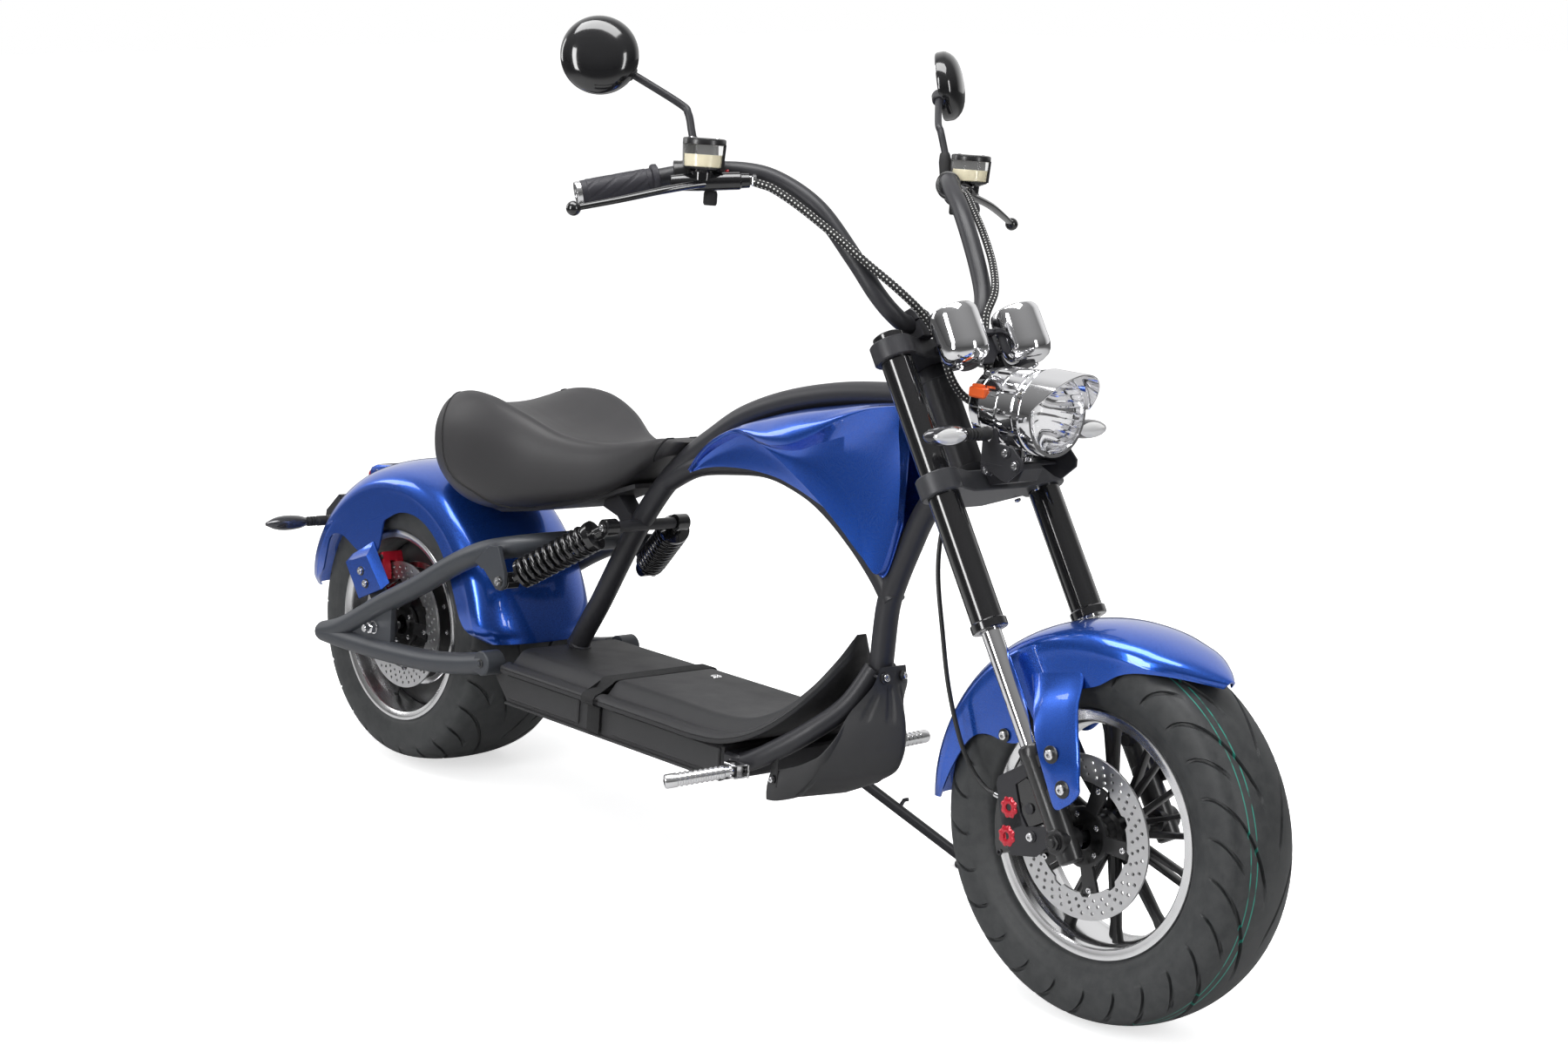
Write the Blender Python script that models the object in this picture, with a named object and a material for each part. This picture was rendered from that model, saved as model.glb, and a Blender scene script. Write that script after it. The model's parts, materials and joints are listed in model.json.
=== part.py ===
# Electric chopper scooter on its side stand, in metres, X forward, Y left, Z up.
# The chassis is laid out upright and level, from the middle of the rear axle.
# What turns with the bars is laid out along the steering axis, from the front axle's height:
# X ahead of the axis, Y left, Z up the axis.
# The empty named scooter then leans all of it onto the side stand.
from math import cos, pi, radians, sin

import bmesh
import bpy
from mathutils import Matrix, Vector

for leftover in list(bpy.data.objects):
    bpy.data.objects.remove(leftover)

# Driving sizes

GAP = 0.0003  # between pieces that touch
LEAN = radians(5.5)  # to the left, on the side stand

WHEELBASE = 1.496
AXLE_RISE = 0.0147  # front axle above the rear one, with the deck level
RAKE = radians(32.4)
FORK_OFFSET = 0.030  # legs ahead of the steering axis

FRONT_RADIUS = 0.2531
FRONT_HALF = 0.0627
REAR_RADIUS = 0.2384
REAR_HALF = 0.1038
CROWN_DROP = 0.029  # from the tread's middle to its shoulder
LIP_RADIUS = 0.1636  # twelve inch rims
BEAD_RADIUS = LIP_RADIUS - 0.0121
BARREL_RADIUS = LIP_RADIUS - 0.0181
FRONT_LIP_HALF = FRONT_HALF - 0.0152
REAR_LIP_HALF = REAR_HALF - 0.0041
LIP_THICK = 0.0032
WHEEL_STEPS = 28

AXLE_RADIUS = 0.0080
NUT_RADIUS = 0.0112
HUB_RADIUS = 0.030
HUB_HALF = 0.046
SPOKE_PAIRS = 11
MOTOR_HALF = 0.055
MOTOR_BOSS = REAR_HALF - 0.0258  # half length over the motor's bosses
DISC_RADIUS = 0.1080
DISC_HALF = 0.0020
FRONT_DISC_Y = -0.0636
REAR_DISC_Y = 0.0138 - REAR_HALF

SPINE_TUBE = 0.0175
UPPER_AT = 0.631  # up the steering axis, where the upper tube meets the head tube
DOWN_AT = 0.548
HEAD_OUTER = 0.0245
HEAD_BORE = 0.0150
STEM_RADIUS = 0.0130
RAIL_TUBE = 0.0150

SWING_TUBE = 0.0180
SWING_Y = REAR_HALF + 0.0382
DROPOUT_THICK = 0.010
PIVOT_X = 0.318
PIVOT_Z = 0.0046
PIVOT_RADIUS = 0.020
SHOCK_LOW = (0.360, SWING_Y - 0.001, 0.1466)
SHOCK_TOP = (0.516, 0.0720, 0.2541)
EYE_HALF = 0.0120
COIL_RADIUS = 0.0255
COIL_TURNS = 7

LEG_Y = 0.100
LEG_RADIUS = 0.0220
INNER_RADIUS = 0.0135
CAST_RADIUS = 0.0185
LEG_TOP = 0.716  # this and the next ones run up the steering axis from the front axle
COVER_BOTTOM = 0.2885
CAST_TOP = 0.130
CAST_BOTTOM = -0.030
LOWER_CLAMP = 0.480
LOWER_CLAMP_DEEP = 0.030
UPPER_CLAMP = 0.678
UPPER_CLAMP_DEEP = 0.028
CLAMP_WALL = 0.0090  # round each leg
CLAMP_WAIST = 0.012  # the clamps' front face ahead of the legs' middles

BAR_RADIUS = 0.0127
GRIP_RADIUS = 0.0168
GRIP_LONG = 0.105
LAMP_RADIUS = 0.0565

BOX_REAR = 0.346
BOX_FRONT = WHEELBASE - 0.628
BOX_HALF = SWING_Y - 0.014
BOX_LOW = -0.0584
BOX_HIGH = -0.0049
DECK_TOP = 0.0296
MAT_HALF = BOX_HALF + 0.015
MAT_STEP = 0.0015  # from the cover ahead of the strap down to the deck behind it
STRAP_AT = 0.575
STRAP_WIDE = 0.030
STRAP_THICK = 0.0028
PAN_WALL = 0.003
PAN_TAB = 0.0527 - PAN_WALL - GAP  # half width of the tab between the pan's sides
TANK_INNER = GAP  # from the spine's side to the panels' inner edge

REAR_FENDER_HALF = REAR_HALF + 0.0142
REAR_FENDER_DROP = 0.045
FRONT_FENDER_HALF = 0.0745
FRONT_FENDER_DROP = 0.030
FENDER_WALL = 0.003

# Shapes


def mesh_of(name, points, faces):
    mesh = bpy.data.meshes.new(name)
    mesh.from_pydata([tuple(p) for p in points], [], faces)
    shape = bmesh.new()
    shape.from_mesh(mesh)
    bmesh.ops.recalc_face_normals(shape, faces=shape.faces)
    shape.to_mesh(mesh)
    shape.free()
    return mesh


def skin(name, rings, closed=False):
    """Rings with equal numbers of points, joined in order. Open runs are capped."""
    count = len(rings[0])
    points = [p for ring in rings for p in ring]
    faces = []
    spans = len(rings) if closed else len(rings) - 1
    for i in range(spans):
        here = i * count
        there = (i + 1) % len(rings) * count
        for j in range(count):
            k = (j + 1) % count
            faces.append((here + j, here + k, there + k, there + j))
    if not closed:
        faces.append(tuple(range(count)))
        faces.append(tuple(range((len(rings) - 1) * count, len(rings) * count)))
    return mesh_of(name, points, faces)


def tube(name, path, radius, sides=12):
    """A round bar along a path. radius is one number or one for each point."""
    path = [Vector(p) for p in path]
    radii = radius if isinstance(radius, (list, tuple)) else [radius] * len(path)
    across = (path[1] - path[0]).orthogonal().normalized()
    rings = []
    for i, point in enumerate(path):
        back = (point - path[max(i - 1, 0)]).normalized()
        ahead = (path[min(i + 1, len(path) - 1)] - point).normalized()
        along = (back + ahead).normalized()
        across = (across - along * across.dot(along)).normalized()
        other = along.cross(across)
        ring = []
        for j in range(sides):
            angle = 2 * pi * (j + 0.5) / sides
            ring.append(point + radii[i] * (across * cos(angle) + other * sin(angle)))
        rings.append(ring)
    return skin(name, rings)


def turned(name, start, way, stations, sides=16):
    """A round piece along a line: stations of (distance along way, radius)."""
    way = Vector(way).normalized()
    return tube(name, [Vector(start) + way * t for t, _ in stations], [r for _, r in stations], sides)


def rod(name, start, end, radius, sides=16):
    return tube(name, [start, end], radius, sides)


def lathe(name, profile, count):
    """A closed outline of (y, radius) turned about Y. Its flats, not its corners, lie at radius."""
    grow = 1 / cos(pi / count)
    rings = []
    for i in range(count):
        angle = 2 * pi * (i + 0.5) / count
        rings.append([(r * grow * cos(angle), y, r * grow * sin(angle)) for y, r in profile])
    return skin(name, rings, closed=True)


def prism(name, outline, low, high, axis="Z"):
    """An outline of pairs pushed from low to high along an axis."""
    place = {"Z": lambda a, b, c: (a, b, c), "Y": lambda a, b, c: (a, c, b), "X": lambda a, b, c: (c, a, b)}[axis]
    return skin(name, [[place(a, b, level) for a, b in outline] for level in (low, high)])


def box(name, low, high):
    outline = [(low[0], low[1]), (high[0], low[1]), (high[0], high[1]), (low[0], high[1])]
    return prism(name, outline, low[2], high[2])


def arc(centre, radius, start, end, steps):
    """Points on a circle, angles in degrees."""
    angles = [radians(start + (end - start) * i / steps) for i in range(steps + 1)]
    return [(centre[0] + radius * cos(a), centre[1] + radius * sin(a)) for a in angles]


def rounded(points, steps=2):
    """A smooth path through points (Catmull-Rom)."""
    points = [Vector(p) for p in points]
    out = []
    for i in range(len(points) - 1):
        a = points[max(i - 1, 0)]
        b = points[i]
        c = points[i + 1]
        d = points[min(i + 2, len(points) - 1)]
        for step in range(steps):
            t = step / steps
            curve = 2 * b + (c - a) * t
            curve += (2 * a - 5 * b + 4 * c - d) * t**2
            curve += (3 * b - a - 3 * c + d) * t**3
            out.append(0.5 * curve)
    out.append(points[-1])
    return out


def in_plane(pairs, y=0.0):
    return [(x, y, z) for x, z in pairs]


# Nodes and their parents

helpers = bpy.data.collections.new("helpers")
bpy.context.scene.collection.children.link(helpers)
helpers.hide_render = True


def empty(name, parent, matrix):
    made = bpy.data.objects.new(name, None)
    bpy.context.scene.collection.objects.link(made)
    made.parent = parent
    made.matrix_local = matrix
    return made


FRONT_AXLE = Vector((WHEELBASE, 0, AXLE_RISE))
UP_AXIS = Vector((-sin(RAKE), 0, cos(RAKE)))
OFF_AXIS = Vector((cos(RAKE), 0, sin(RAKE)))


def along_leg(height, ahead=0.0):
    """The chassis place that is height up the steering axis and ahead of it."""
    return FRONT_AXLE + height * UP_AXIS + (ahead - FORK_OFFSET) * OFF_AXIS


LEVEL = Matrix.Rotation(RAKE, 4, "Y")  # turns steering places back to level ones
scooter = empty("scooter", None, Matrix.Identity(4))
steering_axis = empty("steering_axis", scooter, Matrix.Translation(along_leg(0)) @ LEVEL.inverted())
AT_FRONT_AXLE = Matrix.Translation((FORK_OFFSET, 0, 0)) @ LEVEL
front_wheel_axis = empty("front_wheel_axis", steering_axis, AT_FRONT_AXLE)
rear_wheel_axis = empty("rear_wheel_axis", scooter, Matrix.Identity(4))

# (red, green, blue, roughness, metallic)
PAINTS = {
    "satin_black": (0.020, 0.020, 0.022, 0.42, 0.0),
    "gloss_black": (0.008, 0.008, 0.009, 0.12, 0.0),
    "dark_grey": (0.055, 0.055, 0.060, 0.50, 0.0),
    "plastic_grey": (0.045, 0.045, 0.048, 0.62, 0.0),
    "blue": (0.030, 0.085, 0.420, 0.22, 0.55),
    "chrome": (0.80, 0.80, 0.82, 0.07, 1.0),
    "silver": (0.72, 0.72, 0.74, 0.22, 1.0),
    "steel": (0.60, 0.60, 0.61, 0.30, 1.0),
    "rubber": (0.018, 0.018, 0.020, 0.75, 0.0),
    "leather": (0.030, 0.029, 0.030, 0.50, 0.0),
    "lens": (0.85, 0.88, 0.90, 0.05, 0.0),
    "red": (0.60, 0.02, 0.03, 0.25, 0.2),
}


def painted(obj, paint):
    red, green, blue, rough, metal = PAINTS[paint]
    material = bpy.data.materials.new(obj.name + "_" + paint)
    material.use_nodes = True
    shader = material.node_tree.nodes["Principled BSDF"]
    shader.inputs["Base Color"].default_value = (red, green, blue, 1)
    shader.inputs["Roughness"].default_value = rough
    shader.inputs["Metallic"].default_value = metal
    material.diffuse_color = (red, green, blue, 1)
    obj.data.materials.append(material)


def node(name, mesh, parent, paint, into=None, joined=(), cut=()):
    """One piece. into turns its meshes into the parent's axes; joined ones are united, cut ones taken away."""
    made = bpy.data.objects.new(name, mesh)
    bpy.context.scene.collection.objects.link(made)
    made.parent = parent
    for work, meshes in (("UNION", joined), ("DIFFERENCE", cut)):
        for i, extra in enumerate(meshes):
            helper = bpy.data.objects.new(f"{name}_{work.lower()}_{i}", extra)
            helpers.objects.link(helper)
            helper.parent = parent
            helper.hide_render = True
            helper.display_type = "WIRE"
            if into is not None:
                extra.transform(into)
            modifier = made.modifiers.new(f"{work.lower()}_{i}", "BOOLEAN")
            modifier.operation = work
            modifier.solver = "EXACT"
            modifier.object = helper
    if into is not None:
        mesh.transform(into)
    painted(made, paint)
    return made


SIDES = ((-1, "right"), (1, "left"))

# Tyres and rims


def tyre_outline(radius, half, lip_half):
    """From one bead over the tread to the other."""
    bead = lip_half - LIP_THICK - GAP
    side = [
        (bead - 0.006, BEAD_RADIUS + GAP),
        (bead, BEAD_RADIUS + GAP),
        (bead, LIP_RADIUS + 0.0008),
        (lip_half + 0.30 * (half - lip_half), LIP_RADIUS + 0.0075),
        (half, LIP_RADIUS + 0.45 * (radius - LIP_RADIUS)),
        (half * 0.93, radius - CROWN_DROP * 0.58),
        (half * 0.55, radius - CROWN_DROP * 0.14),
    ]
    return [(-y, r) for y, r in side] + [(0, radius)] + side[::-1]


def rim_outline(lip_half, barrel_share):
    inner = lip_half - LIP_THICK
    side = [
        (inner * barrel_share, BARREL_RADIUS),
        (lip_half, BARREL_RADIUS + 0.003),
        (lip_half, LIP_RADIUS),
        (inner, LIP_RADIUS),
        (inner, BEAD_RADIUS),
    ]
    return [(-y, r) for y, r in side] + side[::-1]


# (name, radius, half width, lip half width, barrel share, axis)
WHEELS = (
    ("front", FRONT_RADIUS, FRONT_HALF, FRONT_LIP_HALF, 0.62, front_wheel_axis),
    ("rear", REAR_RADIUS, REAR_HALF, REAR_LIP_HALF, 0.80, rear_wheel_axis),
)
for name, radius, half, lip_half, share, axis in WHEELS:
    node(name + "_tyre", lathe(name + "_tyre", tyre_outline(radius, half, lip_half), WHEEL_STEPS), axis, "rubber")
    node(name + "_rim", lathe(name + "_rim", rim_outline(lip_half, share), WHEEL_STEPS), axis, "silver")

# Front hub with pairs of thin spokes

SPOKE_OUT = BARREL_RADIUS - 0.0008  # the spokes' feet, just inside the rim's barrel
SPOKE_IN = HUB_RADIUS * 0.73
hub_side = [(HUB_HALF, AXLE_RADIUS + GAP), (HUB_HALF, HUB_RADIUS * 0.8), (HUB_HALF * 0.5, HUB_RADIUS)]
spokes = []
for i in range(SPOKE_PAIRS):
    for lean in (-1, 1):
        foot = 2 * pi * i / SPOKE_PAIRS
        tip = foot + lean * radians(9.5)
        start = Vector((cos(foot) * SPOKE_IN, lean * 0.004, sin(foot) * SPOKE_IN))
        end = Vector((cos(tip) * SPOKE_OUT, lean * 0.018, sin(tip) * SPOKE_OUT))
        across = (end - start).normalized().cross(Vector((0, 1, 0)))
        rings = []
        for centre, wide, deep in ((start, 0.0045, 0.008), (end, 0.0030, 0.006)):
            corners = ((-1, -1), (1, -1), (1, 1), (-1, 1))
            rings.append([centre + across * a * wide + Vector((0, b * deep, 0)) for a, b in corners])
        spokes.append(skin(f"spoke_{i}_{lean}", rings))
node(
    "front_spokes",
    lathe("front_spokes", [(-y, r) for y, r in hub_side] + hub_side[::-1], 20),
    front_wheel_axis,
    "gloss_black",
    joined=spokes,
)

# Rear hub motor

motor_side = [
    (MOTOR_BOSS, AXLE_RADIUS + GAP),
    (MOTOR_BOSS, 0.034),
    (MOTOR_HALF + 0.001, 0.040),
    (MOTOR_HALF, 0.118),
    (MOTOR_HALF - 0.012, BARREL_RADIUS - GAP),
]
motor = [(-y, r) for y, r in motor_side] + motor_side[::-1]
node("hub_motor", lathe("hub_motor", motor, WHEEL_STEPS), rear_wheel_axis, "satin_black")

# Brake discs, each with its dished carrier
# (name, disc's middle, carrier's foot on the hub, bore, axis)
DISCS = (
    ("front", FRONT_DISC_Y, -HUB_HALF - GAP, 0.016, front_wheel_axis),
    ("rear", REAR_DISC_Y, -MOTOR_BOSS - GAP, 0.024, rear_wheel_axis),
)
for name, y, foot, bore, axis in DISCS:
    outline = [
        (y - 0.003, bore),
        (y - 0.003, 0.072),
        (y - DISC_HALF, 0.074),
        (y - DISC_HALF, DISC_RADIUS),
        (y + DISC_HALF, DISC_RADIUS),
        (y + DISC_HALF, 0.074),
        (y + 0.003, 0.072),
        (y + 0.003, bore + 0.012),
        (foot, bore + 0.010),
        (foot, bore),
    ]
    node(name + "_disc", lathe(name + "_disc", outline, 24), axis, "steel")

# The ground under the leaning tyres


def reach_down(radius, half, lip_half):
    """How far a leaning tyre reaches below its axle's middle."""
    return max(r * cos(LEAN) + y * sin(LEAN) for y, r in tyre_outline(radius, half, lip_half))


front_down = reach_down(FRONT_RADIUS, FRONT_HALF, FRONT_LIP_HALF)
rear_down = reach_down(REAR_RADIUS, REAR_HALF, REAR_LIP_HALF)
PITCH = (front_down - rear_down - cos(LEAN) * AXLE_RISE) / WHEELBASE
UP = Vector((PITCH, -sin(LEAN), cos(LEAN))).normalized()  # away from the ground, in the chassis's axes


def on_ground(x, y):
    """The chassis place on the ground that is at x, y."""
    return Vector((x, y, -(rear_down + UP.x * x + UP.y * y) / UP.z))


# Spine frame: tubes in one plane, head tube, shock cross tube, deck rails, cradle, lugs


def from_head(anchor, offsets):
    """Places that move with the head tube, given from where a tube meets it."""
    return [(anchor.x + x, anchor.z + z) for x, z in offsets]


upper_end = along_leg(UPPER_AT)
down_start = along_leg(DOWN_AT)
UPPER_REAR = [
    (0.3640, 0.0176),
    (0.3722, 0.0336),
    (0.3830, 0.0576),
    (0.4192, 0.1132),
    (0.4611, 0.1848),
    (0.5006, 0.2491),
    (0.5560, 0.3216),
    (0.6120, 0.3746),
    (0.6640, 0.4116),
]
UPPER_FRONT = [(-0.400, -0.077), (-0.308, -0.042), (-0.200, -0.017), (-0.090, -0.004), (0, 0)]
LOWER_REAR = [(0.5650, 0.3316), (0.6300, 0.3646), (0.7101, 0.3803)]
LOWER_FRONT = [
    (-0.3823, -0.0737),
    (-0.3052, -0.0880),
    (-0.2475, -0.1120),
    (-0.1893, -0.1500),
    (-0.1416, -0.1900),
    (-0.1100, -0.2250),
]
DOWN = [
    (0, 0),
    (-0.0300, -0.0430),
    (-0.0643, -0.0934),
    (-0.0870, -0.1424),
    (-0.1074, -0.1923),
    (-0.1200, -0.2362),
    (-0.1241, -0.3118),
    (-0.1260, -0.3650),
]
upper_path = UPPER_REAR + from_head(upper_end, UPPER_FRONT)
lower_path = LOWER_REAR + from_head(down_start, LOWER_FRONT)
down_path = from_head(down_start, DOWN)
foot_x, foot_z = down_path[-1]
head_low = LOWER_CLAMP + LOWER_CLAMP_DEEP + GAP
head_high = UPPER_CLAMP - GAP
cradle = (BOX_FRONT + GAP, BOX_FRONT + 0.037, -0.0464, -0.0124)  # rear, front, bottom, top
CRADLE_HALF = 0.125
STAND_PIVOT = Vector((BOX_FRONT + 0.020, 0.1064, -0.0744))
STAND_AXIS = Vector((-0.20, 1.0, 0.38)).normalized()
STAND_BOSS = 0.014

frame_pieces = [
    tube("lower_tube", in_plane(lower_path), SPINE_TUBE, 10),
    tube("down_tube", in_plane(down_path), SPINE_TUBE, 10),
    rod("head_tube", along_leg(head_low), along_leg(head_high), HEAD_OUTER, 16),
    rod("shock_cross", (SHOCK_TOP[0], -0.059, SHOCK_TOP[2]), (SHOCK_TOP[0], 0.059, SHOCK_TOP[2]), 0.009, 10),
    box("cradle", (cradle[0], -CRADLE_HALF, cradle[2]), (cradle[1], CRADLE_HALF, cradle[3])),
    box("pan_tab", (foot_x, -PAN_TAB, foot_z + 0.0460), (foot_x + 0.0240 - GAP, PAN_TAB, foot_z + 0.0500)),
    rod(
        "stand_boss",
        STAND_PIVOT - STAND_AXIS * 0.012,
        STAND_PIVOT + STAND_AXIS * 0.004,
        STAND_BOSS,
        12,
    ),
    box(
        "stand_lug",
        (STAND_PIVOT.x - 0.013, STAND_PIVOT.y - 0.011, STAND_PIVOT.z - 0.004),
        (STAND_PIVOT.x + 0.013, STAND_PIVOT.y - 0.002, cradle[2] + 0.006),
    ),
]
seat_post = [(0.492, 0.2316), (0.505, 0.2616), (0.468, 0.2956), (0.430, 0.2831), (0.425, 0.2696), (0.462, 0.2596)]
frame_pieces.append(prism("seat_post", seat_post, -0.015, 0.015, "Y"))
for side, word in SIDES:
    rail = [
        (foot_x, side * 0.012, foot_z + 0.040),
        (foot_x - 0.021, side * 0.040, foot_z - 0.015),
        (foot_x - 0.059, side * 0.078, foot_z - 0.060),
        (cradle[1] + 0.030, side * 0.105, cradle[3] + 0.006),
        (cradle[1] - 0.015, side * 0.110, cradle[3] - 0.016),
    ]
    frame_pieces.append(tube("deck_rail_" + word, rounded(rail), RAIL_TUBE, 10))
node(
    "frame",
    tube("frame", in_plane(upper_path), SPINE_TUBE, 10),
    scooter,
    "satin_black",
    joined=frame_pieces,
    cut=[
        rod("head_bore", along_leg(head_low - 0.02), along_leg(head_high + 0.02), HEAD_BORE, 16),
        box("foot_cut", (BOX_REAR - 0.016, -0.04, -0.040), (BOX_REAR + 0.074, 0.04, DECK_TOP - MAT_STEP + GAP)),
    ],
)

# Swing arm: two loops that meet at the tail, dropouts, shock lugs and pivots

UPPER_LOOP = [
    (-0.158, -0.0384),
    (-0.095, -0.0166),
    (0.020, 0.0451),
    (0.1185, 0.0942),
    (0.213, 0.1460),
    (0.280, 0.1766),
]
BEND = [(0.325, 0.130, 0.1916), (0.352, 0.095, 0.1996), (0.364, 0.050, 0.2026)]
LOWER_LOOP = [
    (-0.158, -0.0384),
    (-0.095, -0.0389),
    (0.020, -0.0357),
    (0.147, -0.0269),
    (0.243, -0.0124),
    (PIVOT_X, PIVOT_Z),
]
DROPOUT = [(-0.150, -0.0424), (-0.150, -0.0324), (0.048, 0.0536), (0.048, -0.0334)]
LUG = [(0.300, 0.1716), (0.330, 0.1996), (0.352, 0.2016), (0.378, 0.1516), (0.366, 0.1296), (0.350, 0.1316)]
LUG_ROOT = [(0.290, 0.1656), (0.318, 0.1936), (0.336, 0.1956), (0.334, 0.1696), (0.310, 0.1576)]
pivot_face = SWING_Y - SWING_TUBE - 0.0010  # where the arm's pivots meet the lugs on the box
swing_pieces = []
for side, word in SIDES:
    y = side * SWING_Y
    lug_in = SHOCK_LOW[1] + EYE_HALF + GAP
    swing_pieces += [
        tube("lower_" + word, in_plane(LOWER_LOOP, y), SWING_TUBE, 10),
        prism("dropout_" + word, DROPOUT, y - DROPOUT_THICK / 2, y + DROPOUT_THICK / 2, "Y"),
        prism("lug_" + word, LUG, side * lug_in, side * (lug_in + 0.008), "Y"),
        prism("lug_root_" + word, LUG_ROOT, side * (SWING_Y - 0.008), side * (lug_in + 0.006), "Y"),
        rod("pivot_" + word, (PIVOT_X, side * pivot_face, PIVOT_Z), (PIVOT_X, side * (SWING_Y + 0.016), PIVOT_Z), PIVOT_RADIUS),
    ]
loop = in_plane(UPPER_LOOP, -SWING_Y) + [(x, -y, z) for x, y, z in BEND]
loop += [(0.366, 0, 0.2026)] + BEND[::-1] + in_plane(UPPER_LOOP[::-1], SWING_Y)
node(
    "swing_arm",
    tube("swing_arm", loop, SWING_TUBE, 10),
    scooter,
    "dark_grey",
    joined=swing_pieces,
    cut=[rod("axle_way", (0, -0.2, 0), (0, 0.2, 0), AXLE_RADIUS + GAP)],
)


def axle(name, nut_in, nut_out, end, parent):
    """An axle with a nut outside each dropout or fork foot."""
    half = [(end, AXLE_RADIUS * 0.7), (end - 0.002, AXLE_RADIUS), (nut_out, AXLE_RADIUS), (nut_out, NUT_RADIUS)]
    half += [(nut_in, NUT_RADIUS), (nut_in, AXLE_RADIUS)]
    stations = [(-y, r) for y, r in half] + half[::-1]
    node(name, turned(name, (0, 0, 0), (0, 1, 0), stations, 12), parent, "steel")


nut_seat = SWING_Y + DROPOUT_THICK / 2 + GAP
axle("rear_axle", nut_seat, nut_seat + 0.011, nut_seat + 0.022, rear_wheel_axis)

# Shock absorbers: eyes and a coil over the body

for side, word in SIDES:
    low = Vector((SHOCK_LOW[0], side * SHOCK_LOW[1], SHOCK_LOW[2]))
    top = Vector((SHOCK_TOP[0], side * SHOCK_TOP[1], SHOCK_TOP[2]))
    long = (top - low).length
    stations = [(0.0, 0.008), (long * 0.13, 0.008), (long * 0.13, COIL_RADIUS)]
    for i in range(COIL_TURNS):
        start = long * (0.15 + 0.70 * i / COIL_TURNS)
        stations += [(start, COIL_RADIUS - 0.005), (start + long * 0.35 / COIL_TURNS, COIL_RADIUS)]
    stations += [(long * 0.86, COIL_RADIUS), (long * 0.86, 0.010), (long, 0.008)]
    node(
        "shock_" + word,
        turned("shock_" + word, low, top - low, stations, 10),
        scooter,
        "gloss_black",
        joined=[
            rod("low_eye", low - Vector((0, EYE_HALF, 0)), low + Vector((0, EYE_HALF, 0)), 0.014, 12),
            rod("top_eye", top - Vector((0, EYE_HALF, 0)), top + Vector((0, EYE_HALF, 0)), 0.014, 12),
        ],
    )

# Battery box with the lugs that carry the swing arm

lug_plate = [
    (BOX_REAR + 0.010, BOX_LOW + 0.004),
    (BOX_REAR + 0.010, BOX_HIGH - 0.002),
    (BOX_REAR, BOX_HIGH - 0.002),
    (PIVOT_X - 0.016, PIVOT_Z + 0.014),
    (PIVOT_X - 0.021, PIVOT_Z),
    (PIVOT_X - 0.012, PIVOT_Z - 0.018),
    (BOX_REAR, BOX_LOW + 0.004),
]
node(
    "battery_box",
    box("battery_box", (BOX_REAR, -BOX_HALF, BOX_LOW), (BOX_FRONT, BOX_HALF, BOX_HIGH)),
    scooter,
    "plastic_grey",
    joined=[
        prism("lug_" + word, lug_plate, side * (pivot_face - GAP), side * (pivot_face - 0.012), "Y")
        for side, word in SIDES
    ],
)

# Deck mat, and the strap across it

mat_low = BOX_HIGH + GAP
MAT_SECTION = [
    (MAT_HALF, mat_low),
    (MAT_HALF, mat_low + 0.008),
    (BOX_HALF, mat_low + 0.016),
    (BOX_HALF - 0.016, mat_low + 0.018),
    (BOX_HALF - 0.034, DECK_TOP),
]
strap_front = STRAP_AT + STRAP_WIDE / 2
# (from the box's front, lift, share of the width, how far the top is stepped down)
MAT_STATIONS = (
    (BOX_REAR - BOX_FRONT, 0.000, 0.94, MAT_STEP),
    (BOX_REAR - BOX_FRONT + 0.014, 0.000, 1.00, MAT_STEP),
    (strap_front + 0.002 - BOX_FRONT, 0.000, 1.00, MAT_STEP),
    (strap_front + 0.006 - BOX_FRONT, 0.000, 1.00, 0.0),
    (-0.048, 0.000, 1.00, 0.0),
    (0.012, 0.006, 0.95, 0.0),
    (0.062, 0.028, 0.80, 0.0),
    (0.102, 0.066, 0.62, 0.0),
    (0.127, 0.108, 0.42, 0.0),
    (0.140, 0.148, 0.28, 0.0),
)


def stepped(section, down):
    """The mat's section with its upper points lower."""
    return section[:2] + [(y, z - down) for y, z in section[2:]]


mat_rings = []
for x, lift, share, down in MAT_STATIONS:
    right = stepped(MAT_SECTION, down)
    mat_ring = right + [(-y, z) for y, z in right[::-1]]
    mat_rings.append([(BOX_FRONT + x, y * share, z + lift) for y, z in mat_ring])
node("deck_mat", skin("deck_mat", mat_rings), scooter, "plastic_grey")


def grown(section, by):
    """The mat's section, each point moved out by a distance, up or to the side."""
    side, shoulder, step, inner, top = section
    return [
        (BOX_HALF + by, BOX_LOW + 0.006),
        (BOX_HALF + by, side[1] - 0.012),
        (side[0] + by, side[1] - 0.003),
        (shoulder[0] + by, shoulder[1] + by * 0.5),
        (step[0] + by * 0.5, step[1] + by),
        (inner[0], inner[1] + by),
        (top[0] + by * 0.3, top[1] + by),
    ]


strap_in = grown(stepped(MAT_SECTION, MAT_STEP), GAP + 0.0002)
strap_out = grown(stepped(MAT_SECTION, MAT_STEP), GAP + STRAP_THICK)
strap_ring = strap_in + [(-y, z) for y, z in strap_in[::-1]] + [(-y, z) for y, z in strap_out] + strap_out[::-1]
node(
    "deck_strap",
    prism("deck_strap", strap_ring, STRAP_AT - STRAP_WIDE / 2, STRAP_AT + STRAP_WIDE / 2, "X"),
    scooter,
    "satin_black",
)

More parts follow.
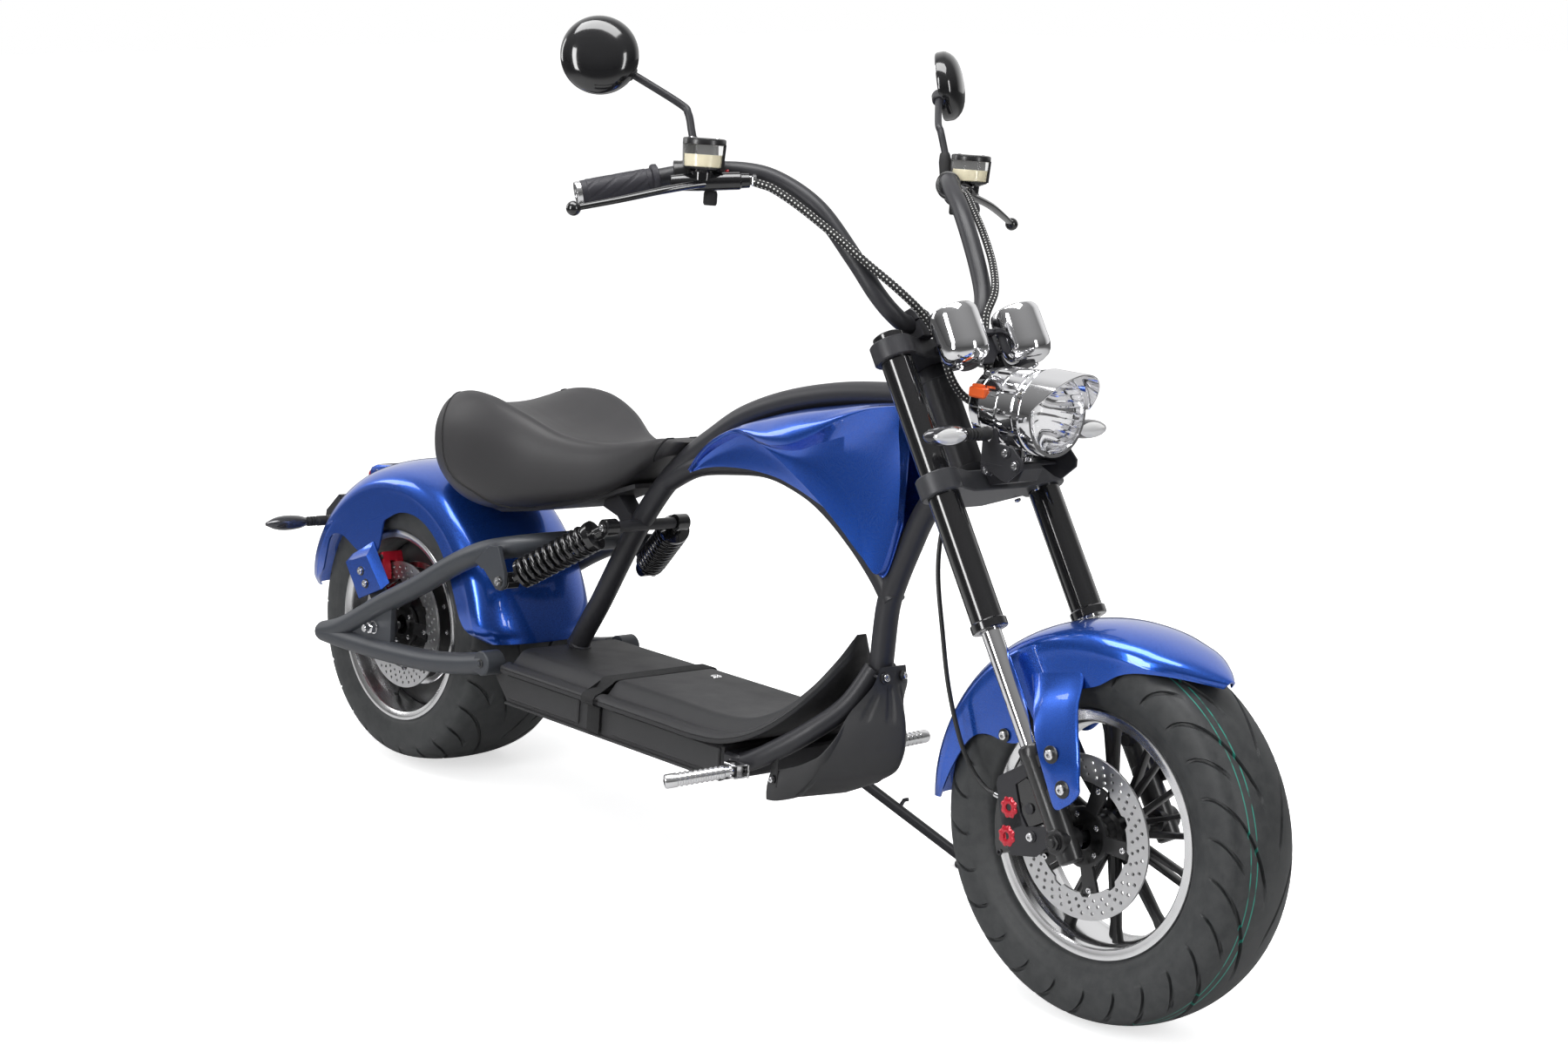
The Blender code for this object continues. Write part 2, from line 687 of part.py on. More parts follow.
# Belly pan: a thin moulded bucket under the down tube's foot
# (z from the foot's end, rear x and front x from the foot, half width)
PAN_LEVELS = (
    (-0.158, -0.119, -0.034, 0.085),
    (-0.144, -0.132, 0.016, 0.112),
    (-0.100, -0.072, 0.061, 0.116),
    (-0.050, -0.026, 0.081, 0.104),
    (0.000, 0.002, 0.076, 0.080),
    (0.055, 0.024, 0.061, 0.050),
)
PAN_SHARES = ((0, 1.0), (0.45, 0.98), (0.75, 0.82), (0.93, 0.50), (1.0, 0.0))


def pan_ring(z, rear, front, half, inset):
    """Half width at the back and a rounded nose, in a horizontal plane."""
    front = front - inset
    right = [(foot_x + rear + (front - rear) * t, -(half - inset) * w, foot_z + z) for t, w in PAN_SHARES]
    return right + [(x, -y, z) for x, y, z in right[-2::-1]]


pan_out = [pan_ring(*level, 0) for level in PAN_LEVELS]
pan_in = [pan_ring(*level, PAN_WALL) for level in PAN_LEVELS]
pan_in[0] = [(x, y, z + PAN_WALL) for x, y, z in pan_in[0]]
levels = len(PAN_LEVELS)
across = len(pan_out[0])
inner = levels * across
faces = []
for base in (0, inner):
    faces.append(tuple(base + j for j in range(across)))
    for i in range(levels - 1):
        for j in range(across - 1):
            a = base + i * across + j
            faces.append((a, a + 1, a + across + 1, a + across))
for j in range(across - 1):
    a = (levels - 1) * across + j
    faces.append((a, a + 1, a + 1 + inner, a + inner))
for j in (0, across - 1):
    for i in range(levels - 1):
        a = i * across + j
        faces.append((a, a + across, a + across + inner, a + inner))
faces.append((0, across - 1, across - 1 + inner, inner))
pan_points = [p for ring in pan_out + pan_in for p in ring]
node("belly_pan", mesh_of("belly_pan", pan_points, faces), scooter, "plastic_grey")

# Tank side panels, lofted through sections across the tubes: each falls from a rounded crown to a
# sharp swept crease, hollows under it, comes out again, and drops off a fold into a pocket at the rear
# (x, bottom edge, fold, second line, crease, crown, top edge; then how far each line stands out)
TANK_SECTIONS = (
    (0.640, 0.3575, 0.3590, 0.3600, 0.3610, 0.3625, 0.3640, 0.004, 0.005, 0.006, 0.006, 0.006),
    (0.672, 0.3690, 0.3880, 0.3900, 0.3915, 0.3935, 0.3955, 0.005, 0.014, 0.015, 0.015, 0.012),
    (0.715, 0.3770, 0.4150, 0.4170, 0.4190, 0.4220, 0.4250, 0.006, 0.026, 0.027, 0.027, 0.022),
    (0.770, 0.3810, 0.4370, 0.4390, 0.4410, 0.4460, 0.4515, 0.008, 0.034, 0.035, 0.035, 0.028),
    (0.825, 0.3790, 0.4290, 0.4315, 0.4340, 0.4530, 0.4710, 0.009, 0.036, 0.038, 0.041, 0.036),
    (0.865, 0.3715, 0.4130, 0.4270, 0.4335, 0.4620, 0.4825, 0.010, 0.036, 0.036, 0.046, 0.041),
    (0.905, 0.3600, 0.3930, 0.4310, 0.4415, 0.4730, 0.4920, 0.011, 0.036, 0.033, 0.050, 0.043),
    (0.950, 0.3440, 0.3670, 0.4480, 0.4610, 0.4850, 0.5010, 0.010, 0.034, 0.031, 0.050, 0.042),
    (0.995, 0.3190, 0.3340, 0.4640, 0.4870, 0.5000, 0.5095, 0.008, 0.029, 0.029, 0.046, 0.036),
    (1.035, 0.2890, 0.2990, 0.4720, 0.5050, 0.5120, 0.5160, 0.006, 0.022, 0.027, 0.040, 0.027),
    (1.066, 0.2740, 0.2800, 0.4760, 0.5140, 0.5180, 0.5200, 0.004, 0.015, 0.026, 0.034, 0.019),
    (1.092, 0.3500, 0.3600, 0.4790, 0.5190, 0.5210, 0.5225, 0.004, 0.013, 0.024, 0.028, 0.014),
)
tank_side = SPINE_TUBE + TANK_INNER
HEAD_DRAWN = Vector((1.1199, 0.5236))  # where the upper tube met the head tube when the sections were drawn
tank_shift = Vector((upper_end.x, upper_end.z)) - HEAD_DRAWN
TANK_REAR = TANK_SECTIONS[0][0]
for side, word in SIDES:
    rings = []
    for x, bottom, fold, second, crease, crown, top, out_1, out_2, out_3, out_4, out_5 in TANK_SECTIONS:
        share = (x - TANK_REAR) / (HEAD_DRAWN.x - TANK_REAR)
        lift = tank_shift.y * share
        heights = (bottom, bottom, fold - 0.002, fold, second, crease, crown, top, top)
        outs = (0, 0.002, out_1, out_2, out_3, out_4, out_5, 0.003, 0)
        rings.append(
            [(x + tank_shift.x * share, side * (tank_side + out), z + lift) for z, out in zip(heights, outs)]
        )
    node("tank_panel_" + word, skin("tank_panel_" + word, rings), scooter, "blue")

# Seat: sections from the tail to the nose
# (x at the rim, half width, rim, dish, bottom, slope)
SEAT_SECTIONS = (
    (0.060, 0.050, 0.3366, 0.000, 0.2966, 0.0),
    (0.085, 0.098, 0.3716, 0.004, 0.2866, 0.0),
    (0.130, 0.132, 0.4096, 0.012, 0.2666, 0.0),
    (0.190, 0.150, 0.4296, 0.026, 0.2466, 0.0),
    (0.260, 0.154, 0.4296, 0.040, 0.2416, 0.0),
    (0.330, 0.142, 0.4116, 0.036, 0.2536, 0.0),
    (0.400, 0.112, 0.3856, 0.016, 0.2736, 0.0),
    (0.470, 0.078, 0.3796, 0.002, 0.2966, 0.0),
    (0.530, 0.056, 0.3896, 0.000, 0.3216, 0.3),
    (0.580, 0.044, 0.4016, 0.000, 0.3496, 0.7),
    (0.603, 0.030, 0.4016, 0.000, 0.3696, 0.9),
)
# (share of the half width, share of the height, share of the dish)
SEAT_RING = ((0.70, 0, 0), (0.95, 0.25, 0), (1.0, 0.55, 0), (0.92, 0.85, 0), (0.72, 1, 0), (0.38, 1, 0.75))
rings = []
for x, half, rim, dish, bottom, slope in SEAT_SECTIONS:
    right = [(-half * wide, bottom + (rim - bottom) * high - dish * low) for wide, high, low in SEAT_RING]
    ring = right + [(0, rim - dish)] + [(-y, z) for y, z in right[::-1]]
    rings.append([(x + slope * (z - rim), y, z) for y, z in ring])
node("seat", skin("seat", rings), scooter, "leather")

# Fenders: thin shells swept about their wheel's axle
# Share of the half width and of the shoulder's drop, from the side to the crown
FENDER_SECTION = ((1.0, 1.0), (0.96, 0.66), (0.80, 0.33), (0.45, 0.08))


def fender(name, half, drop, stations, deep=FENDER_WALL):
    """stations: (angle up from ahead, share of the width, radius of the side's free edge, radius of the crown)."""
    outer, inner = [], []
    for angle, share, edge, top in stations:
        for sheet, wall in ((outer, 0.0), (inner, deep)):
            wide = half * share - wall
            radius = top - wall
            fall = min(drop, 0.8 * (radius - edge))
            side = [(wide, edge), (wide, 0.5 * (edge + radius - fall))]
            side += [(wide * a, radius - fall * b) for a, b in FENDER_SECTION]
            row = [(-y, r) for y, r in side] + [(0, radius)] + side[::-1]
            sheet.append([(r * cos(radians(angle)), y, r * sin(radians(angle))) for y, r in row])
    return skin(name, [out + back[::-1] for out, back in zip(outer, inner)])


REAR_FENDER = (
    (4, 0.80, 0.248, 0.290),
    (8, 0.96, 0.222, 0.288),
    (14, 1.0, 0.208, 0.286),
    (24, 1.0, 0.202, 0.284),
    (38, 1.0, 0.204, 0.282),
    (54, 1.0, 0.210, 0.282),
    (70, 1.0, 0.210, 0.282),
    (84, 1.0, 0.200, 0.282),
    (94, 1.0, 0.186, 0.282),
    (100, 1.0, 0.176, 0.282),
    (104, 1.0, 0.150, 0.282),
    (112, 1.0, 0.128, 0.282),
    (126, 1.0, 0.132, 0.282),
    (134, 1.0, 0.160, 0.283),
    (140, 1.0, 0.205, 0.284),
    (147, 1.0, 0.225, 0.285),
    (156, 0.99, 0.222, 0.287),
    (164, 0.96, 0.224, 0.290),
    (171, 0.88, 0.244, 0.295),
    (176, 0.70, 0.268, 0.300),
)
node("rear_fender", fender("rear_fender", REAR_FENDER_HALF, REAR_FENDER_DROP, REAR_FENDER), scooter, "blue")


def under_fender(name):
    """What a piece on the rear fender's crown needs cut away, a gap more than the fender and much deeper."""
    tail = [(angle, 1.0, edge, crown + GAP) for angle, share, edge, crown in REAR_FENDER if angle > 90]
    tail = [(angle, share, crown - 0.060, crown) for angle, share, edge, crown in tail]
    return fender(name, REAR_FENDER_HALF, REAR_FENDER_DROP, tail, 0.050)


FRONT_FENDER = (
    (55, 0.12, 0.272, 0.284),
    (60, 0.45, 0.264, 0.282),
    (68, 0.80, 0.250, 0.280),
    (78, 0.96, 0.230, 0.278),
    (86, 1.0, 0.205, 0.277),
    (92, 1.0, 0.160, 0.277),
    (97, 1.0, 0.085, 0.277),
    (106, 1.0, 0.050, 0.277),
    (117, 1.0, 0.055, 0.277),
    (122, 1.0, 0.120, 0.277),
    (134, 1.0, 0.145, 0.277),
    (144, 1.0, 0.195, 0.277),
    (156, 1.0, 0.215, 0.277),
    (168, 0.98, 0.228, 0.278),
    (178, 0.90, 0.244, 0.281),
    (183, 0.75, 0.260, 0.284),
)
node(
    "front_fender",
    fender("front_fender", FRONT_FENDER_HALF, FRONT_FENDER_DROP, FRONT_FENDER),
    steering_axis,
    "blue",
    into=AT_FRONT_AXLE,
)

# Fork legs: covered outer tubes, chrome inner ones, cast feet with the fender's bosses

for side, word in SIDES:
    y = side * LEG_Y
    cover = LEG_RADIUS + 0.003
    cover_stations = ((0, cover), (0.012, cover), (0.014, LEG_RADIUS), (LEG_TOP - COVER_BOTTOM, LEG_RADIUS))
    node(
        "fork_outer_" + word,
        turned("fork_outer_" + word, (FORK_OFFSET, y, COVER_BOTTOM), (0, 0, 1), cover_stations, 16),
        steering_axis,
        "gloss_black",
    )
    node(
        "fork_inner_" + word,
        rod("fork_inner_" + word, (FORK_OFFSET, y, CAST_TOP + GAP), (FORK_OFFSET, y, COVER_BOTTOM - GAP), INNER_RADIUS),
        steering_axis,
        "chrome",
    )
    cast = ((0, 0.0165), (0.060, CAST_RADIUS), (CAST_TOP - CAST_BOTTOM - 0.012, CAST_RADIUS))
    cast += ((CAST_TOP - CAST_BOTTOM, 0.0165),)
    bosses = [
        rod(
            f"boss_{i}",
            (FORK_OFFSET + 0.006, side * (FRONT_FENDER_HALF + GAP), up),
            (FORK_OFFSET + 0.006, side * (LEG_Y - 0.005), up),
            0.009,
            10,
        )
        for i, up in enumerate((0.066, 0.112))
    ]
    node(
        "fork_foot_" + word,
        turned("fork_foot_" + word, (FORK_OFFSET, y, CAST_BOTTOM), (0, 0, 1), cast, 16),
        steering_axis,
        "satin_black",
        joined=bosses,
        cut=[rod("axle_bore", (FORK_OFFSET, -0.2, 0), (FORK_OFFSET, 0.2, 0), AXLE_RADIUS + GAP)],
    )
front_nut = LEG_Y + CAST_RADIUS + GAP
axle("front_axle", front_nut, front_nut + 0.006, front_nut + 0.010, front_wheel_axis)

# Fork clamps, with the bar's risers on the upper one


def clamp(low, deep, reach):
    """A plate round both legs and the stem."""
    right = arc((FORK_OFFSET, -LEG_Y), reach, 40, -220, 7)
    left = arc((FORK_OFFSET, LEG_Y), reach, 220, -40, 7)
    back = [(-0.022, -0.024), (-0.022, 0.024)]
    front = [(FORK_OFFSET + CLAMP_WAIST, 0.040), (FORK_OFFSET + CLAMP_WAIST, -0.040)]
    return prism("clamp", right + back + left + front, low, low + deep)


def leg_bores(low, deep):
    return [
        rod("bore_" + word, (FORK_OFFSET, y, low - 0.02), (FORK_OFFSET, y, low + deep + 0.02), LEG_RADIUS + GAP, 16)
        for y, word in ((-LEG_Y, "right"), (LEG_Y, "left"))
    ]


clamp_top = UPPER_CLAMP + UPPER_CLAMP_DEEP
node(
    "lower_clamp",
    clamp(LOWER_CLAMP, LOWER_CLAMP_DEEP, LEG_RADIUS + CLAMP_WALL),
    steering_axis,
    "dark_grey",
    joined=[rod("stem", (0, 0, LOWER_CLAMP + 0.005), (0, 0, clamp_top + 0.004), STEM_RADIUS)],
    cut=leg_bores(LOWER_CLAMP, LOWER_CLAMP_DEEP),
)
# Half of the bar: (ahead of the legs' middles, left, above the upper clamp)
BAR_HALF = (
    (0.0074, 0.000, 0.0223),
    (0.0074, 0.030, 0.0223),
    (0.0077, 0.064, 0.0227),
    (0.0111, 0.087, 0.0365),
    (0.0114, 0.106, 0.0671),
    (0.0079, 0.122, 0.1226),
    (-0.0039, 0.143, 0.2012),
    (-0.0281, 0.170, 0.2557),
    (-0.0534, 0.202, 0.2848),
    (-0.0966, 0.250, 0.3063),
    (-0.1406, 0.320, 0.3117),
    (-0.1815, 0.384, 0.3163),
)


def bar_place(ahead, left, above, side=1):
    """A steering place given from the legs' middles and the upper clamp's top."""
    return Vector((FORK_OFFSET + ahead, side * left, clamp_top + above))


bar_path = [bar_place(*p, -1) for p in BAR_HALF[::-1]] + [bar_place(*p) for p in BAR_HALF[1:]]
BAR_SIDES = 12


def bar_way(name):
    """What a clamp, grip or perch needs cut out to go round the bar."""
    return tube(name, bar_path, BAR_RADIUS + GAP, BAR_SIDES)


seat_x, _, seat_z = bar_place(*BAR_HALF[0])
riser = [
    (seat_x - 0.019, clamp_top - 0.003),
    (seat_x + 0.019, clamp_top - 0.003),
    (seat_x + 0.021, seat_z),
    (seat_x + 0.012, seat_z + BAR_RADIUS + 0.008),
    (seat_x - 0.012, seat_z + BAR_RADIUS + 0.008),
    (seat_x - 0.021, seat_z),
]
node(
    "upper_clamp",
    clamp(UPPER_CLAMP, UPPER_CLAMP_DEEP, LEG_RADIUS + CLAMP_WALL - 0.001),
    steering_axis,
    "satin_black",
    joined=[prism("riser_" + word, riser, side * 0.034, side * 0.060, "Y") for side, word in SIDES],
    cut=leg_bores(UPPER_CLAMP, UPPER_CLAMP_DEEP)
    + [rod("stem_bore", (0, 0, UPPER_CLAMP - 0.05), (0, 0, clamp_top + 0.05), STEM_RADIUS + GAP), bar_way("bar_way")],
)

# Handlebar, grips, brake controls and mirrors

node("handlebar", tube("handlebar", bar_path, BAR_RADIUS, BAR_SIDES), steering_axis, "satin_black")
GRIP = (
    (0.003, GRIP_RADIUS - 0.001),
    (-GRIP_LONG + 0.009, GRIP_RADIUS),
    (-GRIP_LONG + 0.007, GRIP_RADIUS + 0.004),
    (-GRIP_LONG + 0.002, GRIP_RADIUS + 0.004),
    (-GRIP_LONG, GRIP_RADIUS + 0.002),
)
DOME = ((-0.013, 0.0490), (-0.009, 0.0535), (0.004, 0.0535), (0.015, 0.0460), (0.023, 0.0300), (0.026, 0.0120))
for side, word in SIDES:
    end = bar_place(*BAR_HALF[-1], side)
    way = end - bar_place(*BAR_HALF[-2], side)
    node(
        "grip_" + word,
        turned("grip_" + word, end, way, GRIP),
        steering_axis,
        "rubber",
        cut=[bar_way("grip_bore")],
    )

    def near_bar(ahead, left, above):
        """A place given from the bar at the perch."""
        return bar_place(BAR_HALF[9][0] + ahead, BAR_HALF[9][1] + left, BAR_HALF[9][2] + above, side)

    upright = Vector((sin(RAKE), 0, cos(RAKE)))
    cup = near_bar(0.0185, 0.0148, -0.0249)
    cup_stations = ((0, 0.016), (0.015, 0.016), (0.017, 0.0265), (0.049, 0.028), (0.0495, 0.030), (0.058, 0.030))
    tip = near_bar(-0.0569, 0.1848, -0.0314)
    lever = [near_bar(0.0140, 0.036, -0.0302), near_bar(-0.0015, 0.080, -0.0322), near_bar(-0.0259, 0.130, -0.0334)]
    ball = ((-0.0095, 0.004), (-0.005, 0.0085), (0, 0.0105), (0.005, 0.0085), (0.0095, 0.004))
    boot = near_bar(-0.0030, 0.002, 0.0066)
    node(
        "brake_control_" + word,
        tube("brake_control_" + word, [near_bar(0.0234, -0.028, -0.0116), near_bar(-0.0199, 0.028, 0.0060)], 0.0205),
        steering_axis,
        "satin_black",
        joined=[
            rod("cylinder", near_bar(0.0525, -0.038, -0.0405), near_bar(-0.0036, 0.050, -0.0168), 0.0125, 12),
            rod("bridge", near_bar(0.0, 0.0, 0.0), near_bar(0.022, 0.012, -0.029), 0.011, 10),
            turned("reservoir", cup, upright, cup_stations, 12),
            tube("lever", lever + [tip], [0.0095, 0.0095, 0.0065, 0.0050], 8),
            turned("lever_ball", tip, tip - lever[-1], ball, 10),
            rod("boot", boot, near_bar(0.0142, 0.0008, 0.0466), 0.0100, 10),
        ],
        cut=[bar_way("perch_bore")],
    )
    stem = [near_bar(0.0142, 0.0008, 0.0470), near_bar(0.0163, 0.0008, 0.0548), near_bar(0.0206, 0.0008, 0.0836)]
    stem.append(near_bar(-0.0065, 0.058, 0.1557))
    glass_turn = Vector((0.743, side * 0.62, -0.211))
    node(
        "mirror_" + word,
        turned("mirror_" + word, near_bar(-0.0114, 0.0948, 0.1825), glass_turn, DOME, 16),
        steering_axis,
        "gloss_black",
        joined=[tube("stem", rounded(stem), 0.0055, 8)],
    )

# Headlight on its bracket, ahead of the lower clamp

LAMP_FACE = Vector((0.1773, 0, 0.527))  # middle of the bowl's rim
lamp = Matrix.Translation(LAMP_FACE) @ LEVEL
BOWL = (
    (-0.132, 0.50),
    (-0.126, 0.74),
    (-0.114, 0.90),
    (-0.098, 0.97),
    (-0.020, 1.0),
    (-0.008, 1.026),
    (0, 1.0),
)
visor = []
for i in range(13):
    angle = radians(8 + 164 * i / 12)
    reach = 0.048 * sin(angle) ** 0.8 - 0.003
    section = ((-0.016, -0.0005), (reach, 0.0005), (reach, 0.0025), (-0.016, 0.0035))
    visor.append([(x, (LAMP_RADIUS + r) * cos(angle), (LAMP_RADIUS + r) * sin(angle)) for x, r in section])
plate_z = -LAMP_RADIUS - 0.014  # the bracket's plate under the bowl
node(
    "headlight",
    turned("headlight", (0, 0, 0), (1, 0, 0), [(x, LAMP_RADIUS * r) for x, r in BOWL], 24),
    steering_axis,
    "chrome",
    into=lamp,
    joined=[
        skin("visor", visor),
        box("lamp_foot", (-0.074, -0.012, plate_z + GAP), (-0.046, 0.012, -LAMP_RADIUS + 0.010)),
    ],
)
LENS = ((GAP, 0.0500), (0.003, 0.0495), (0.008, 0.040), (0.011, 0.022), (0.0115, 0.006))
node("headlight_lens", turned("headlight_lens", (0, 0, 0), (1, 0, 0), LENS, 24), steering_axis, "lens", into=lamp)
arm_foot = lamp.inverted() @ Vector((FORK_OFFSET + CLAMP_WAIST + GAP, 0, LOWER_CLAMP + 0.006))
arm_head = lamp.inverted() @ Vector((FORK_OFFSET + CLAMP_WAIST + GAP, 0, LOWER_CLAMP + LOWER_CLAMP_DEEP - 0.004))
arm = [
    (arm_foot.x, arm_foot.z),
    (-0.042, plate_z - 0.024),
    (-0.034, plate_z - 0.006),
    (-0.040, plate_z),
    (-0.094, plate_z),
    (arm_head.x, arm_head.z),
]
ear_in = LAMP_RADIUS - 0.0040
ears = [
    box("ear_" + word, (-0.079, min(side * ear_in, side * (ear_in + 0.004)), plate_z - 0.006),
        (-0.055, max(side * ear_in, side * (ear_in + 0.004)), -0.024))
    for side, word in SIDES
]
node(
    "lamp_bracket",
    prism("lamp_bracket", arm, -0.020, 0.020, "Y"),
    steering_axis,
    "satin_black",
    into=lamp,
    joined=ears + [box("cross", (-0.079, -ear_in - 0.004, plate_z - 0.006), (-0.055, ear_in + 0.004, plate_z))],
)

# Instruments: two cups on a plate ahead of the upper clamp

POD_AT = (0.1168, 0.0617)  # ahead of the steering axis, left
CUP = ((0, 0.012), (0.002, 0.022), (0.009, 0.0310), (0.020, 0.0340), (0.074, 0.0345), (0.079, 0.0320))
cup_low = UPPER_CLAMP - 0.046
plate_rear = FORK_OFFSET + CLAMP_WAIST + GAP
node(
    "instrument_pods",
    box("instrument_pods", (plate_rear, -0.034, UPPER_CLAMP + 0.006), (0.100, 0.034, UPPER_CLAMP + 0.014)),
    steering_axis,
    "chrome",
    joined=[
        turned("cup_" + word, (POD_AT[0], side * POD_AT[1], cup_low), (0, 0, 1), CUP, 16) for side, word in SIDES
    ]
    + [box("badge_plate", (0.090, -0.034, UPPER_CLAMP - 0.038), (0.096, 0.034, UPPER_CLAMP + 0.012))],
)

# Bullet turn signals

BULLET = ((0.0, 0.0065), (0.40, 0.0065), (0.46, 0.0110), (0.70, 0.0135), (0.90, 0.0095), (1.0, 0.003))
signal_root = lamp @ Vector((-0.067, ear_in + 0.004 + GAP, -0.032))
# (name, root, length, parent)
SIGNALS = (
    ("front_signal", signal_root, 0.1250, steering_axis),
    ("rear_signal", Vector((-0.2950, 0.0560 + GAP, 0.1300)), 0.1290, scooter),
)
for name, root, length, parent in SIGNALS:
    for side, word in SIDES:
        start = (root.x, side * root.y, root.z)
        stations = [(length * t, r) for t, r in BULLET]
        node(
            f"{name}_{word}",
            turned(f"{name}_{word}", start, (0, side, 0), stations, 12),
            parent,
            "gloss_black",
        )

# Tail pod with the rear light in it, and the bracket for the rear signals

POD_OUTLINE = [(-0.082, 0.2580), (-0.179, 0.2470), (-0.196, 0.2390), (-0.199, 0.2090), (-0.150, 0.2200)]
node(
    "tail_pod",
    prism("tail_pod", POD_OUTLINE, -0.040, 0.040, "Y"),
    scooter,
    "blue",
    cut=[under_fender("under_pod")],
)
LIGHT = [(-0.1965, 0.2360), (-0.2070, 0.2330), (-0.2085, 0.2130), (-0.1990, 0.2105)]
node(
    "tail_light",
    prism("tail_light", [(x - GAP * 0.4, z) for x, z in LIGHT], -0.034, 0.034, "Y"),
    scooter,
    "red",
)
HOLDER = [(-0.246, 0.1830), (-0.262, 0.1830), (-0.3020, 0.1480), (-0.3050, 0.1210), (-0.2900, 0.1130), (-0.255, 0.1300)]
node(
    "tail_bracket",
    prism("tail_bracket", HOLDER, -0.0560, 0.0560, "Y"),
    scooter,
    "satin_black",
    cut=[under_fender("under_bracket")],
)

# Blue brackets between the rear fender and the swing arm's upper tubes

BRACKET = [(-0.1187, 0.1029), (-0.0080, 0.1626), (0.0020, 0.1596), (0.0600, 0.0750), (-0.0480, 0.0200)]
for side, word in SIDES:
    y = side * SWING_Y
    node(
        "rear_bracket_" + word,
        prism(
            "rear_bracket_" + word,
            BRACKET,
            side * (REAR_FENDER_HALF + GAP),
            side * (REAR_FENDER_HALF + 0.0156),
            "Y",
        ),
        scooter,
        "blue",
        cut=[tube("swing_way", in_plane(UPPER_LOOP, y), SWING_TUBE + GAP, 20)],
    )

# Brake calipers over the discs, each on its mounting plate

BRIDGE_IN = DISC_RADIUS + 0.003
BRIDGE_OUT = DISC_RADIUS + 0.020
PAD_IN = DISC_RADIUS - 0.030
PAD_GAP = 0.0025


def caliper(name, first, last, disc_y, outer_y, inner_y, plate, plate_y, parent, paint, into=None, cut=()):
    """Two pad blocks and a bridge over the disc, with a mounting plate against what carries it."""
    bridge = arc((0, 0), BRIDGE_IN, first, last, 5) + arc((0, 0), BRIDGE_OUT, last, first, 5)
    pads = arc((0, 0), PAD_IN, first + 2, last - 2, 5) + arc((0, 0), BRIDGE_OUT - 0.006, last - 2, first + 2, 5)
    node(
        name,
        prism(name, bridge, outer_y, inner_y, "Y"),
        parent,
        paint,
        into=into,
        joined=[
            prism("outer_block", pads, outer_y - 0.001, disc_y - DISC_HALF - PAD_GAP, "Y"),
            prism("inner_block", pads, disc_y + DISC_HALF + PAD_GAP, inner_y + 0.001, "Y"),
            prism("plate", plate, plate_y - 0.003, plate_y + 0.003, "Y"),
        ],
        cut=list(cut),
    )


leg_back = -CAST_RADIUS - GAP
front_plate = [
    (-0.100, 0.020),
    (-0.060, -0.004),
    (leg_back, 0.004),
    (leg_back, 0.024),
    (-0.060, 0.040),
    (-0.050, 0.092),
    (leg_back, 0.096),
    (leg_back, 0.112),
    (-0.074, 0.112),
]
caliper(
    "front_caliper",
    124,
    172,
    FRONT_DISC_Y,
    -0.0980,
    -0.0545,
    front_plate,
    -LEG_Y + 0.0055,
    steering_axis,
    "gloss_black",
    into=Matrix.Translation((FORK_OFFSET, 0, 0)),
)
rear_plate = arc((0, 0), 0.021, 205, 395, 8) + arc((0, 0), 0.104, 115, 142, 3)
caliper(
    "rear_caliper",
    108,
    150,
    REAR_DISC_Y,
    -0.1140,
    -0.0680,
    rear_plate,
    -0.1150,
    scooter,
    "red",
    cut=[rod("axle_bore", (0, -0.2, 0), (0, 0.2, 0), AXLE_RADIUS + GAP)],
)

# Foot pegs: the right one swung back as in the photo, the left one out

PEG_RADIUS = 0.0105
# (side, name, where the peg ends: x and z from its bracket, y out of the frame)
PEGS = ((-1, "right", -0.050, 0.228, -0.018), (1, "left", 0.007, 0.252, 0.006))
peg_x = cradle[1] + 0.005
peg_z = (cradle[2] + cradle[3]) / 2
for side, word, back, out, rise in PEGS:
    face = sorted((side * (CRADLE_HALF + GAP), side * (CRADLE_HALF + 0.023)))
    node(
        "foot_peg_" + word,
        box("foot_peg_" + word, (peg_x - 0.024, face[0], peg_z - 0.011), (peg_x + 0.020, face[1], peg_z + 0.011)),
        scooter,
        "steel",
        joined=[
            rod(
                "peg",
                (peg_x + 0.002, side * (CRADLE_HALF + 0.018), peg_z),
                (peg_x + 0.002 + back, side * out, peg_z + rise),
                PEG_RADIUS,
                12,
            )
        ],
    )

# Side stand, its sole flat on the ground

STAND_FOOT = (BOX_FRONT + 0.137, 0.275)  # ahead of the rear axle, left
FOOT_PAD = 0.020
PAD_THICK = 0.006
STAND = Matrix.Translation(STAND_PIVOT) @ STAND_AXIS.to_track_quat("Z", "X").to_matrix().to_4x4()
side_stand_pivot = empty("side_stand_pivot", scooter, STAND)
sole = on_ground(*STAND_FOOT)
node(
    "side_stand",
    rod("side_stand", STAND_PIVOT + STAND_AXIS * (0.004 + GAP), STAND_PIVOT + STAND_AXIS * 0.022, 0.013),
    side_stand_pivot,
    "satin_black",
    into=STAND.inverted(),
    joined=[
        rod("leg", STAND_PIVOT + STAND_AXIS * 0.0135, sole + UP * (PAD_THICK + 0.0015), 0.0080, 12),
        rod("pad", sole, sole + UP * PAD_THICK, FOOT_PAD),
    ],
)

# Looms from the bar's controls to the headlight, and the front brake hose

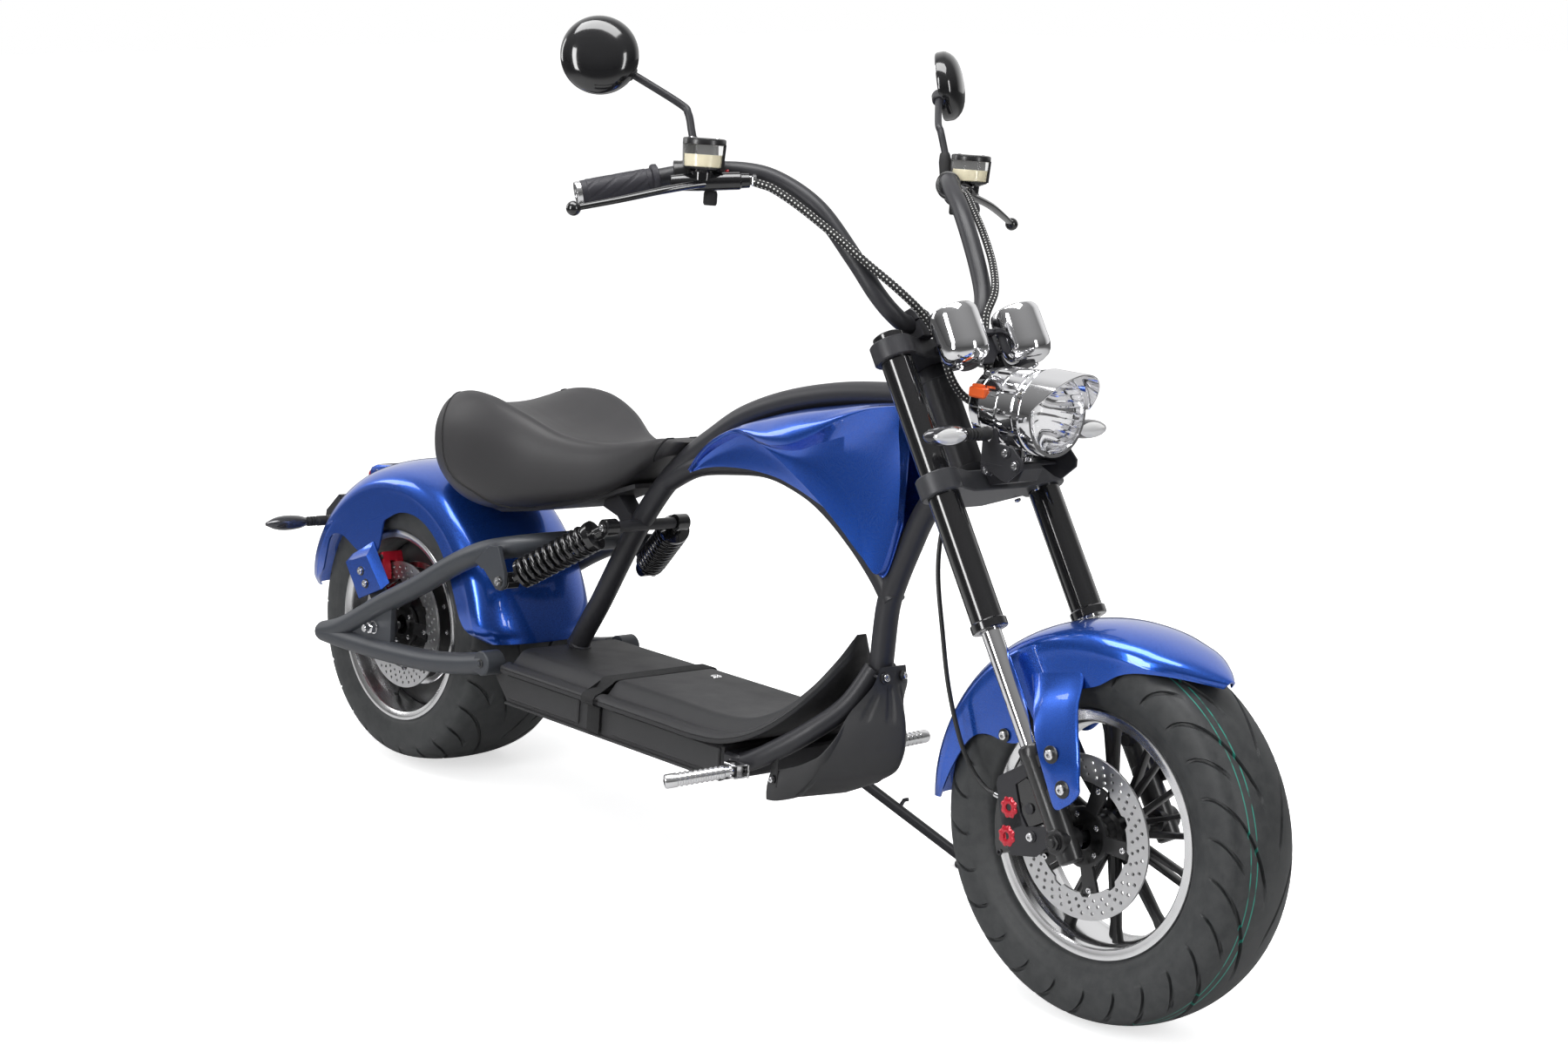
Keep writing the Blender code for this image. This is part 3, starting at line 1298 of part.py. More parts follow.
LOOM = (
    (-0.0112, 0.2088, 0.9680),
    (-0.0045, 0.2040, 0.9610),
    (0.006, 0.194, 0.948),
    (0.022, 0.176, 0.915),
    (0.042, 0.153, 0.865),
    (0.060, 0.126, 0.810),
    (0.072, 0.095, 0.762),
    (0.070, 0.062, 0.726),
    (0.066, 0.047, 0.690),
    (0.0645, 0.045, 0.665),
    (0.056, 0.036, 0.640),
    (0.050, 0.022, 0.620),
    (0.0555, 0.013, 0.6045),
    (0.0650, 0.012, 0.5984),
)
HOSE = (
    (-0.0656, -0.078, 0.0849),
    (-0.0768, -0.078, 0.0948),
    (-0.088, -0.080, 0.108),
    (-0.096, -0.084, 0.135),
    (-0.094, -0.090, 0.180),
    (-0.080, -0.093, 0.250),
    (-0.058, -0.093, 0.320),
    (-0.036, -0.090, 0.390),
    (-0.014, -0.082, 0.440),
    (0.008, -0.074, 0.466),
    (0.012, -0.072, 0.4793),
)
# (name, radius, places in the steering's axes)
CORDS = (
    ("loom_right", 0.0055, [(x, -y, z) for x, y, z in LOOM]),
    ("loom_left", 0.0055, LOOM),
    ("brake_hose", 0.0032, HOSE),
)
for name, radius, places in CORDS:
    smooth = rounded(places)
    curve = bpy.data.curves.new(name, "CURVE")
    curve.dimensions = "3D"
    curve.bevel_depth = radius
    curve.bevel_resolution = 1
    curve.use_fill_caps = True
    spline = curve.splines.new("POLY")
    spline.points.add(len(smooth) - 1)
    for point, place in zip(spline.points, smooth):
        point.co = (*place, 1)
    cord = bpy.data.objects.new(name, curve)
    bpy.context.scene.collection.objects.link(cord)
    cord.parent = steering_axis
    painted(cord, "rubber")

# Place: leaning on the stand, the ground at zero, the origin under the middle of the bounding box

ahead = (Vector((1, 0, 0)) - UP * UP.x).normalized()
turn = Matrix((ahead, UP.cross(ahead), UP)).to_4x4()
scooter.matrix_local = turn
bpy.context.view_layer.update()
graph = bpy.context.evaluated_depsgraph_get()
corners = []
for piece in bpy.context.scene.objects:
    if piece.type in ("MESH", "CURVE") and not piece.hide_render:
        solid = piece.evaluated_get(graph)
        corners += [solid.matrix_world @ v.co for v in solid.to_mesh().vertices]
middle = [(min(c[i] for c in corners) + max(c[i] for c in corners)) / 2 for i in range(2)]
scooter.matrix_local = Matrix.Translation((-middle[0], -middle[1], rear_down)) @ turn
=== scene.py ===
# Electric chopper scooter on its side stand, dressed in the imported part's frame, in metres.
# Sections follow the order in which such a scooter is put together.
import json
from math import cos, pi, radians, sin

import bpy
import numpy as np
from mathutils import Matrix, Vector


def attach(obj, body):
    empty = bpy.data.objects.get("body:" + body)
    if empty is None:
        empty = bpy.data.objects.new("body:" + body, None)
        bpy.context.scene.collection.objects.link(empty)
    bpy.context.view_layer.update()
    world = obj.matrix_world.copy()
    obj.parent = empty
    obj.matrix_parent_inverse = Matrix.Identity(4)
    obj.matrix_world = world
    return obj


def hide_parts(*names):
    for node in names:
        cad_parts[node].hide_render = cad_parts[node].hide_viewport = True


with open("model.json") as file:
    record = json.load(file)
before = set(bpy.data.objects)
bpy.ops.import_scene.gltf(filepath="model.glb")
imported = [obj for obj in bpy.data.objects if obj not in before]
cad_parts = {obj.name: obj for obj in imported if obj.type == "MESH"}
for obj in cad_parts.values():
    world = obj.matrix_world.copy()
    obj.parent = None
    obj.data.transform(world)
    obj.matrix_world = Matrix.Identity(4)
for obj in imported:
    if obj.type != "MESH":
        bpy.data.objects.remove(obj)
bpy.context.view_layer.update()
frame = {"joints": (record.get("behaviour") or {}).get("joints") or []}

# Photographer's view: a studio camera ahead of the scooter on its right, a little above the seat.
# It is aimed by the wheel circles, so it is placed from the rear axle.

scene = bpy.context.scene
joints = {joint["name"]: joint for joint in frame["joints"]}
rear_axle = Vector(joints["rear_wheel"]["pos_m"])
VIEW_FROM_AXLE = Vector((3.4578, -2.4030, 1.1272))
VIEW_AZIMUTH = radians(47.1904)
VIEW_DROP = radians(12.8853)
VIEW_FOCUS = 2855.72  # in pixels of the photograph
PHOTO_WIDTH = 1800
FILM_WIDTH = 36
camera = bpy.data.objects.new("camera", bpy.data.cameras.new("camera"))
scene.collection.objects.link(camera)
look = Vector((-sin(VIEW_AZIMUTH) * cos(VIEW_DROP), cos(VIEW_AZIMUTH) * cos(VIEW_DROP), -sin(VIEW_DROP)))
camera.rotation_mode = "QUATERNION"
camera.rotation_quaternion = look.to_track_quat("-Z", "Y")
camera.location = rear_axle + VIEW_FROM_AXLE
camera.data.lens = VIEW_FOCUS / PHOTO_WIDTH * FILM_WIDTH
camera.data.clip_end = 60
scene.camera = camera
scene.view_settings.view_transform = "Standard"

# Studio: a pale floor that runs on as a white background, a soft sky and four soft boxes.
# The floor is lifted to white for the camera only and keeps the scooter's soft shadow.


class Field:
    """A number that varies over a surface. Arithmetic on it adds Math nodes."""

    def __init__(self, finish, socket):
        self.finish = finish
        self.socket = socket

    def math(self, operation, *values):
        return self.finish.add("ShaderNodeMath", {"operation": operation}, dict(enumerate(values)))

    def __add__(self, other):
        return self.math("ADD", self, other)

    def __radd__(self, other):
        return self.math("ADD", other, self)

    def __sub__(self, other):
        return self.math("SUBTRACT", self, other)

    def __rsub__(self, other):
        return self.math("SUBTRACT", other, self)

    def __mul__(self, other):
        return self.math("MULTIPLY", self, other)

    def __rmul__(self, other):
        return self.math("MULTIPLY", other, self)

    def __truediv__(self, other):
        return self.math("DIVIDE", self, other)

    def at_least(self, other):
        return self.math("MAXIMUM", self, other)

    def over(self, edge, soft=0.001):
        """0 below an edge, 1 above it."""
        inputs = {"Value": self, "From Min": edge - soft, "From Max": edge + soft}
        return self.finish.add("ShaderNodeMapRange", {"interpolation_type": "SMOOTHSTEP"}, inputs)

    def band(self, low, high, soft=0.001):
        return self.over(low, soft) * (1 - self.over(high, soft))


class Wiring:
    """A node tree and the way a node is added to it."""

    def __init__(self, tree):
        self.tree = tree

    def add(self, kind, settings, inputs, output=0):
        made = self.tree.nodes.new(kind)
        for key, value in settings.items():
            setattr(made, key, value)
        for key, value in inputs.items():
            if isinstance(value, Field):
                self.tree.links.new(value.socket, made.inputs[key])
            else:
                made.inputs[key].default_value = value
        return Field(self, made.outputs[output])


class Finish(Wiring):
    """A node material round one shader, with the few nodes that the pieces' finishes share."""

    def __init__(self, name, colour, roughness, metallic=0.0, **sockets):
        self.material = bpy.data.materials.new(name)
        self.material.use_nodes = True
        super().__init__(self.material.node_tree)
        self.shader = self.tree.nodes["Principled BSDF"]
        self.material.diffuse_color = (*colour, 1)
        self.set("Base Color", (*colour, 1))
        self.set("Roughness", roughness)
        self.set("Metallic", metallic)
        for socket, value in sockets.items():
            self.set(socket.replace("_", " "), value)

    def set(self, socket, value):
        if isinstance(value, Field):
            self.tree.links.new(value.socket, self.shader.inputs[socket])
        else:
            self.shader.inputs[socket].default_value = value

    def place(self):
        return self.add("ShaderNodeTexCoord", {}, {}, "Object")

    def noise(self, scale, detail, rough):
        """Cloudy values round 0.5, scale being how many there are in a metre."""
        inputs = {"Vector": self.place(), "Scale": scale, "Detail": detail, "Roughness": rough}
        return self.add("ShaderNodeTexNoise", {}, inputs, "Fac")

    def cells(self, scale):
        return self.add("ShaderNodeTexVoronoi", {}, {"Vector": self.place(), "Scale": scale}, "Distance")

    def painted_on(self, name):
        """A number that the mesh carries at its points."""
        return self.add("ShaderNodeAttribute", {"attribute_name": name}, {}, "Fac")

    def mix(self, share, first, second):
        colours = {6: first if isinstance(first, Field) else (*first, 1)}
        colours[7] = second if isinstance(second, Field) else (*second, 1)
        return self.add("ShaderNodeMix", {"data_type": "RGBA"}, {0: share, **colours}, 2)

    def bump(self, height, depth, strength=1.0):
        inputs = {"Height": height, "Distance": depth, "Strength": strength}
        self.set("Normal", self.add("ShaderNodeBump", {}, inputs, "Normal"))


FLOOR_LIFT = 0.62
FLOOR_REACH = 2.6  # how far round the scooter the floor throws light back at it
FLOOR_SOFT = 0.9
FLOOR_WHITE = (0.86, 0.86, 0.865)
FLOOR_NEAR = (0.50, 0.50, 0.50)
FLOOR_FAR = (0.14, 0.14, 0.14)
floor_finish = Finish("studio_floor", FLOOR_WHITE, 0.9)
ray = floor_finish.add("ShaderNodeLightPath", {}, {}, "Is Camera Ray")
floor_finish.set("Emission Color", floor_finish.mix(ray, (0, 0, 0), (1.0, 1.0, 1.0)))
reach = floor_finish.add("ShaderNodeVectorMath", {"operation": "LENGTH"}, {0: floor_finish.place()}, "Value")
bounced = floor_finish.mix(reach.over(FLOOR_REACH, FLOOR_SOFT), FLOOR_NEAR, FLOOR_FAR)
floor_finish.set("Base Color", floor_finish.mix(ray, bounced, FLOOR_WHITE))
floor_finish.set("Emission Strength", FLOOR_LIFT)
floor_mesh = bpy.data.meshes.new("studio_floor")
WIDE = 30
corners = [(-WIDE, -WIDE, 0), (WIDE, -WIDE, 0), (WIDE, WIDE, 0), (-WIDE, WIDE, 0)]
floor_mesh.from_pydata(corners, [], [(0, 1, 2, 3)])
floor_mesh.materials.append(floor_finish.material)
floor = bpy.data.objects.new("studio_floor", floor_mesh)
scene.collection.objects.link(floor)

world = bpy.data.worlds.new("studio_sky")
scene.world = world
world.use_nodes = True
sky = Wiring(world.node_tree)
toward = sky.add("ShaderNodeTexCoord", {}, {}, "Generated")
rise = sky.add("ShaderNodeSeparateXYZ", {}, {0: toward}, "Z")
BACKDROP_WAY = (-0.73, 0.68, 0.0)
BACKDROP_GLOW = 0.85
behind = sky.add("ShaderNodeVectorMath", {"operation": "DOT_PRODUCT"}, {0: toward, 1: BACKDROP_WAY}, "Value")


def graded(low, high, dark, bright):
    """Light that grows with the height in the sky."""
    inputs = {"Value": rise, "From Min": low, "From Max": high, "To Min": dark, "To Max": bright}
    return sky.add("ShaderNodeMapRange", {}, inputs)


fill = graded(-0.1, 0.8, 0.20, 0.66)
reflected = graded(0.0, 0.9, 0.07, 0.36).at_least(behind.over(0.36, 0.34) * BACKDROP_GLOW)
glossy = sky.add("ShaderNodeLightPath", {}, {}, "Is Glossy Ray")
straight = sky.add("ShaderNodeLightPath", {}, {}, "Is Camera Ray")
through = sky.add("ShaderNodeLightPath", {}, {}, "Is Transmission Ray")
level = (fill * (1 - glossy) + reflected * glossy).at_least(straight).at_least(through)
background = world.node_tree.nodes["Background"]
world.node_tree.links.new(level.socket, background.inputs["Strength"])
background.inputs["Color"].default_value = (1, 1, 1, 1)

# (name, place, size, watts)
SOFT_BOXES = (
    ("over", (0.2, -0.5, 3.1), (2.8, 1.2), 76),
    ("right", (0.2, -3.4, 1.7), (0.7, 2.3), 58),
    ("front", (3.9, 0.3, 1.6), (0.6, 2.2), 34),
    ("behind", (-3.2, -1.6, 1.9), (0.6, 2.0), 18),
)
LIT_PLACE = Vector((0, 0, 0.5))
for name, place, size, watts in SOFT_BOXES:
    lamp = bpy.data.lights.new(name, "AREA")
    lamp.shape = "RECTANGLE"
    lamp.size, lamp.size_y = size
    lamp.energy = watts
    box = bpy.data.objects.new(name, lamp)
    scene.collection.objects.link(box)
    box.location = place
    box.rotation_mode = "QUATERNION"
    box.rotation_quaternion = (LIT_PLACE - Vector(place)).to_track_quat("-Z", "Y")

# Places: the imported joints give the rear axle, the steering axis and the front axle.
# Chassis pieces are placed from the rear axle; what turns with the bars from its foot, X ahead
# of the axis and Z up it.

RAKE = radians(32.4)


def axes(origin, x, y, z):
    placed = Matrix((x, y, z)).transposed().to_4x4()
    placed.translation = origin
    return placed


left = Vector(joints["rear_wheel"]["axis"])
up_fork = Vector(joints["steering"]["axis"])
ahead_of_fork = left.cross(up_fork)
forward = cos(RAKE) * ahead_of_fork - sin(RAKE) * up_fork
upward = sin(RAKE) * ahead_of_fork + cos(RAKE) * up_fork
CHASSIS = axes(rear_axle, forward, left, upward)
STEERING = axes(Vector(joints["steering"]["pos_m"]), ahead_of_fork, left, up_fork)
FRONT_WHEEL = axes(Vector(joints["front_wheel"]["pos_m"]), forward, left, upward)
LEVEL = Matrix.Rotation(RAKE, 4, "Y")  # turns places along the fork to level ones
SIDES = ((-1, "right"), (1, "left"))
UP = (0, 0, 1)


def shared_turn(count):
    """Angles that part a full turn evenly."""
    return [2 * pi * (i + 0.5) / count for i in range(count)]


def hoop(centre, radius, across, other, sides):
    """Points round a centre, in the plane of two square directions."""
    return [centre + radius * (across * cos(a) + other * sin(a)) for a in shared_turn(sides)]


class Shape:
    """Points and faces gathered for one piece, in the axes of what carries it."""

    def __init__(self):
        self.points = []
        self.faces = []
        self.paints = []

    def add(self, points, faces, paint=0):
        base = len(self.points)
        self.points += [tuple(p) for p in points]
        self.faces += [tuple(base + i for i in face) for face in faces]
        self.paints += [paint] * len(faces)

    def skin(self, rings, paint=0, closed=False, ends=True, ring_closed=True):
        count = len(rings[0])
        faces = []
        for i in range(len(rings) - (0 if closed else 1)):
            here = i * count
            there = (i + 1) % len(rings) * count
            for j in range(count - (0 if ring_closed else 1)):
                k = (j + 1) % count
                faces.append((here + j, here + k, there + k, there + j))
        if ends and not closed:
            faces.append(tuple(range(count))[::-1])
            faces.append(tuple(range((len(rings) - 1) * count, len(rings) * count)))
        self.add([p for ring in rings for p in ring], faces, paint)

    def sweep(self, path, radius, sides=24, paint=0):
        """A round bar along a path."""
        path = [Vector(p) for p in path]
        across = (path[1] - path[0]).orthogonal().normalized()
        rings = []
        for i, point in enumerate(path):
            back = (point - path[max(i - 1, 0)]).normalized()
            on = (path[min(i + 1, len(path) - 1)] - point).normalized()
            along = (back + on).normalized()
            across = (across - along * across.dot(along)).normalized()
            rings.append(hoop(point, radius, across, along.cross(across), sides))
        self.skin(rings, paint)

    def turn(self, start, way, stations, sides=32, paint=0):
        """A round piece along a line: stations of (distance along way, radius)."""
        way = Vector(way).normalized()
        across = way.orthogonal().normalized()
        other = way.cross(across)
        self.skin([hoop(Vector(start) + way * t, r, across, other, sides) for t, r in stations], paint)

    def ring(self, profile, count=128, paint=0):
        """A closed outline of (y, radius) turned about Y."""
        rings = [[(r * cos(a), y, r * sin(a)) for y, r in profile] for a in shared_turn(count)]
        self.skin(rings, paint, closed=True)

    def plate(self, outline, low, high, axis="Y", bevel=0.0008, paint=0):
        """An outline of pairs pushed from low to high along an axis, its edges broken."""
        order = {"Z": (0, 1, 2), "Y": (0, 2, 1), "X": (2, 0, 1)}[axis]
        flat = [Vector(p) for p in outline]
        area = sum(a.x * b.y - b.x * a.y for a, b in zip(flat, flat[1:] + flat[:1]))
        if area < 0:
            flat.reverse()
        inset = []
        for i, point in enumerate(flat):
            one = (point - flat[i - 1]).normalized()
            two = (flat[(i + 1) % len(flat)] - point).normalized()
            inward = Vector((-one.y - two.y, one.x + two.x))
            inset.append(point + inward.normalized() * bevel)
        low, high = min(low, high), max(low, high)
        rings = []
        for edge, level in ((inset, low), (flat, low + bevel), (flat, high - bevel), (inset, high)):
            rings.append([[(*p, level)[k] for k in order] for p in edge])
        self.skin(rings, paint)

    def block(self, low, high, bevel=0.0012, paint=0):
        low, high = [min(a, b) for a, b in zip(low, high)], [max(a, b) for a, b in zip(low, high)]
        outline = [(low[0], low[1]), (high[0], low[1]), (high[0], high[1]), (low[0], high[1])]
        cut = []
        for i, (x, y) in enumerate(outline):
            for other in (outline[i - 1], outline[(i + 1) % 4]):
                away = Vector((other[0] - x, other[1] - y)).normalized() * bevel
                cut.append((x + away.x, y + away.y))
        self.plate(cut, low[2], high[2], "Z", bevel, paint)

    def bolt(self, seat, way, radius, tall, washer=0.0, paint=0, dark=1):
        """A socket screw's head, on its washer where one is given, from its seat outwards."""
        way = Vector(way).normalized()
        seat = Vector(seat)
        if washer:
            self.turn(seat, way, ((0, washer), (0.0014, washer), (0.0018, washer - 0.0005)), 28, dark)
            seat = seat + way * 0.0018
        hole = radius * 0.55
        stations = ((0, radius), (tall - 0.0008, radius), (tall, radius - 0.0008), (tall, hole))
        self.turn(seat, way, stations + ((tall - 0.0025, hole * 0.98), (tall - 0.0026, 0.0001)), 24, paint)

    def ball(self, centre, radius, paint=0, count=16):
        turns = [pi * i / count for i in range(count + 1)]
        stations = [(-radius * cos(a), max(radius * sin(a), 1e-5)) for a in turns]
        self.turn(centre, UP, stations, count * 2, paint)

    def made(self, name, body, place, finishes, slot, replaces=(), smooth=38):
        """The finished piece, riding on its body and standing for the nodes it replaces."""
        mesh = bpy.data.meshes.new(name)
        mesh.from_pydata(self.points, [], self.faces)
        mesh.transform(place)
        for finish in finishes:
            mesh.materials.append(finish.material)
        mesh.polygons.foreach_set("material_index", self.paints)
        mesh.polygons.foreach_set("use_smooth", [True] * len(self.faces))
        mesh.update()
        mesh.set_sharp_from_angle(angle=radians(smooth))
        piece = bpy.data.objects.new(name, mesh)
        scene.collection.objects.link(piece)
        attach(piece, body)
        if replaces:
            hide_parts(*replaces)
        return piece


def smoothed(points, steps):
    """A path through points as a Catmull-Rom curve."""
    points = [Vector(p) for p in points]
    out = []
    count = len(points)
    for i in range(count - 1):
        a, b, c, d = points[max(i - 1, 0)], points[i], points[i + 1], points[min(i + 2, count - 1)]
        for step in range(steps):
            t = step / steps
            curve = 2 * b + (c - a) * t
            curve += (2 * a - 5 * b + 4 * c - d) * t**2
            curve += (3 * b - a - 3 * c + d) * t**3
            out.append(0.5 * curve)
    return out + points[-1:]


def smooth_pairs(pairs, steps):
    return [(p.x, p.y) for p in smoothed([(a, b, 0) for a, b in pairs], steps)]


def arc(centre, radius, start, end, steps):
    """Points on a circle, angles in degrees."""
    turns = [radians(start + (end - start) * i / steps) for i in range(steps + 1)]
    return [(centre[0] + radius * cos(a), centre[1] + radius * sin(a)) for a in turns]


def in_plane(pairs, y=0.0):
    return [(x, y, z) for x, z in pairs]


WHEELS = {"front": ("front_wheel", FRONT_WHEEL), "rear": ("rear_wheel", CHASSIS)}

# Tyres: road tyres on twelve inch rims, black rubber with long swept grooves and bare sidewalls.
# The grid of each tread leans with its grooves, so their walls stay sharp. The front one is striped.

BEAD_RADIUS = 0.1520
LIP_TOP = 0.1636
CROWN_DROP = 0.029
GROOVE_DEEP = 0.0042
GROOVE_HALF = 0.0031
PITCHES = 13  # long grooves round each side of a tyre
SWEEP = 1.5  # pitches that a long groove runs on from shoulder to crown
TREAD_SHARE = 0.64
# what runs round each sidewall: (share of the tread's half width from the middle)
SIDEWALL_RIBS = (1.10, 1.30, 1.46)
RIB_TALL = 0.0007


def tyre_profile(half, radius, lip_half):
    """From one bead over the tread to the other, as (y, radius)."""
    bead = lip_half - 0.0035
    side = [
        (bead, BEAD_RADIUS),
        (bead + 0.0005, LIP_TOP + 0.0008),
        (lip_half + 0.30 * (half - lip_half), LIP_TOP + 0.0075),
        (half, LIP_TOP + 0.45 * (radius - LIP_TOP)),
        (half * 0.93, radius - CROWN_DROP * 0.58),
        (half * 0.55, radius - CROWN_DROP * 0.14),
    ]
    return smooth_pairs([(-y, r) for y, r in side] + [(0, radius)] + side[::-1], 9)


rubber = Finish("tyre_rubber", (0.034, 0.036, 0.038), 0.55, Specular_IOR_Level=0.45)
dust = rubber.noise(60, 5, 0.6)
worn = rubber.mix(dust.over(0.5, 0.25), (0.026, 0.028, 0.030), (0.044, 0.046, 0.047))
across_tread = rubber.painted_on("stripes")
stripe = across_tread.band(0.0300, 0.0318, 0.0003) + across_tread.band(0.0400, 0.0416, 0.0003)
patchy = rubber.noise(35, 3, 0.6).over(0.40, 0.10)
rubber.set("Base Color", rubber.mix(stripe * patchy * 0.7, worn, (0.020, 0.330, 0.250)))
rubber.set("Roughness", 0.40 + dust * 0.22)
rubber.bump(rubber.noise(700, 3, 0.6), 0.0003, 0.4)

# (name, radius, half width, lip half width, striped)
TYRES = (("front", 0.2531, 0.0627, 0.0475, 1), ("rear", 0.2384, 0.1038, 0.0997, 0))
for name, radius, half, lip_half, striped in TYRES:
    profile = np.array(tyre_profile(half, radius, lip_half))
    run = np.concatenate([[0], np.cumsum(np.hypot(*np.diff(profile, axis=0).T))])
    run -= run[len(run) // 2]
    tread_half = run[-1] * TREAD_SHARE
    fine = np.concatenate([
        np.linspace(run[0], -tread_half, 16)[:-1],
        np.linspace(-tread_half, tread_half, 84),
        np.linspace(tread_half, run[-1], 16)[1:],
    ])
    y = np.interp(fine, run, profile[:, 0])
    r = np.interp(fine, run, profile[:, 1])
    outwards = np.abs(fine) / tread_half
    reach = np.minimum(outwards, 1.0)
    pitch = 2 * pi * radius / PITCHES
    lead = SWEEP * (1 - reach) ** 2
    slope = SWEEP * 2 * (1 - reach) * pitch / tread_half
    widened = GROOVE_HALF / pitch * np.sqrt(1 + slope**2)
    columns = []
    for lane in (0.0, 0.5):
        for edge in (-1.0, -0.55, 0.55, 1.0):
            long_side = fine < 0 if lane == 0.0 else fine > 0
            low = np.where(long_side, 0.10, 0.50)
            window = np.clip((outwards - low) * 14, 0, 1)
            window *= np.clip((1.02 - outwards) * 9, 0, 1)
            sunk = GROOVE_DEEP * window if abs(edge) < 1 else 0 * fine
            columns.append((lane + edge * widened, sunk))
        for fill in (0.19, 0.22, 0.25, 0.28, 0.31):
            columns.append((lane + fill + 0 * fine, 0 * fine))
    normal = np.gradient(y, fine), -np.gradient(r, fine)
    rib = np.zeros_like(fine)
    for at in SIDEWALL_RIBS:
        rib = rib + RIB_TALL * np.exp(-(((outwards - at) / 0.02) ** 2))
    rings = []
    for turn in range(PITCHES):
        for where, sunk in columns:
            angle = 2 * pi * (turn + where - lead) / PITCHES
            out = rib - sunk
            out_r = r + out * normal[0]
            out_y = y + out * normal[1]
            rings.append(np.stack([out_r * np.cos(angle), out_y, out_r * np.sin(angle)], -1).tolist())
    shape = Shape()
    shape.skin(rings, closed=True)
    tyre = shape.made(f"{name}_road_tyre", *WHEELS[name], [rubber], "tyre", [f"{name}_tyre"], 30)
    carried = tyre.data.attributes.new("stripes", "FLOAT", "POINT")
    carried.data.foreach_set("value", np.tile(-fine * striped, len(rings)).astype(np.float32))

# Rims: cast aluminium, machined and polished on the lip, with a step down to the barrel.
# The rear one is deep and nearly as wide as its tyre.

polished = Finish("polished_aluminium", (0.82, 0.82, 0.83), 0.20, 1.0)
turning = polished.noise(40, 4, 0.6)
polished.set("Roughness", 0.14 + turning * 0.16)
polished.bump(polished.noise(700, 2, 0.6), 0.00005, 0.25)
cast_black = Finish("cast_black", (0.012, 0.012, 0.013), 0.32, 0.0, Coat_Weight=0.3, Coat_Roughness=0.2)
cast_black.bump(cast_black.noise(500, 3, 0.5), 0.0001, 0.3)
RIM_WELL = 0.1420
RIM_BACK = 0.1450
# (name, lip half width, the face from the well to the lip as shares of that half width and radii)
RIMS = (
    ("front", 0.0475, (
        (0.0, RIM_WELL), (0.52, 0.1425), (0.66, 0.1452), (0.74, 0.1478), (0.93, 0.1484), (0.975, 0.1505))),
    ("rear", 0.0997, (
        (0.0, RIM_WELL), (0.50, 0.1425), (0.60, 0.1436), (0.70, 0.1476), (0.92, 0.1482), (0.965, 0.1500))),
)
for name, half, stations in RIMS:
    inner = [(half * t, r) for t, r in stations]
    lip = [(half - 0.0006, 0.1560), (half, 0.1590), (half, 0.1628), (half - 0.0009, LIP_TOP)]
    lip += [(half - 0.0030, LIP_TOP), (half - 0.0034, 0.1600), (half - 0.0040, 0.1515), (half * 0.86, 0.1500)]
    lip += [(half * 0.60, 0.1462), (0.0, RIM_BACK)]
    right = inner + lip
    outline = [(-y, r) for y, r in right[1:-1]] + [(0.0, RIM_BACK)] + right[-2:0:-1] + [(0.0, RIM_WELL)]
    shape = Shape()
    shape.ring(outline, 160)
    shape.made(f"{name}_polished_rim", *WHEELS[name], [polished], "silver", [f"{name}_rim"], 30)

# Front wheel's hub and spokes: one black casting with eleven pairs of flat spokes in Vs.
# The spokes end in small feet on the barrel; the hub carries the disc's studs.

SPOKE_PAIRS = 11
SPOKE_LEAN = radians(9.5)
SPOKE_ROOT = 0.0215
BARREL = 0.1452
# (share of the length, half width, half depth)
SPOKE_STATIONS = ((0, 0.0052, 0.0086), (0.12, 0.0046, 0.0080), (0.85, 0.0032, 0.0062), (1, 0.0052, 0.0080))
SPOKE_CORNERS = ((-1, -0.7), (-0.7, -1), (0.7, -1), (1, -0.7), (1, 0.7), (0.7, 1), (-0.7, 1), (-1, 0.7))
shape = Shape()
hub = [
    (0.0462, 0.0088), (0.0462, 0.0225), (0.0440, 0.0243), (0.0250, 0.0250), (0.0200, 0.0296), (0.0, 0.0300),
]
shape.ring([(-y, r) for y, r in hub] + hub[-2::-1], 64)
for i in range(SPOKE_PAIRS):
    for lean in (-1, 1):
        foot = 2 * pi * i / SPOKE_PAIRS
        tip = foot + lean * SPOKE_LEAN
        start = Vector((cos(foot) * SPOKE_ROOT, lean * 0.004, sin(foot) * SPOKE_ROOT))
        end = Vector((cos(tip) * BARREL, lean * 0.018, sin(tip) * BARREL))
        across = (end - start).normalized().cross(Vector((0, 1, 0)))
        rings = []
        for t, wide, deep in SPOKE_STATIONS:
            middle = start.lerp(end, t)
            rings.append([middle + across * a * wide + Vector((0, b * deep, 0)) for a, b in SPOKE_CORNERS])
        shape.skin(rings)
shape.made("front_cast_spokes", *WHEELS["front"], [cast_black], "gloss_black", ["front_spokes"], 40)

# Hub motor: two turned covers on a ring of laminations, in the rear rim's dish.
# Its outer face steps down through a bare machined ring to a black dome round the axle.

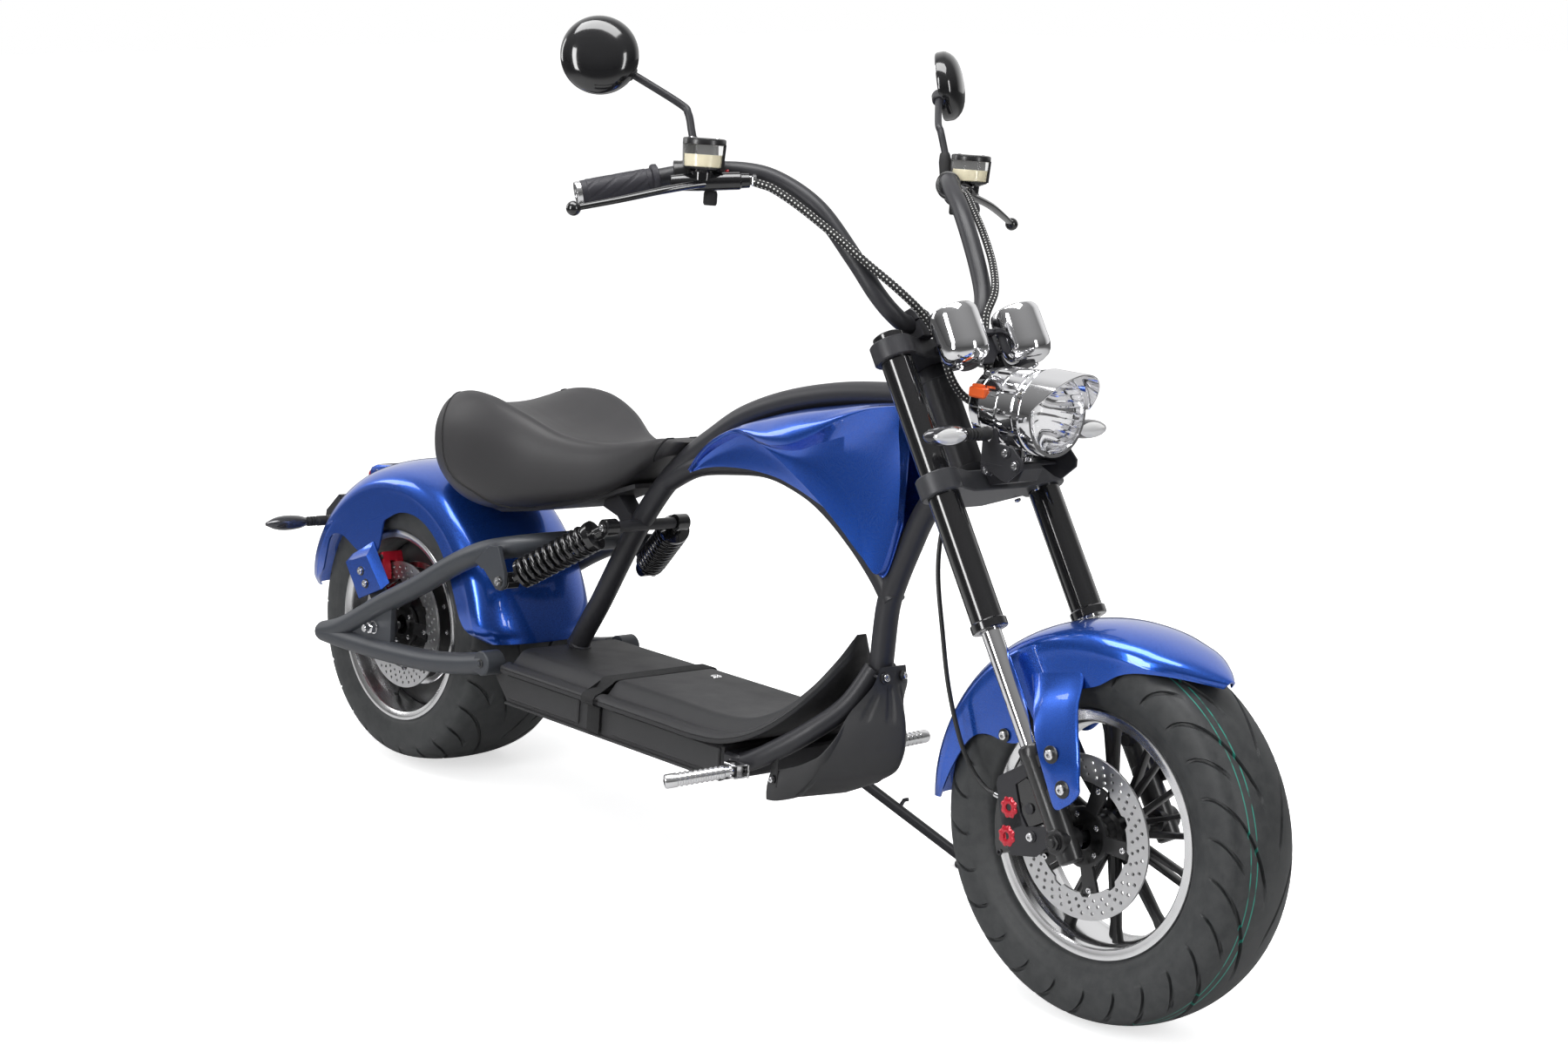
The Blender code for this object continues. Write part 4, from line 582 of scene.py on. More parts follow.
motor_black = Finish("motor_black", (0.014, 0.014, 0.015), 0.42)
motor_black.set("Roughness", 0.34 + motor_black.noise(120, 4, 0.6) * 0.18)
motor_black.bump(motor_black.noise(600, 3, 0.6), 0.00012, 0.4)
chrome = Finish("chrome_plate", (0.83, 0.83, 0.845), 0.06, 1.0)
chrome.set("Roughness", 0.035 + chrome.noise(30, 4, 0.6) * 0.06)
COVER_SCREWS = 12
SCREW_CIRCLE = 0.084
BORE = 0.0084
shape = Shape()
cover = [
    (0.0, 0.1416), (0.044, 0.1416), (0.047, 0.1385), (0.0500, 0.1300), (0.0545, 0.1210), (0.0550, 0.1060),
]
bare = [(0.0550, 0.1060), (0.0562, 0.1050), (0.0562, 0.0960), (0.0550, 0.0950)]
dome = [
    (0.0550, 0.0950), (0.0556, 0.0660), (0.0600, 0.0420), (0.0700, 0.0375), (0.0780, 0.0345),
    (0.0780, 0.0090),
]
for part, paint in ((cover, 0), (bare, 1), (dome, 0)):
    for side in (-1, 1):
        rings = [[(r * cos(a), side * y, r * sin(a)) for a in shared_turn(128)] for y, r in part]
        shape.skin(rings if side > 0 else [ring[::-1] for ring in rings], paint, ends=False)
for i in range(COVER_SCREWS):
    a = 2 * pi * i / COVER_SCREWS
    for side in (-1, 1):
        seat = (SCREW_CIRCLE * cos(a), side * 0.0552, SCREW_CIRCLE * sin(a))
        shape.bolt(seat, (0, side, 0), 0.0042, 0.0035, 0, 2, 0)
shape.ring([(-0.078, 0.0090), (-0.078, BORE), (0.078, BORE), (0.078, 0.0090)], 48)
finishes = [motor_black, polished, chrome]
shape.made("hub_motor_shell", *WHEELS["rear"], finishes, "satin_black", ["hub_motor"], 32)

# Brake discs: laser-cut steel with three staggered rows of holes, on a black five-armed carrier
# that is held to the hub by five chrome nuts. The rear one is the same disc.

disc_steel = Finish("ground_steel", (0.62, 0.62, 0.63), 0.34, 1.0)
disc_steel.set("Roughness", 0.28 + disc_steel.noise(260, 3, 0.6) * 0.16)
disc_steel.bump(disc_steel.noise(900, 2, 0.6), 0.00004, 0.3)
DISC_OUT = 0.1080
DISC_IN = 0.0740
DISC_HALF = 0.0018
CARRIER_HALF = 0.0026
SHEET_EDGE = 0.0003
# (radius of the row, radius of its holes)
HOLE_ROWS = ((0.0830, 0.0026), (0.0912, 0.0027), (0.0995, 0.0027))
HOLES_ROUND = 36
# (name, disc's middle, carrier's foot, bore)
DISCS = (("front", -0.0636, -0.0463, 0.0162), ("rear", -0.0900, -0.0783, 0.0242))


def cut_sheet(name, outline, holes, half):
    """A flat mesh from an outline with holes, pushed both ways by half, in the X and Z plane."""
    curve = bpy.data.curves.new(name, "CURVE")
    curve.dimensions = "2D"
    curve.fill_mode = "BOTH"
    curve.extrude = half - SHEET_EDGE
    curve.bevel_depth = SHEET_EDGE
    curve.bevel_resolution = 0
    for loop in [outline] + holes:
        spline = curve.splines.new("POLY")
        spline.points.add(len(loop) - 1)
        spline.use_cyclic_u = True
        for point, (x, z) in zip(spline.points, loop):
            point.co = (x, z, 0, 1)
    made = bpy.data.objects.new(name, curve)
    mesh = bpy.data.meshes.new_from_object(made)
    points = [(v.co.x, -v.co.z, v.co.y) for v in mesh.vertices]
    faces = [tuple(polygon.vertices) for polygon in mesh.polygons]
    bpy.data.objects.remove(made)
    bpy.data.meshes.remove(mesh)
    bpy.data.curves.remove(curve)
    return points, faces


disc_holes = []
for row, (r, size) in enumerate(HOLE_ROWS):
    for i in range(HOLES_ROUND):
        a = radians(360 / HOLES_ROUND * (i + row / len(HOLE_ROWS)))
        centre = (r * cos(a), r * sin(a))
        disc_holes.append(arc(centre, size, 360, 30, 11))
inner_edge = []
for i in range(10):
    start = 36 * i
    inner_edge += arc((0, 0), DISC_IN, start, start + 22, 5)
    inner_edge += arc((0, 0), DISC_IN + 0.0045, start + 25, start + 33, 3)
disc_outline = arc((0, 0), DISC_OUT, 0, 358, 179)
disc_points, disc_faces = cut_sheet("disc", disc_outline, disc_holes + [inner_edge[::-1]], DISC_HALF)
carrier_outline = []
for i in range(5):
    start = 72 * i
    carrier_outline += arc((0, 0), 0.0400, start - 24, start - 14, 2)
    carrier_outline += arc((0, 0), 0.0735, start - 9, start + 9, 3)
    carrier_outline += arc((0, 0), 0.0400, start + 14, start + 24, 2)
carrier_holes = [arc((0, 0), 0.0175, 360, 10, 35)]
carrier_points, carrier_faces = cut_sheet("carrier", carrier_outline, carrier_holes, CARRIER_HALF)
for name, y, foot, bore in DISCS:
    shape = Shape()
    shape.add([(x, y + out, z) for x, out, z in disc_points], disc_faces, 0)
    shape.add([(x, y + out, z) for x, out, z in carrier_points], carrier_faces, 1)
    face = y - CARRIER_HALF
    shape.ring([(face, bore), (face, 0.036), (y, 0.037), (foot, 0.030), (foot, bore)], 64, 1)
    for i in range(5):
        for r, size, ahead in ((0.0690, 0.0042, 0), (0.0300, 0.0038, pi / 5)):
            a = 2 * pi * i / 5 + ahead
            shape.bolt((r * cos(a), face, r * sin(a)), (0, -1, 0), size, 0.0032, 0, 2, 1)
    finishes = [disc_steel, cast_black, chrome]
    shape.made(f"{name}_drilled_disc", *WHEELS[name], finishes, "steel", [f"{name}_disc"], 34)

# Spine frame: mild steel tube bent in one plane, welded to the head tube and powder coated satin
# black. Two rails run from the down tube's foot under the deck to a cross beam.

UPPER_AT = 0.631
DOWN_AT = 0.548
FORK_OFFSET = 0.030
SPINE_TUBE = 0.0175
WHEELBASE = 1.496
AXLE_RISE = 0.0147


def along_leg(height, ahead=0.0):
    """The chassis place that is height up the steering axis and ahead of it."""
    out = ahead - FORK_OFFSET
    x = WHEELBASE - height * sin(RAKE) + out * cos(RAKE)
    return Vector((x, 0, AXLE_RISE + height * cos(RAKE) + out * sin(RAKE)))


def from_head(height, offsets):
    """Places in the middle plane, given from a point on the head tube."""
    anchor = along_leg(height)
    return [(anchor.x + x, anchor.z + z) for x, z in offsets]


powder = Finish("satin_powder_coat", (0.022, 0.022, 0.026), 0.42, 0.0, Specular_IOR_Level=0.5)
powder.set("Roughness", 0.36 + powder.noise(25, 4, 0.6) * 0.14)
powder.bump(powder.noise(1100, 2, 0.5), 0.00010, 0.35)
upper_tube = [
    (0.3640, 0.0300), (0.3722, 0.0400), (0.3830, 0.0576), (0.4192, 0.1132), (0.4611, 0.1848),
    (0.5006, 0.2491),
    (0.5560, 0.3216), (0.6120, 0.3746), (0.6640, 0.4116),
]
upper_tube += from_head(UPPER_AT, [
    (-0.400, -0.077), (-0.308, -0.042), (-0.200, -0.017), (-0.090, -0.004), (0, 0),
])
lower_tube = [(0.5650, 0.3316), (0.6300, 0.3646), (0.7101, 0.3803)]
lower_tube += from_head(DOWN_AT, [
    (-0.3823, -0.0737), (-0.3052, -0.0880), (-0.2475, -0.1120), (-0.1893, -0.1500), (-0.1416, -0.1900),
    (-0.1100, -0.2250),
])
down_tube = from_head(DOWN_AT, [
    (0, 0), (-0.0300, -0.0430), (-0.0643, -0.0934), (-0.0870, -0.1424), (-0.1074, -0.1923),
    (-0.1200, -0.2362),
    (-0.1241, -0.3118), (-0.1260, -0.3650),
])
foot_x, foot_z = down_tube[-1]
FIT = 0.0003  # what is left open between pieces that meet
BOX_FRONT = 0.868
CRADLE_REAR = BOX_FRONT + FIT
CRADLE_FRONT = BOX_FRONT + 0.037
CRADLE_LOW = -0.0464
CRADLE_TOP = -0.0124
head_tube = (
    (0, 0.0235), (0.0012, 0.0245), (0.0180, 0.0245), (0.0190, 0.0232), (0.1480, 0.0232), (0.1490, 0.0245),
    (0.1662, 0.0245), (0.1674, 0.0235),
)
shape = Shape()
for tube in (upper_tube, lower_tube, down_tube):
    shape.sweep(smoothed(in_plane(tube), 8), SPINE_TUBE, 32)
shape.turn(along_leg(0.5103), (-sin(RAKE), 0, cos(RAKE)), head_tube, 48)
shape.turn(
    (0.516, -0.059, 0.2541), (0, 1, 0), ((0, 0.008), (0.001, 0.009), (0.117, 0.009), (0.118, 0.008)), 24
)
shape.block((CRADLE_REAR, -0.125, CRADLE_LOW), (CRADLE_FRONT, 0.125, CRADLE_TOP), 0.004)
shape.block((foot_x, -0.0230, foot_z + 0.0310), (foot_x + 0.0240, 0.0230, foot_z + 0.0350), 0.001)
post = [(0.492, 0.2316), (0.505, 0.2616), (0.468, 0.2956), (0.430, 0.2831), (0.425, 0.2696), (0.462, 0.2596)]
shape.plate(post, -0.015, 0.015, "Y", 0.003)
for side in (-1, 1):
    rail = [
        (foot_x, side * 0.012, foot_z + 0.040),
        (foot_x - 0.021, side * 0.040, foot_z - 0.015),
        (foot_x - 0.059, side * 0.078, foot_z - 0.060),
        (CRADLE_FRONT + 0.030, side * 0.105, CRADLE_TOP + 0.006),
        (CRADLE_FRONT - 0.015, side * 0.110, CRADLE_TOP - 0.016),
    ]
    shape.sweep(smoothed(rail, 8), 0.015, 28)
STAND_PIVOT = Vector((BOX_FRONT + 0.020, 0.1064, -0.0744))
STAND_AXIS = Vector((-0.20, 1.0, 0.38)).normalized()
boss = ((0, 0.013), (0.001, 0.014), (0.015, 0.014), (0.016, 0.013))
shape.turn(STAND_PIVOT - STAND_AXIS * 0.012, STAND_AXIS, boss, 32)
shape.block((0.875, 0.0954, -0.0784), (0.901, 0.1044, -0.0404), 0.001)
# a bead of weld where each tube meets another
for centre, way, radius in (
    (along_leg(UPPER_AT, -0.026), (-1, 0, 0.05), 0.0192),
    (along_leg(DOWN_AT, -0.030), (-0.60, 0, -0.82), 0.0190),
    (Vector((0.372, 0, 0.0330)), (0.3, 0, 0.9), 0.0190),
):
    bead = [(-0.003, radius - 0.0016), (-0.0015, radius), (0.0015, radius), (0.003, radius - 0.0016)]
    shape.turn(centre, way, bead, 40)
shape.made("spine_frame", "chassis", CHASSIS, [powder], "satin_black", ["frame"], 40)

# Swing arm: two bent loops of thick tube that meet in a rounded point behind each dropout plate,
# joined by a cross bend in front of the wheel, in dark grey powder coat.

arm_grey = Finish("dark_grey_powder_coat", (0.040, 0.044, 0.052), 0.40, 0.0)
arm_grey.set("Roughness", 0.34 + arm_grey.noise(25, 4, 0.6) * 0.14)
arm_grey.bump(arm_grey.noise(1100, 2, 0.5), 0.00010, 0.35)
SWING_TUBE = 0.0180
SWING_Y = 0.142
SHOCK_LOW = (0.360, 0.1410, 0.1466)
SHOCK_TOP = (0.516, 0.0720, 0.2541)
EYE_HALF = 0.0120
LUG_IN = SHOCK_LOW[1] + EYE_HALF + FIT
PIVOT_X = 0.318
PIVOT_Z = 0.0046
upper_loop = [
    (-0.158, -0.0384), (-0.095, -0.0166), (0.020, 0.0451), (0.1185, 0.0942), (0.213, 0.1460), (0.280, 0.1766),
]
bend = [(0.325, 0.130, 0.1916), (0.352, 0.095, 0.1996), (0.364, 0.050, 0.2026)]
lower_loop = [
    (-0.158, -0.0384), (-0.095, -0.0389), (0.020, -0.0357), (0.147, -0.0269), (0.243, -0.0124),
    (PIVOT_X, PIVOT_Z),
]
dropout = [(-0.150, -0.0424), (-0.150, -0.0324), (0.048, 0.0536), (0.048, -0.0334)]
lug = [
    (0.300, 0.1716), (0.330, 0.1996), (0.352, 0.2016), (0.372, 0.160), (0.372, 0.142), (0.362, 0.1316),
    (0.350, 0.1330),
]
root = [(0.290, 0.1656), (0.318, 0.1936), (0.336, 0.1956), (0.334, 0.1696), (0.310, 0.1576)]
pivot = ((0, 0.019), (0.001, 0.020), (0.033, 0.020), (0.035, 0.018))
loop = in_plane(upper_loop, -SWING_Y) + [(x, -y, z) for x, y, z in bend]
loop += [(0.366, 0, 0.2026)] + bend[::-1] + in_plane(upper_loop[::-1], SWING_Y)
shape = Shape()
shape.sweep(smoothed(loop, 8), SWING_TUBE, 32)
for side in (-1, 1):
    y = side * SWING_Y
    shape.sweep(smoothed(in_plane(lower_loop, y), 8), SWING_TUBE, 32)
    shape.ball((-0.1575, y, -0.0384), SWING_TUBE * 0.99)
    shape.plate(dropout, y - 0.005, y + 0.005)
    shape.plate(lug, side * LUG_IN, side * (LUG_IN + 0.008), "Y", 0.0012)
    shape.plate(root, side * (SWING_Y - 0.008), side * (LUG_IN + 0.006), "Y", 0.001)
    shape.turn((PIVOT_X, side * 0.123, PIVOT_Z), (0, side, 0), pivot, 40)
    eye = (SHOCK_LOW[0], side * (LUG_IN + 0.008), SHOCK_LOW[2])
    shape.bolt(eye, (0, side, 0), 0.0062, 0.0048, 0.0085, 1, 2)
    shape.bolt((PIVOT_X, side * 0.1578, PIVOT_Z), (0, side, 0), 0.0070, 0.0020, 0.0, 2, 2)
finishes = [arm_grey, chrome, cast_black]
shape.made("swing_arm_tubes", "chassis", CHASSIS, finishes, "dark_grey", ["swing_arm"], 40)

# Axles: turned steel bars with chrome nuts outside the dropouts and the fork feet, which carry
# small alloy chain-adjuster style end caps.

# (name, the nut's inner and outer face, the bar's end, finish)
AXLES = (("rear", 0.1473, 0.1583, 0.1693, chrome), ("front", 0.1188, 0.1248, 0.1288, cast_black))
for name, nut_in, nut_out, end, nut_finish in AXLES:
    shape = Shape()
    shape.turn((0, -nut_in, 0), (0, 1, 0), ((0, 0.008), (2 * nut_in, 0.008)), 32)
    for side in (-1, 1):
        washer = ((0, 0.0085), (0.0002, 0.0112), (0.0016, 0.0112), (0.0018, 0.0085))
        shape.turn((0, side * nut_in, 0), (0, side, 0), washer, 32)
        tall = nut_out - nut_in
        nut = ((0.0018, 0.0086), (0.0024, 0.0104), (tall - 0.0006, 0.0104), (tall, 0.0086))
        shape.turn((0, side * nut_in, 0), (0, side, 0), nut, 6)
        stud = ((tall - 0.001, 0.0062), (end - nut_in - 0.001, 0.0062), (end - nut_in, 0.0052))
        shape.turn((0, side * nut_in, 0), (0, side, 0), stud, 28)
    shape.made(f"{name}_axle_bar", *WHEELS[name], [nut_finish], "steel", [f"{name}_axle"], 30)

# Shock absorbers: a gloss black coil over a thin damper, with a collar at each end and a rubber
# bush in each eye. Chrome bolts hold them.

gloss_black = Finish("gloss_black", (0.008, 0.008, 0.009), 0.10, 0.0, Coat_Weight=0.8, Coat_Roughness=0.05)
gloss_black.set("Roughness", 0.10 + gloss_black.noise(30, 4, 0.6) * 0.10)
bush_rubber = Finish("moulded_rubber", (0.016, 0.016, 0.017), 0.68)
bush_rubber.bump(bush_rubber.noise(900, 2, 0.5), 0.0001, 0.3)
COIL_TURNS = 10
COIL_STEPS = 22
COIL_RADIUS = 0.0212
COIL_WIRE = 0.0042
for side, word in SIDES:
    low = Vector(SHOCK_LOW)
    top = Vector(SHOCK_TOP)
    low.y *= side
    top.y *= side
    way = (top - low).normalized()
    long = (top - low).length
    across = way.orthogonal().normalized()
    other = way.cross(across)
    shape = Shape()
    damper = [
        (0.125, 0.008), (0.13, 0.0225), (0.135, 0.0245), (0.16, 0.0245), (0.165, 0.0150), (0.55, 0.0150),
        (0.555, 0.0065), (0.80, 0.0065), (0.805, 0.0235), (0.825, 0.0245), (0.86, 0.0245), (0.87, 0.0110),
    ]
    damper = [(0.010, 0.008)] + [(long * share, r) for share, r in damper] + [(long - 0.010, 0.0100)]
    shape.turn(low, way, damper, 40)
    helix = []
    for i in range(COIL_TURNS * COIL_STEPS + 1):
        turn = i / COIL_STEPS
        share = turn / COIL_TURNS
        a = 2 * pi * turn
        at = long * (0.168 + 0.63 * share)
        helix.append(low + way * at + COIL_RADIUS * (across * cos(a) + other * sin(a)))
    shape.sweep(helix, COIL_WIRE, 12)
    for eye in (low, top):
        for half, radius, paint in ((EYE_HALF, 0.0135, 0), (EYE_HALF - 0.00005, 0.0098, 1)):
            stations = (
                (0, radius - 0.001), (0.001, radius), (2 * half - 0.001, radius),
                (2 * half, radius - 0.001),
            )
            shape.turn(eye - Vector((0, half, 0)), (0, 1, 0), stations, 32, paint)
    shape.bolt(top + Vector((0, side * EYE_HALF, 0)), (0, side, 0), 0.0058, 0.0040, 0.0080, 2, 0)
    finishes = [gloss_black, bush_rubber, chrome]
    shape.made(f"shock_absorber_{word}", "chassis", CHASSIS, finishes, "gloss_black", [f"shock_{word}"], 36)

# Battery box: a pressed steel tray between the wheels, matt black, with a folded flange along its
# bottom edge and lugs that carry the swing arm.

moulding = Finish("matt_moulding", (0.032, 0.032, 0.034), 0.52)
grain = moulding.cells(900)
moulding.set("Roughness", 0.46 + moulding.noise(30, 4, 0.6) * 0.16)
moulding.bump(grain, 0.00025, 0.30)
BOX_REAR = 0.346
BOX_HALF = 0.128
BOX_LOW = -0.0584
BOX_TOP = -0.0049
shape = Shape()
shape.block((BOX_REAR, -BOX_HALF + 0.004, BOX_LOW), (BOX_FRONT, BOX_HALF - 0.004, BOX_TOP), 0.003)
for side in (-1, 1):
    for rear, front in ((BOX_REAR + 0.004, 0.535), (0.615, BOX_FRONT - 0.004)):
        foot = (rear, side * (BOX_HALF - 0.006), BOX_LOW + 0.010)
        shape.block(foot, (front, side * BOX_HALF, BOX_TOP - 0.004), 0.0018)
    shape.block(
        (BOX_REAR, side * (BOX_HALF - 0.010), BOX_LOW), (BOX_FRONT, side * BOX_HALF, BOX_LOW + 0.004), 0.001
    )
    lug = [
        (BOX_REAR + 0.010, BOX_LOW + 0.004), (BOX_REAR + 0.010, BOX_TOP - 0.002), (BOX_REAR, BOX_TOP - 0.002),
        (0.302, 0.0186), (0.297, 0.0046), (0.306, -0.0134), (BOX_REAR, BOX_LOW + 0.004),
    ]
    shape.plate(lug, side * 0.1227, side * 0.1110, "Y", 0.001)
    for x in (0.380, 0.500, 0.650, 0.770, 0.850):
        shape.bolt((x, side * (BOX_HALF - 0.0003), BOX_LOW + 0.0022), (0, side, 0), 0.0018, 0.0003, 0, 1, 1)
shape.made("battery_tray", "chassis", CHASSIS, [moulding, cast_black], "plastic_grey", ["battery_box"], 34)

# Deck mat: one rubber moulding over the box, with a raised island, fine lengthwise ribs, a rolled
# edge and a tongue that climbs the frame's foot.

mat_rubber = Finish("deck_rubber", (0.024, 0.024, 0.026), 0.58)
mat_rubber.set("Roughness", 0.46 + mat_rubber.noise(22, 4, 0.6) * 0.20)
mat_rubber.bump(mat_rubber.cells(700), 0.0003, 0.35)
mat_low = BOX_TOP + FIT
DECK_TOP = 0.0296
MAT_STEP = 0.0015
# half of the section from its lower edge: side band, seam, rolled shoulder, groove, upper shoulder, flat
mat_section = [
    (0.1405, mat_low), (0.1425, mat_low + 0.0008), (0.1430, mat_low + 0.0030), (0.1430, mat_low + 0.0066),
    (0.1420, mat_low + 0.0070), (0.1420, mat_low + 0.0077), (0.1430, mat_low + 0.0081),
    (0.1412, mat_low + 0.0110),
    (0.1370, mat_low + 0.0140), (0.1310, mat_low + 0.0158), (0.1280, mat_low + 0.0162),
    (0.1240, mat_low + 0.0158),
    (0.1210, mat_low + 0.0140), (0.1180, mat_low + 0.0138), (0.1150, mat_low + 0.0152),
    (0.1120, mat_low + 0.0190),
    (0.1070, mat_low + 0.0240), (0.1020, DECK_TOP - 0.0040), (0.0970, DECK_TOP - 0.0014),
    (0.0925, DECK_TOP - 0.0002),
    (0.0890, DECK_TOP), (0.0500, DECK_TOP), (0.0200, DECK_TOP),
]
# (from the box's front, lift, share of the width, how far the top is stepped down)
mat_run = [
    (-0.522, 0, 0.94, 1), (-0.516, 0, 0.975, 1), (-0.508, 0, 1, 1), (-0.400, 0, 1, 1), (-0.2760, 0, 1, 1),
    (-0.2745, 0, 1, 0), (-0.200, 0, 1, 0), (-0.120, 0, 1, 0), (-0.048, 0, 1, 0), (0.012, 0.006, 0.95, 0),
    (0.062, 0.028, 0.80, 0), (0.102, 0.066, 0.60, 0), (0.127, 0.108, 0.36, 0), (0.138, 0.138, 0.17, 0),
    (0.141, 0.148, 0.10, 0),
]
MAT_STEPS = 6
whole_ring = mat_section + [(-y, z) for y, z in mat_section[::-1]]
shape = Shape()
rings = []
for i, p in enumerate(smoothed([row[:3] for row in mat_run], MAT_STEPS)):
    (*_, here), (*_, there) = mat_run[i // MAT_STEPS], mat_run[min(i // MAT_STEPS + 1, len(mat_run) - 1)]
    down = MAT_STEP * (here + (there - here) * (i % MAT_STEPS) / MAT_STEPS)
    rings.append([(BOX_FRONT + p.x, y * p.z, z + p.y - down * (z > mat_low + 0.012)) for y, z in whole_ring])
shape.skin(rings)
shape.made("deck_rubber_mat", "chassis", CHASSIS, [mat_rubber], "rubber", ["deck_mat"], 30)

# Strap: a flat woven belt round the deck and box that holds the lid shut, with a small round lock
# in the lid beside it.

webbing = Finish("woven_strap", (0.012, 0.012, 0.013), 0.80)
weave = webbing.add("ShaderNodeTexWave", {"wave_type": "BANDS", "bands_direction": "Y"}, {
    "Vector": webbing.place(), "Scale": 260.0, "Distortion": 0.4}, "Fac")
webbing.bump(weave, 0.0004, 0.7)
STRAP_AT = 0.575
STRAP_HALF = 0.0148
STRAP_THICK = 0.0018
over = [
    (0.1287, BOX_LOW + 0.0060), (0.1287, mat_low - 0.0060), (0.1300, mat_low - 0.0045),
    (0.1425, mat_low - 0.0002),
    (0.1435, mat_low + 0.0030), (0.1434, mat_low + 0.0085), (0.1380, mat_low + 0.0138),
    (0.1250, mat_low + 0.0166),
    (0.1130, mat_low + 0.0186), (0.1040, DECK_TOP - 0.0030), (0.0940, DECK_TOP - 0.0012),
    (0.0840, DECK_TOP - 0.0011),
]
half_path = smooth_pairs(over, 4)
path_in = [Vector(p) for p in half_path + [(-y, z) for y, z in half_path[::-1]]]
path_out = []
for i, point in enumerate(path_in):
    along = (path_in[min(i + 1, len(path_in) - 1)] - path_in[max(i - 1, 0)]).normalized()
    path_out.append(point + Vector((along.y, -along.x)) * STRAP_THICK)
shape = Shape()
rings = []
strap_edge = STRAP_HALF - 0.0008
for x, thinner in ((-STRAP_HALF, 0.0004), (-strap_edge, 0), (strap_edge, 0), (STRAP_HALF, 0.0004)):
    outer = [a.lerp(b, thinner / STRAP_THICK) for a, b in zip(path_out, path_in)]
    rings.append([(STRAP_AT + x, *p) for p in path_in + outer[::-1]])
shape.skin(rings)
shape.made("deck_belt", "chassis", CHASSIS, [webbing], "satin_black", ["deck_strap"], 30)
lock = (
    (0, 0.0085), (0.0006, 0.0090), (0.0014, 0.0090), (0.0020, 0.0084), (0.0020, 0.0052), (0.0012, 0.0050),
    (0.0012, 0.0001),
)
shape = Shape()
shape.turn((0.640, 0.060, DECK_TOP - 0.0006), UP, lock, 36)
shape.made("lid_lock", "chassis", CHASSIS, [chrome], "chrome", (), 30)

# Belly pan: a thin moulded bow in matt grain under the down tube's foot, bolted to a strap at its
# top. A cheek on each side closes the gap to the rail and runs in under the bow's rear edge.

# (up from the foot, rear edge and nose ahead of it, half width)
PAN_LEVELS = (
    (-0.1555, -0.0669, -0.0500, 0.0860),
    (-0.1450, -0.0560, -0.0280, 0.0862),
    (-0.1320, -0.0430, -0.0040, 0.0864),
    (-0.1180, -0.0310, 0.0220, 0.0860),
    (-0.1060, -0.0245, 0.0400, 0.0845),
    (-0.0940, -0.0190, 0.0500, 0.0815),
    (-0.0700, -0.0120, 0.0585, 0.0730),
    (-0.0440, -0.0085, 0.0590, 0.0625),
    (-0.0200, -0.0030, 0.0550, 0.0510),
    (0.0000, 0.0100, 0.0460, 0.0440),
    (0.0200, 0.0215, 0.0350, 0.0360),
    (0.0340, 0.0240, 0.0290, 0.0300),
    (0.0480, 0.0245, 0.0262, 0.0260),
)
# (share of the length from the rear edge, share of the half width)
PAN_PLAN = ((0, 1.0), (0.24, 0.79), (0.49, 0.55), (0.74, 0.31), (0.92, 0.12), (0.98, 0.045), (1.0, 0.0))
PAN_WALL = 0.003
# (share of the half width, lowest, highest)
PAN_FLUTES = ((0.70, -0.032, 0.010), (0.27, -0.030, 0.022))
FLUTE_HALF = 0.0050
FLUTE_DEPTH = 0.0026
FLUTE_RUN_OUT = 0.006
PAN_BOLT = (0.0290, 0.0175, 0.0330)
levels = smoothed([(z, rear, front) for z, rear, front, _ in PAN_LEVELS], 6)
halves = smoothed([(half, 0, 0) for *_, half in PAN_LEVELS], 6)
run = smooth_pairs(PAN_PLAN, 9)


def pan_sheet(inset):
    """Rows of the bow's outside, or of its inside where the inset is its wall, from its foot up."""
    rows = []
    for i, (level, half) in enumerate(zip(levels, halves)):
        row = []
        for t, w in run:
            deep = inset
            for share, low, high in PAN_FLUTES:
                across = max(0.0, 1 - abs(w - share) * half.x / FLUTE_HALF)
                along = max(0.0, min(level.x - low, high - level.x)) / FLUTE_RUN_OUT
                deep += FLUTE_DEPTH * min(1.0, across * 2) * min(1.0, along)
            x = foot_x + level.y + (level.z - deep - level.y) * t
            row.append((x, -(half.x - deep) * w, foot_z + level.x + (inset if i == 0 else 0)))
        rows.append(row + [(x, -y, z) for x, y, z in row[-2::-1]])
    return rows


shape = Shape()
outside = pan_sheet(0.0)
inside = pan_sheet(PAN_WALL)
shape.skin(outside + inside[::-1], ends=False, ring_closed=False)
shape.add(outside[0] + inside[0], [tuple(range(len(outside[0])))[::-1]])
shape.add(inside[0], [tuple(range(len(inside[0])))])
for j in (0, -1):
    column = [row[j] for row in outside] + [row[j] for row in inside[::-1]]
    count = len(outside)
    shape.add(column, [(i, i + 1, 2 * count - 2 - i, 2 * count - 1 - i) for i in range(count - 1)])
# (ahead of the foot, up, half width) of the cheek's top edge, then of its bottom edge
CHEEK_RUN = (
    (-0.1040, -0.1240, 0.1010, -0.1050, -0.1655, 0.1050),
    (-0.0951, -0.1217, 0.1000, -0.0881, -0.1640, 0.0990),
    (-0.0740, -0.1130, 0.0965, -0.0640, -0.1545, 0.0825),
    (-0.0530, -0.1034, 0.0930, -0.0430, -0.1370, 0.0805),
    (-0.0360, -0.0935, 0.0905, -0.0250, -0.1150, 0.0785),
    (-0.0204, -0.0819, 0.0865, -0.0140, -0.0920, 0.0735),
    (-0.0100, -0.0594, 0.0730, -0.0060, -0.0610, 0.0640),
    (-0.0060, -0.0320, 0.0530, -0.0030, -0.0330, 0.0480),
)
CHEEK_WALL = 0.0026
CHEEK_BULGE = 0.0035
cheek_top = smoothed([row[:3] for row in CHEEK_RUN], 6)
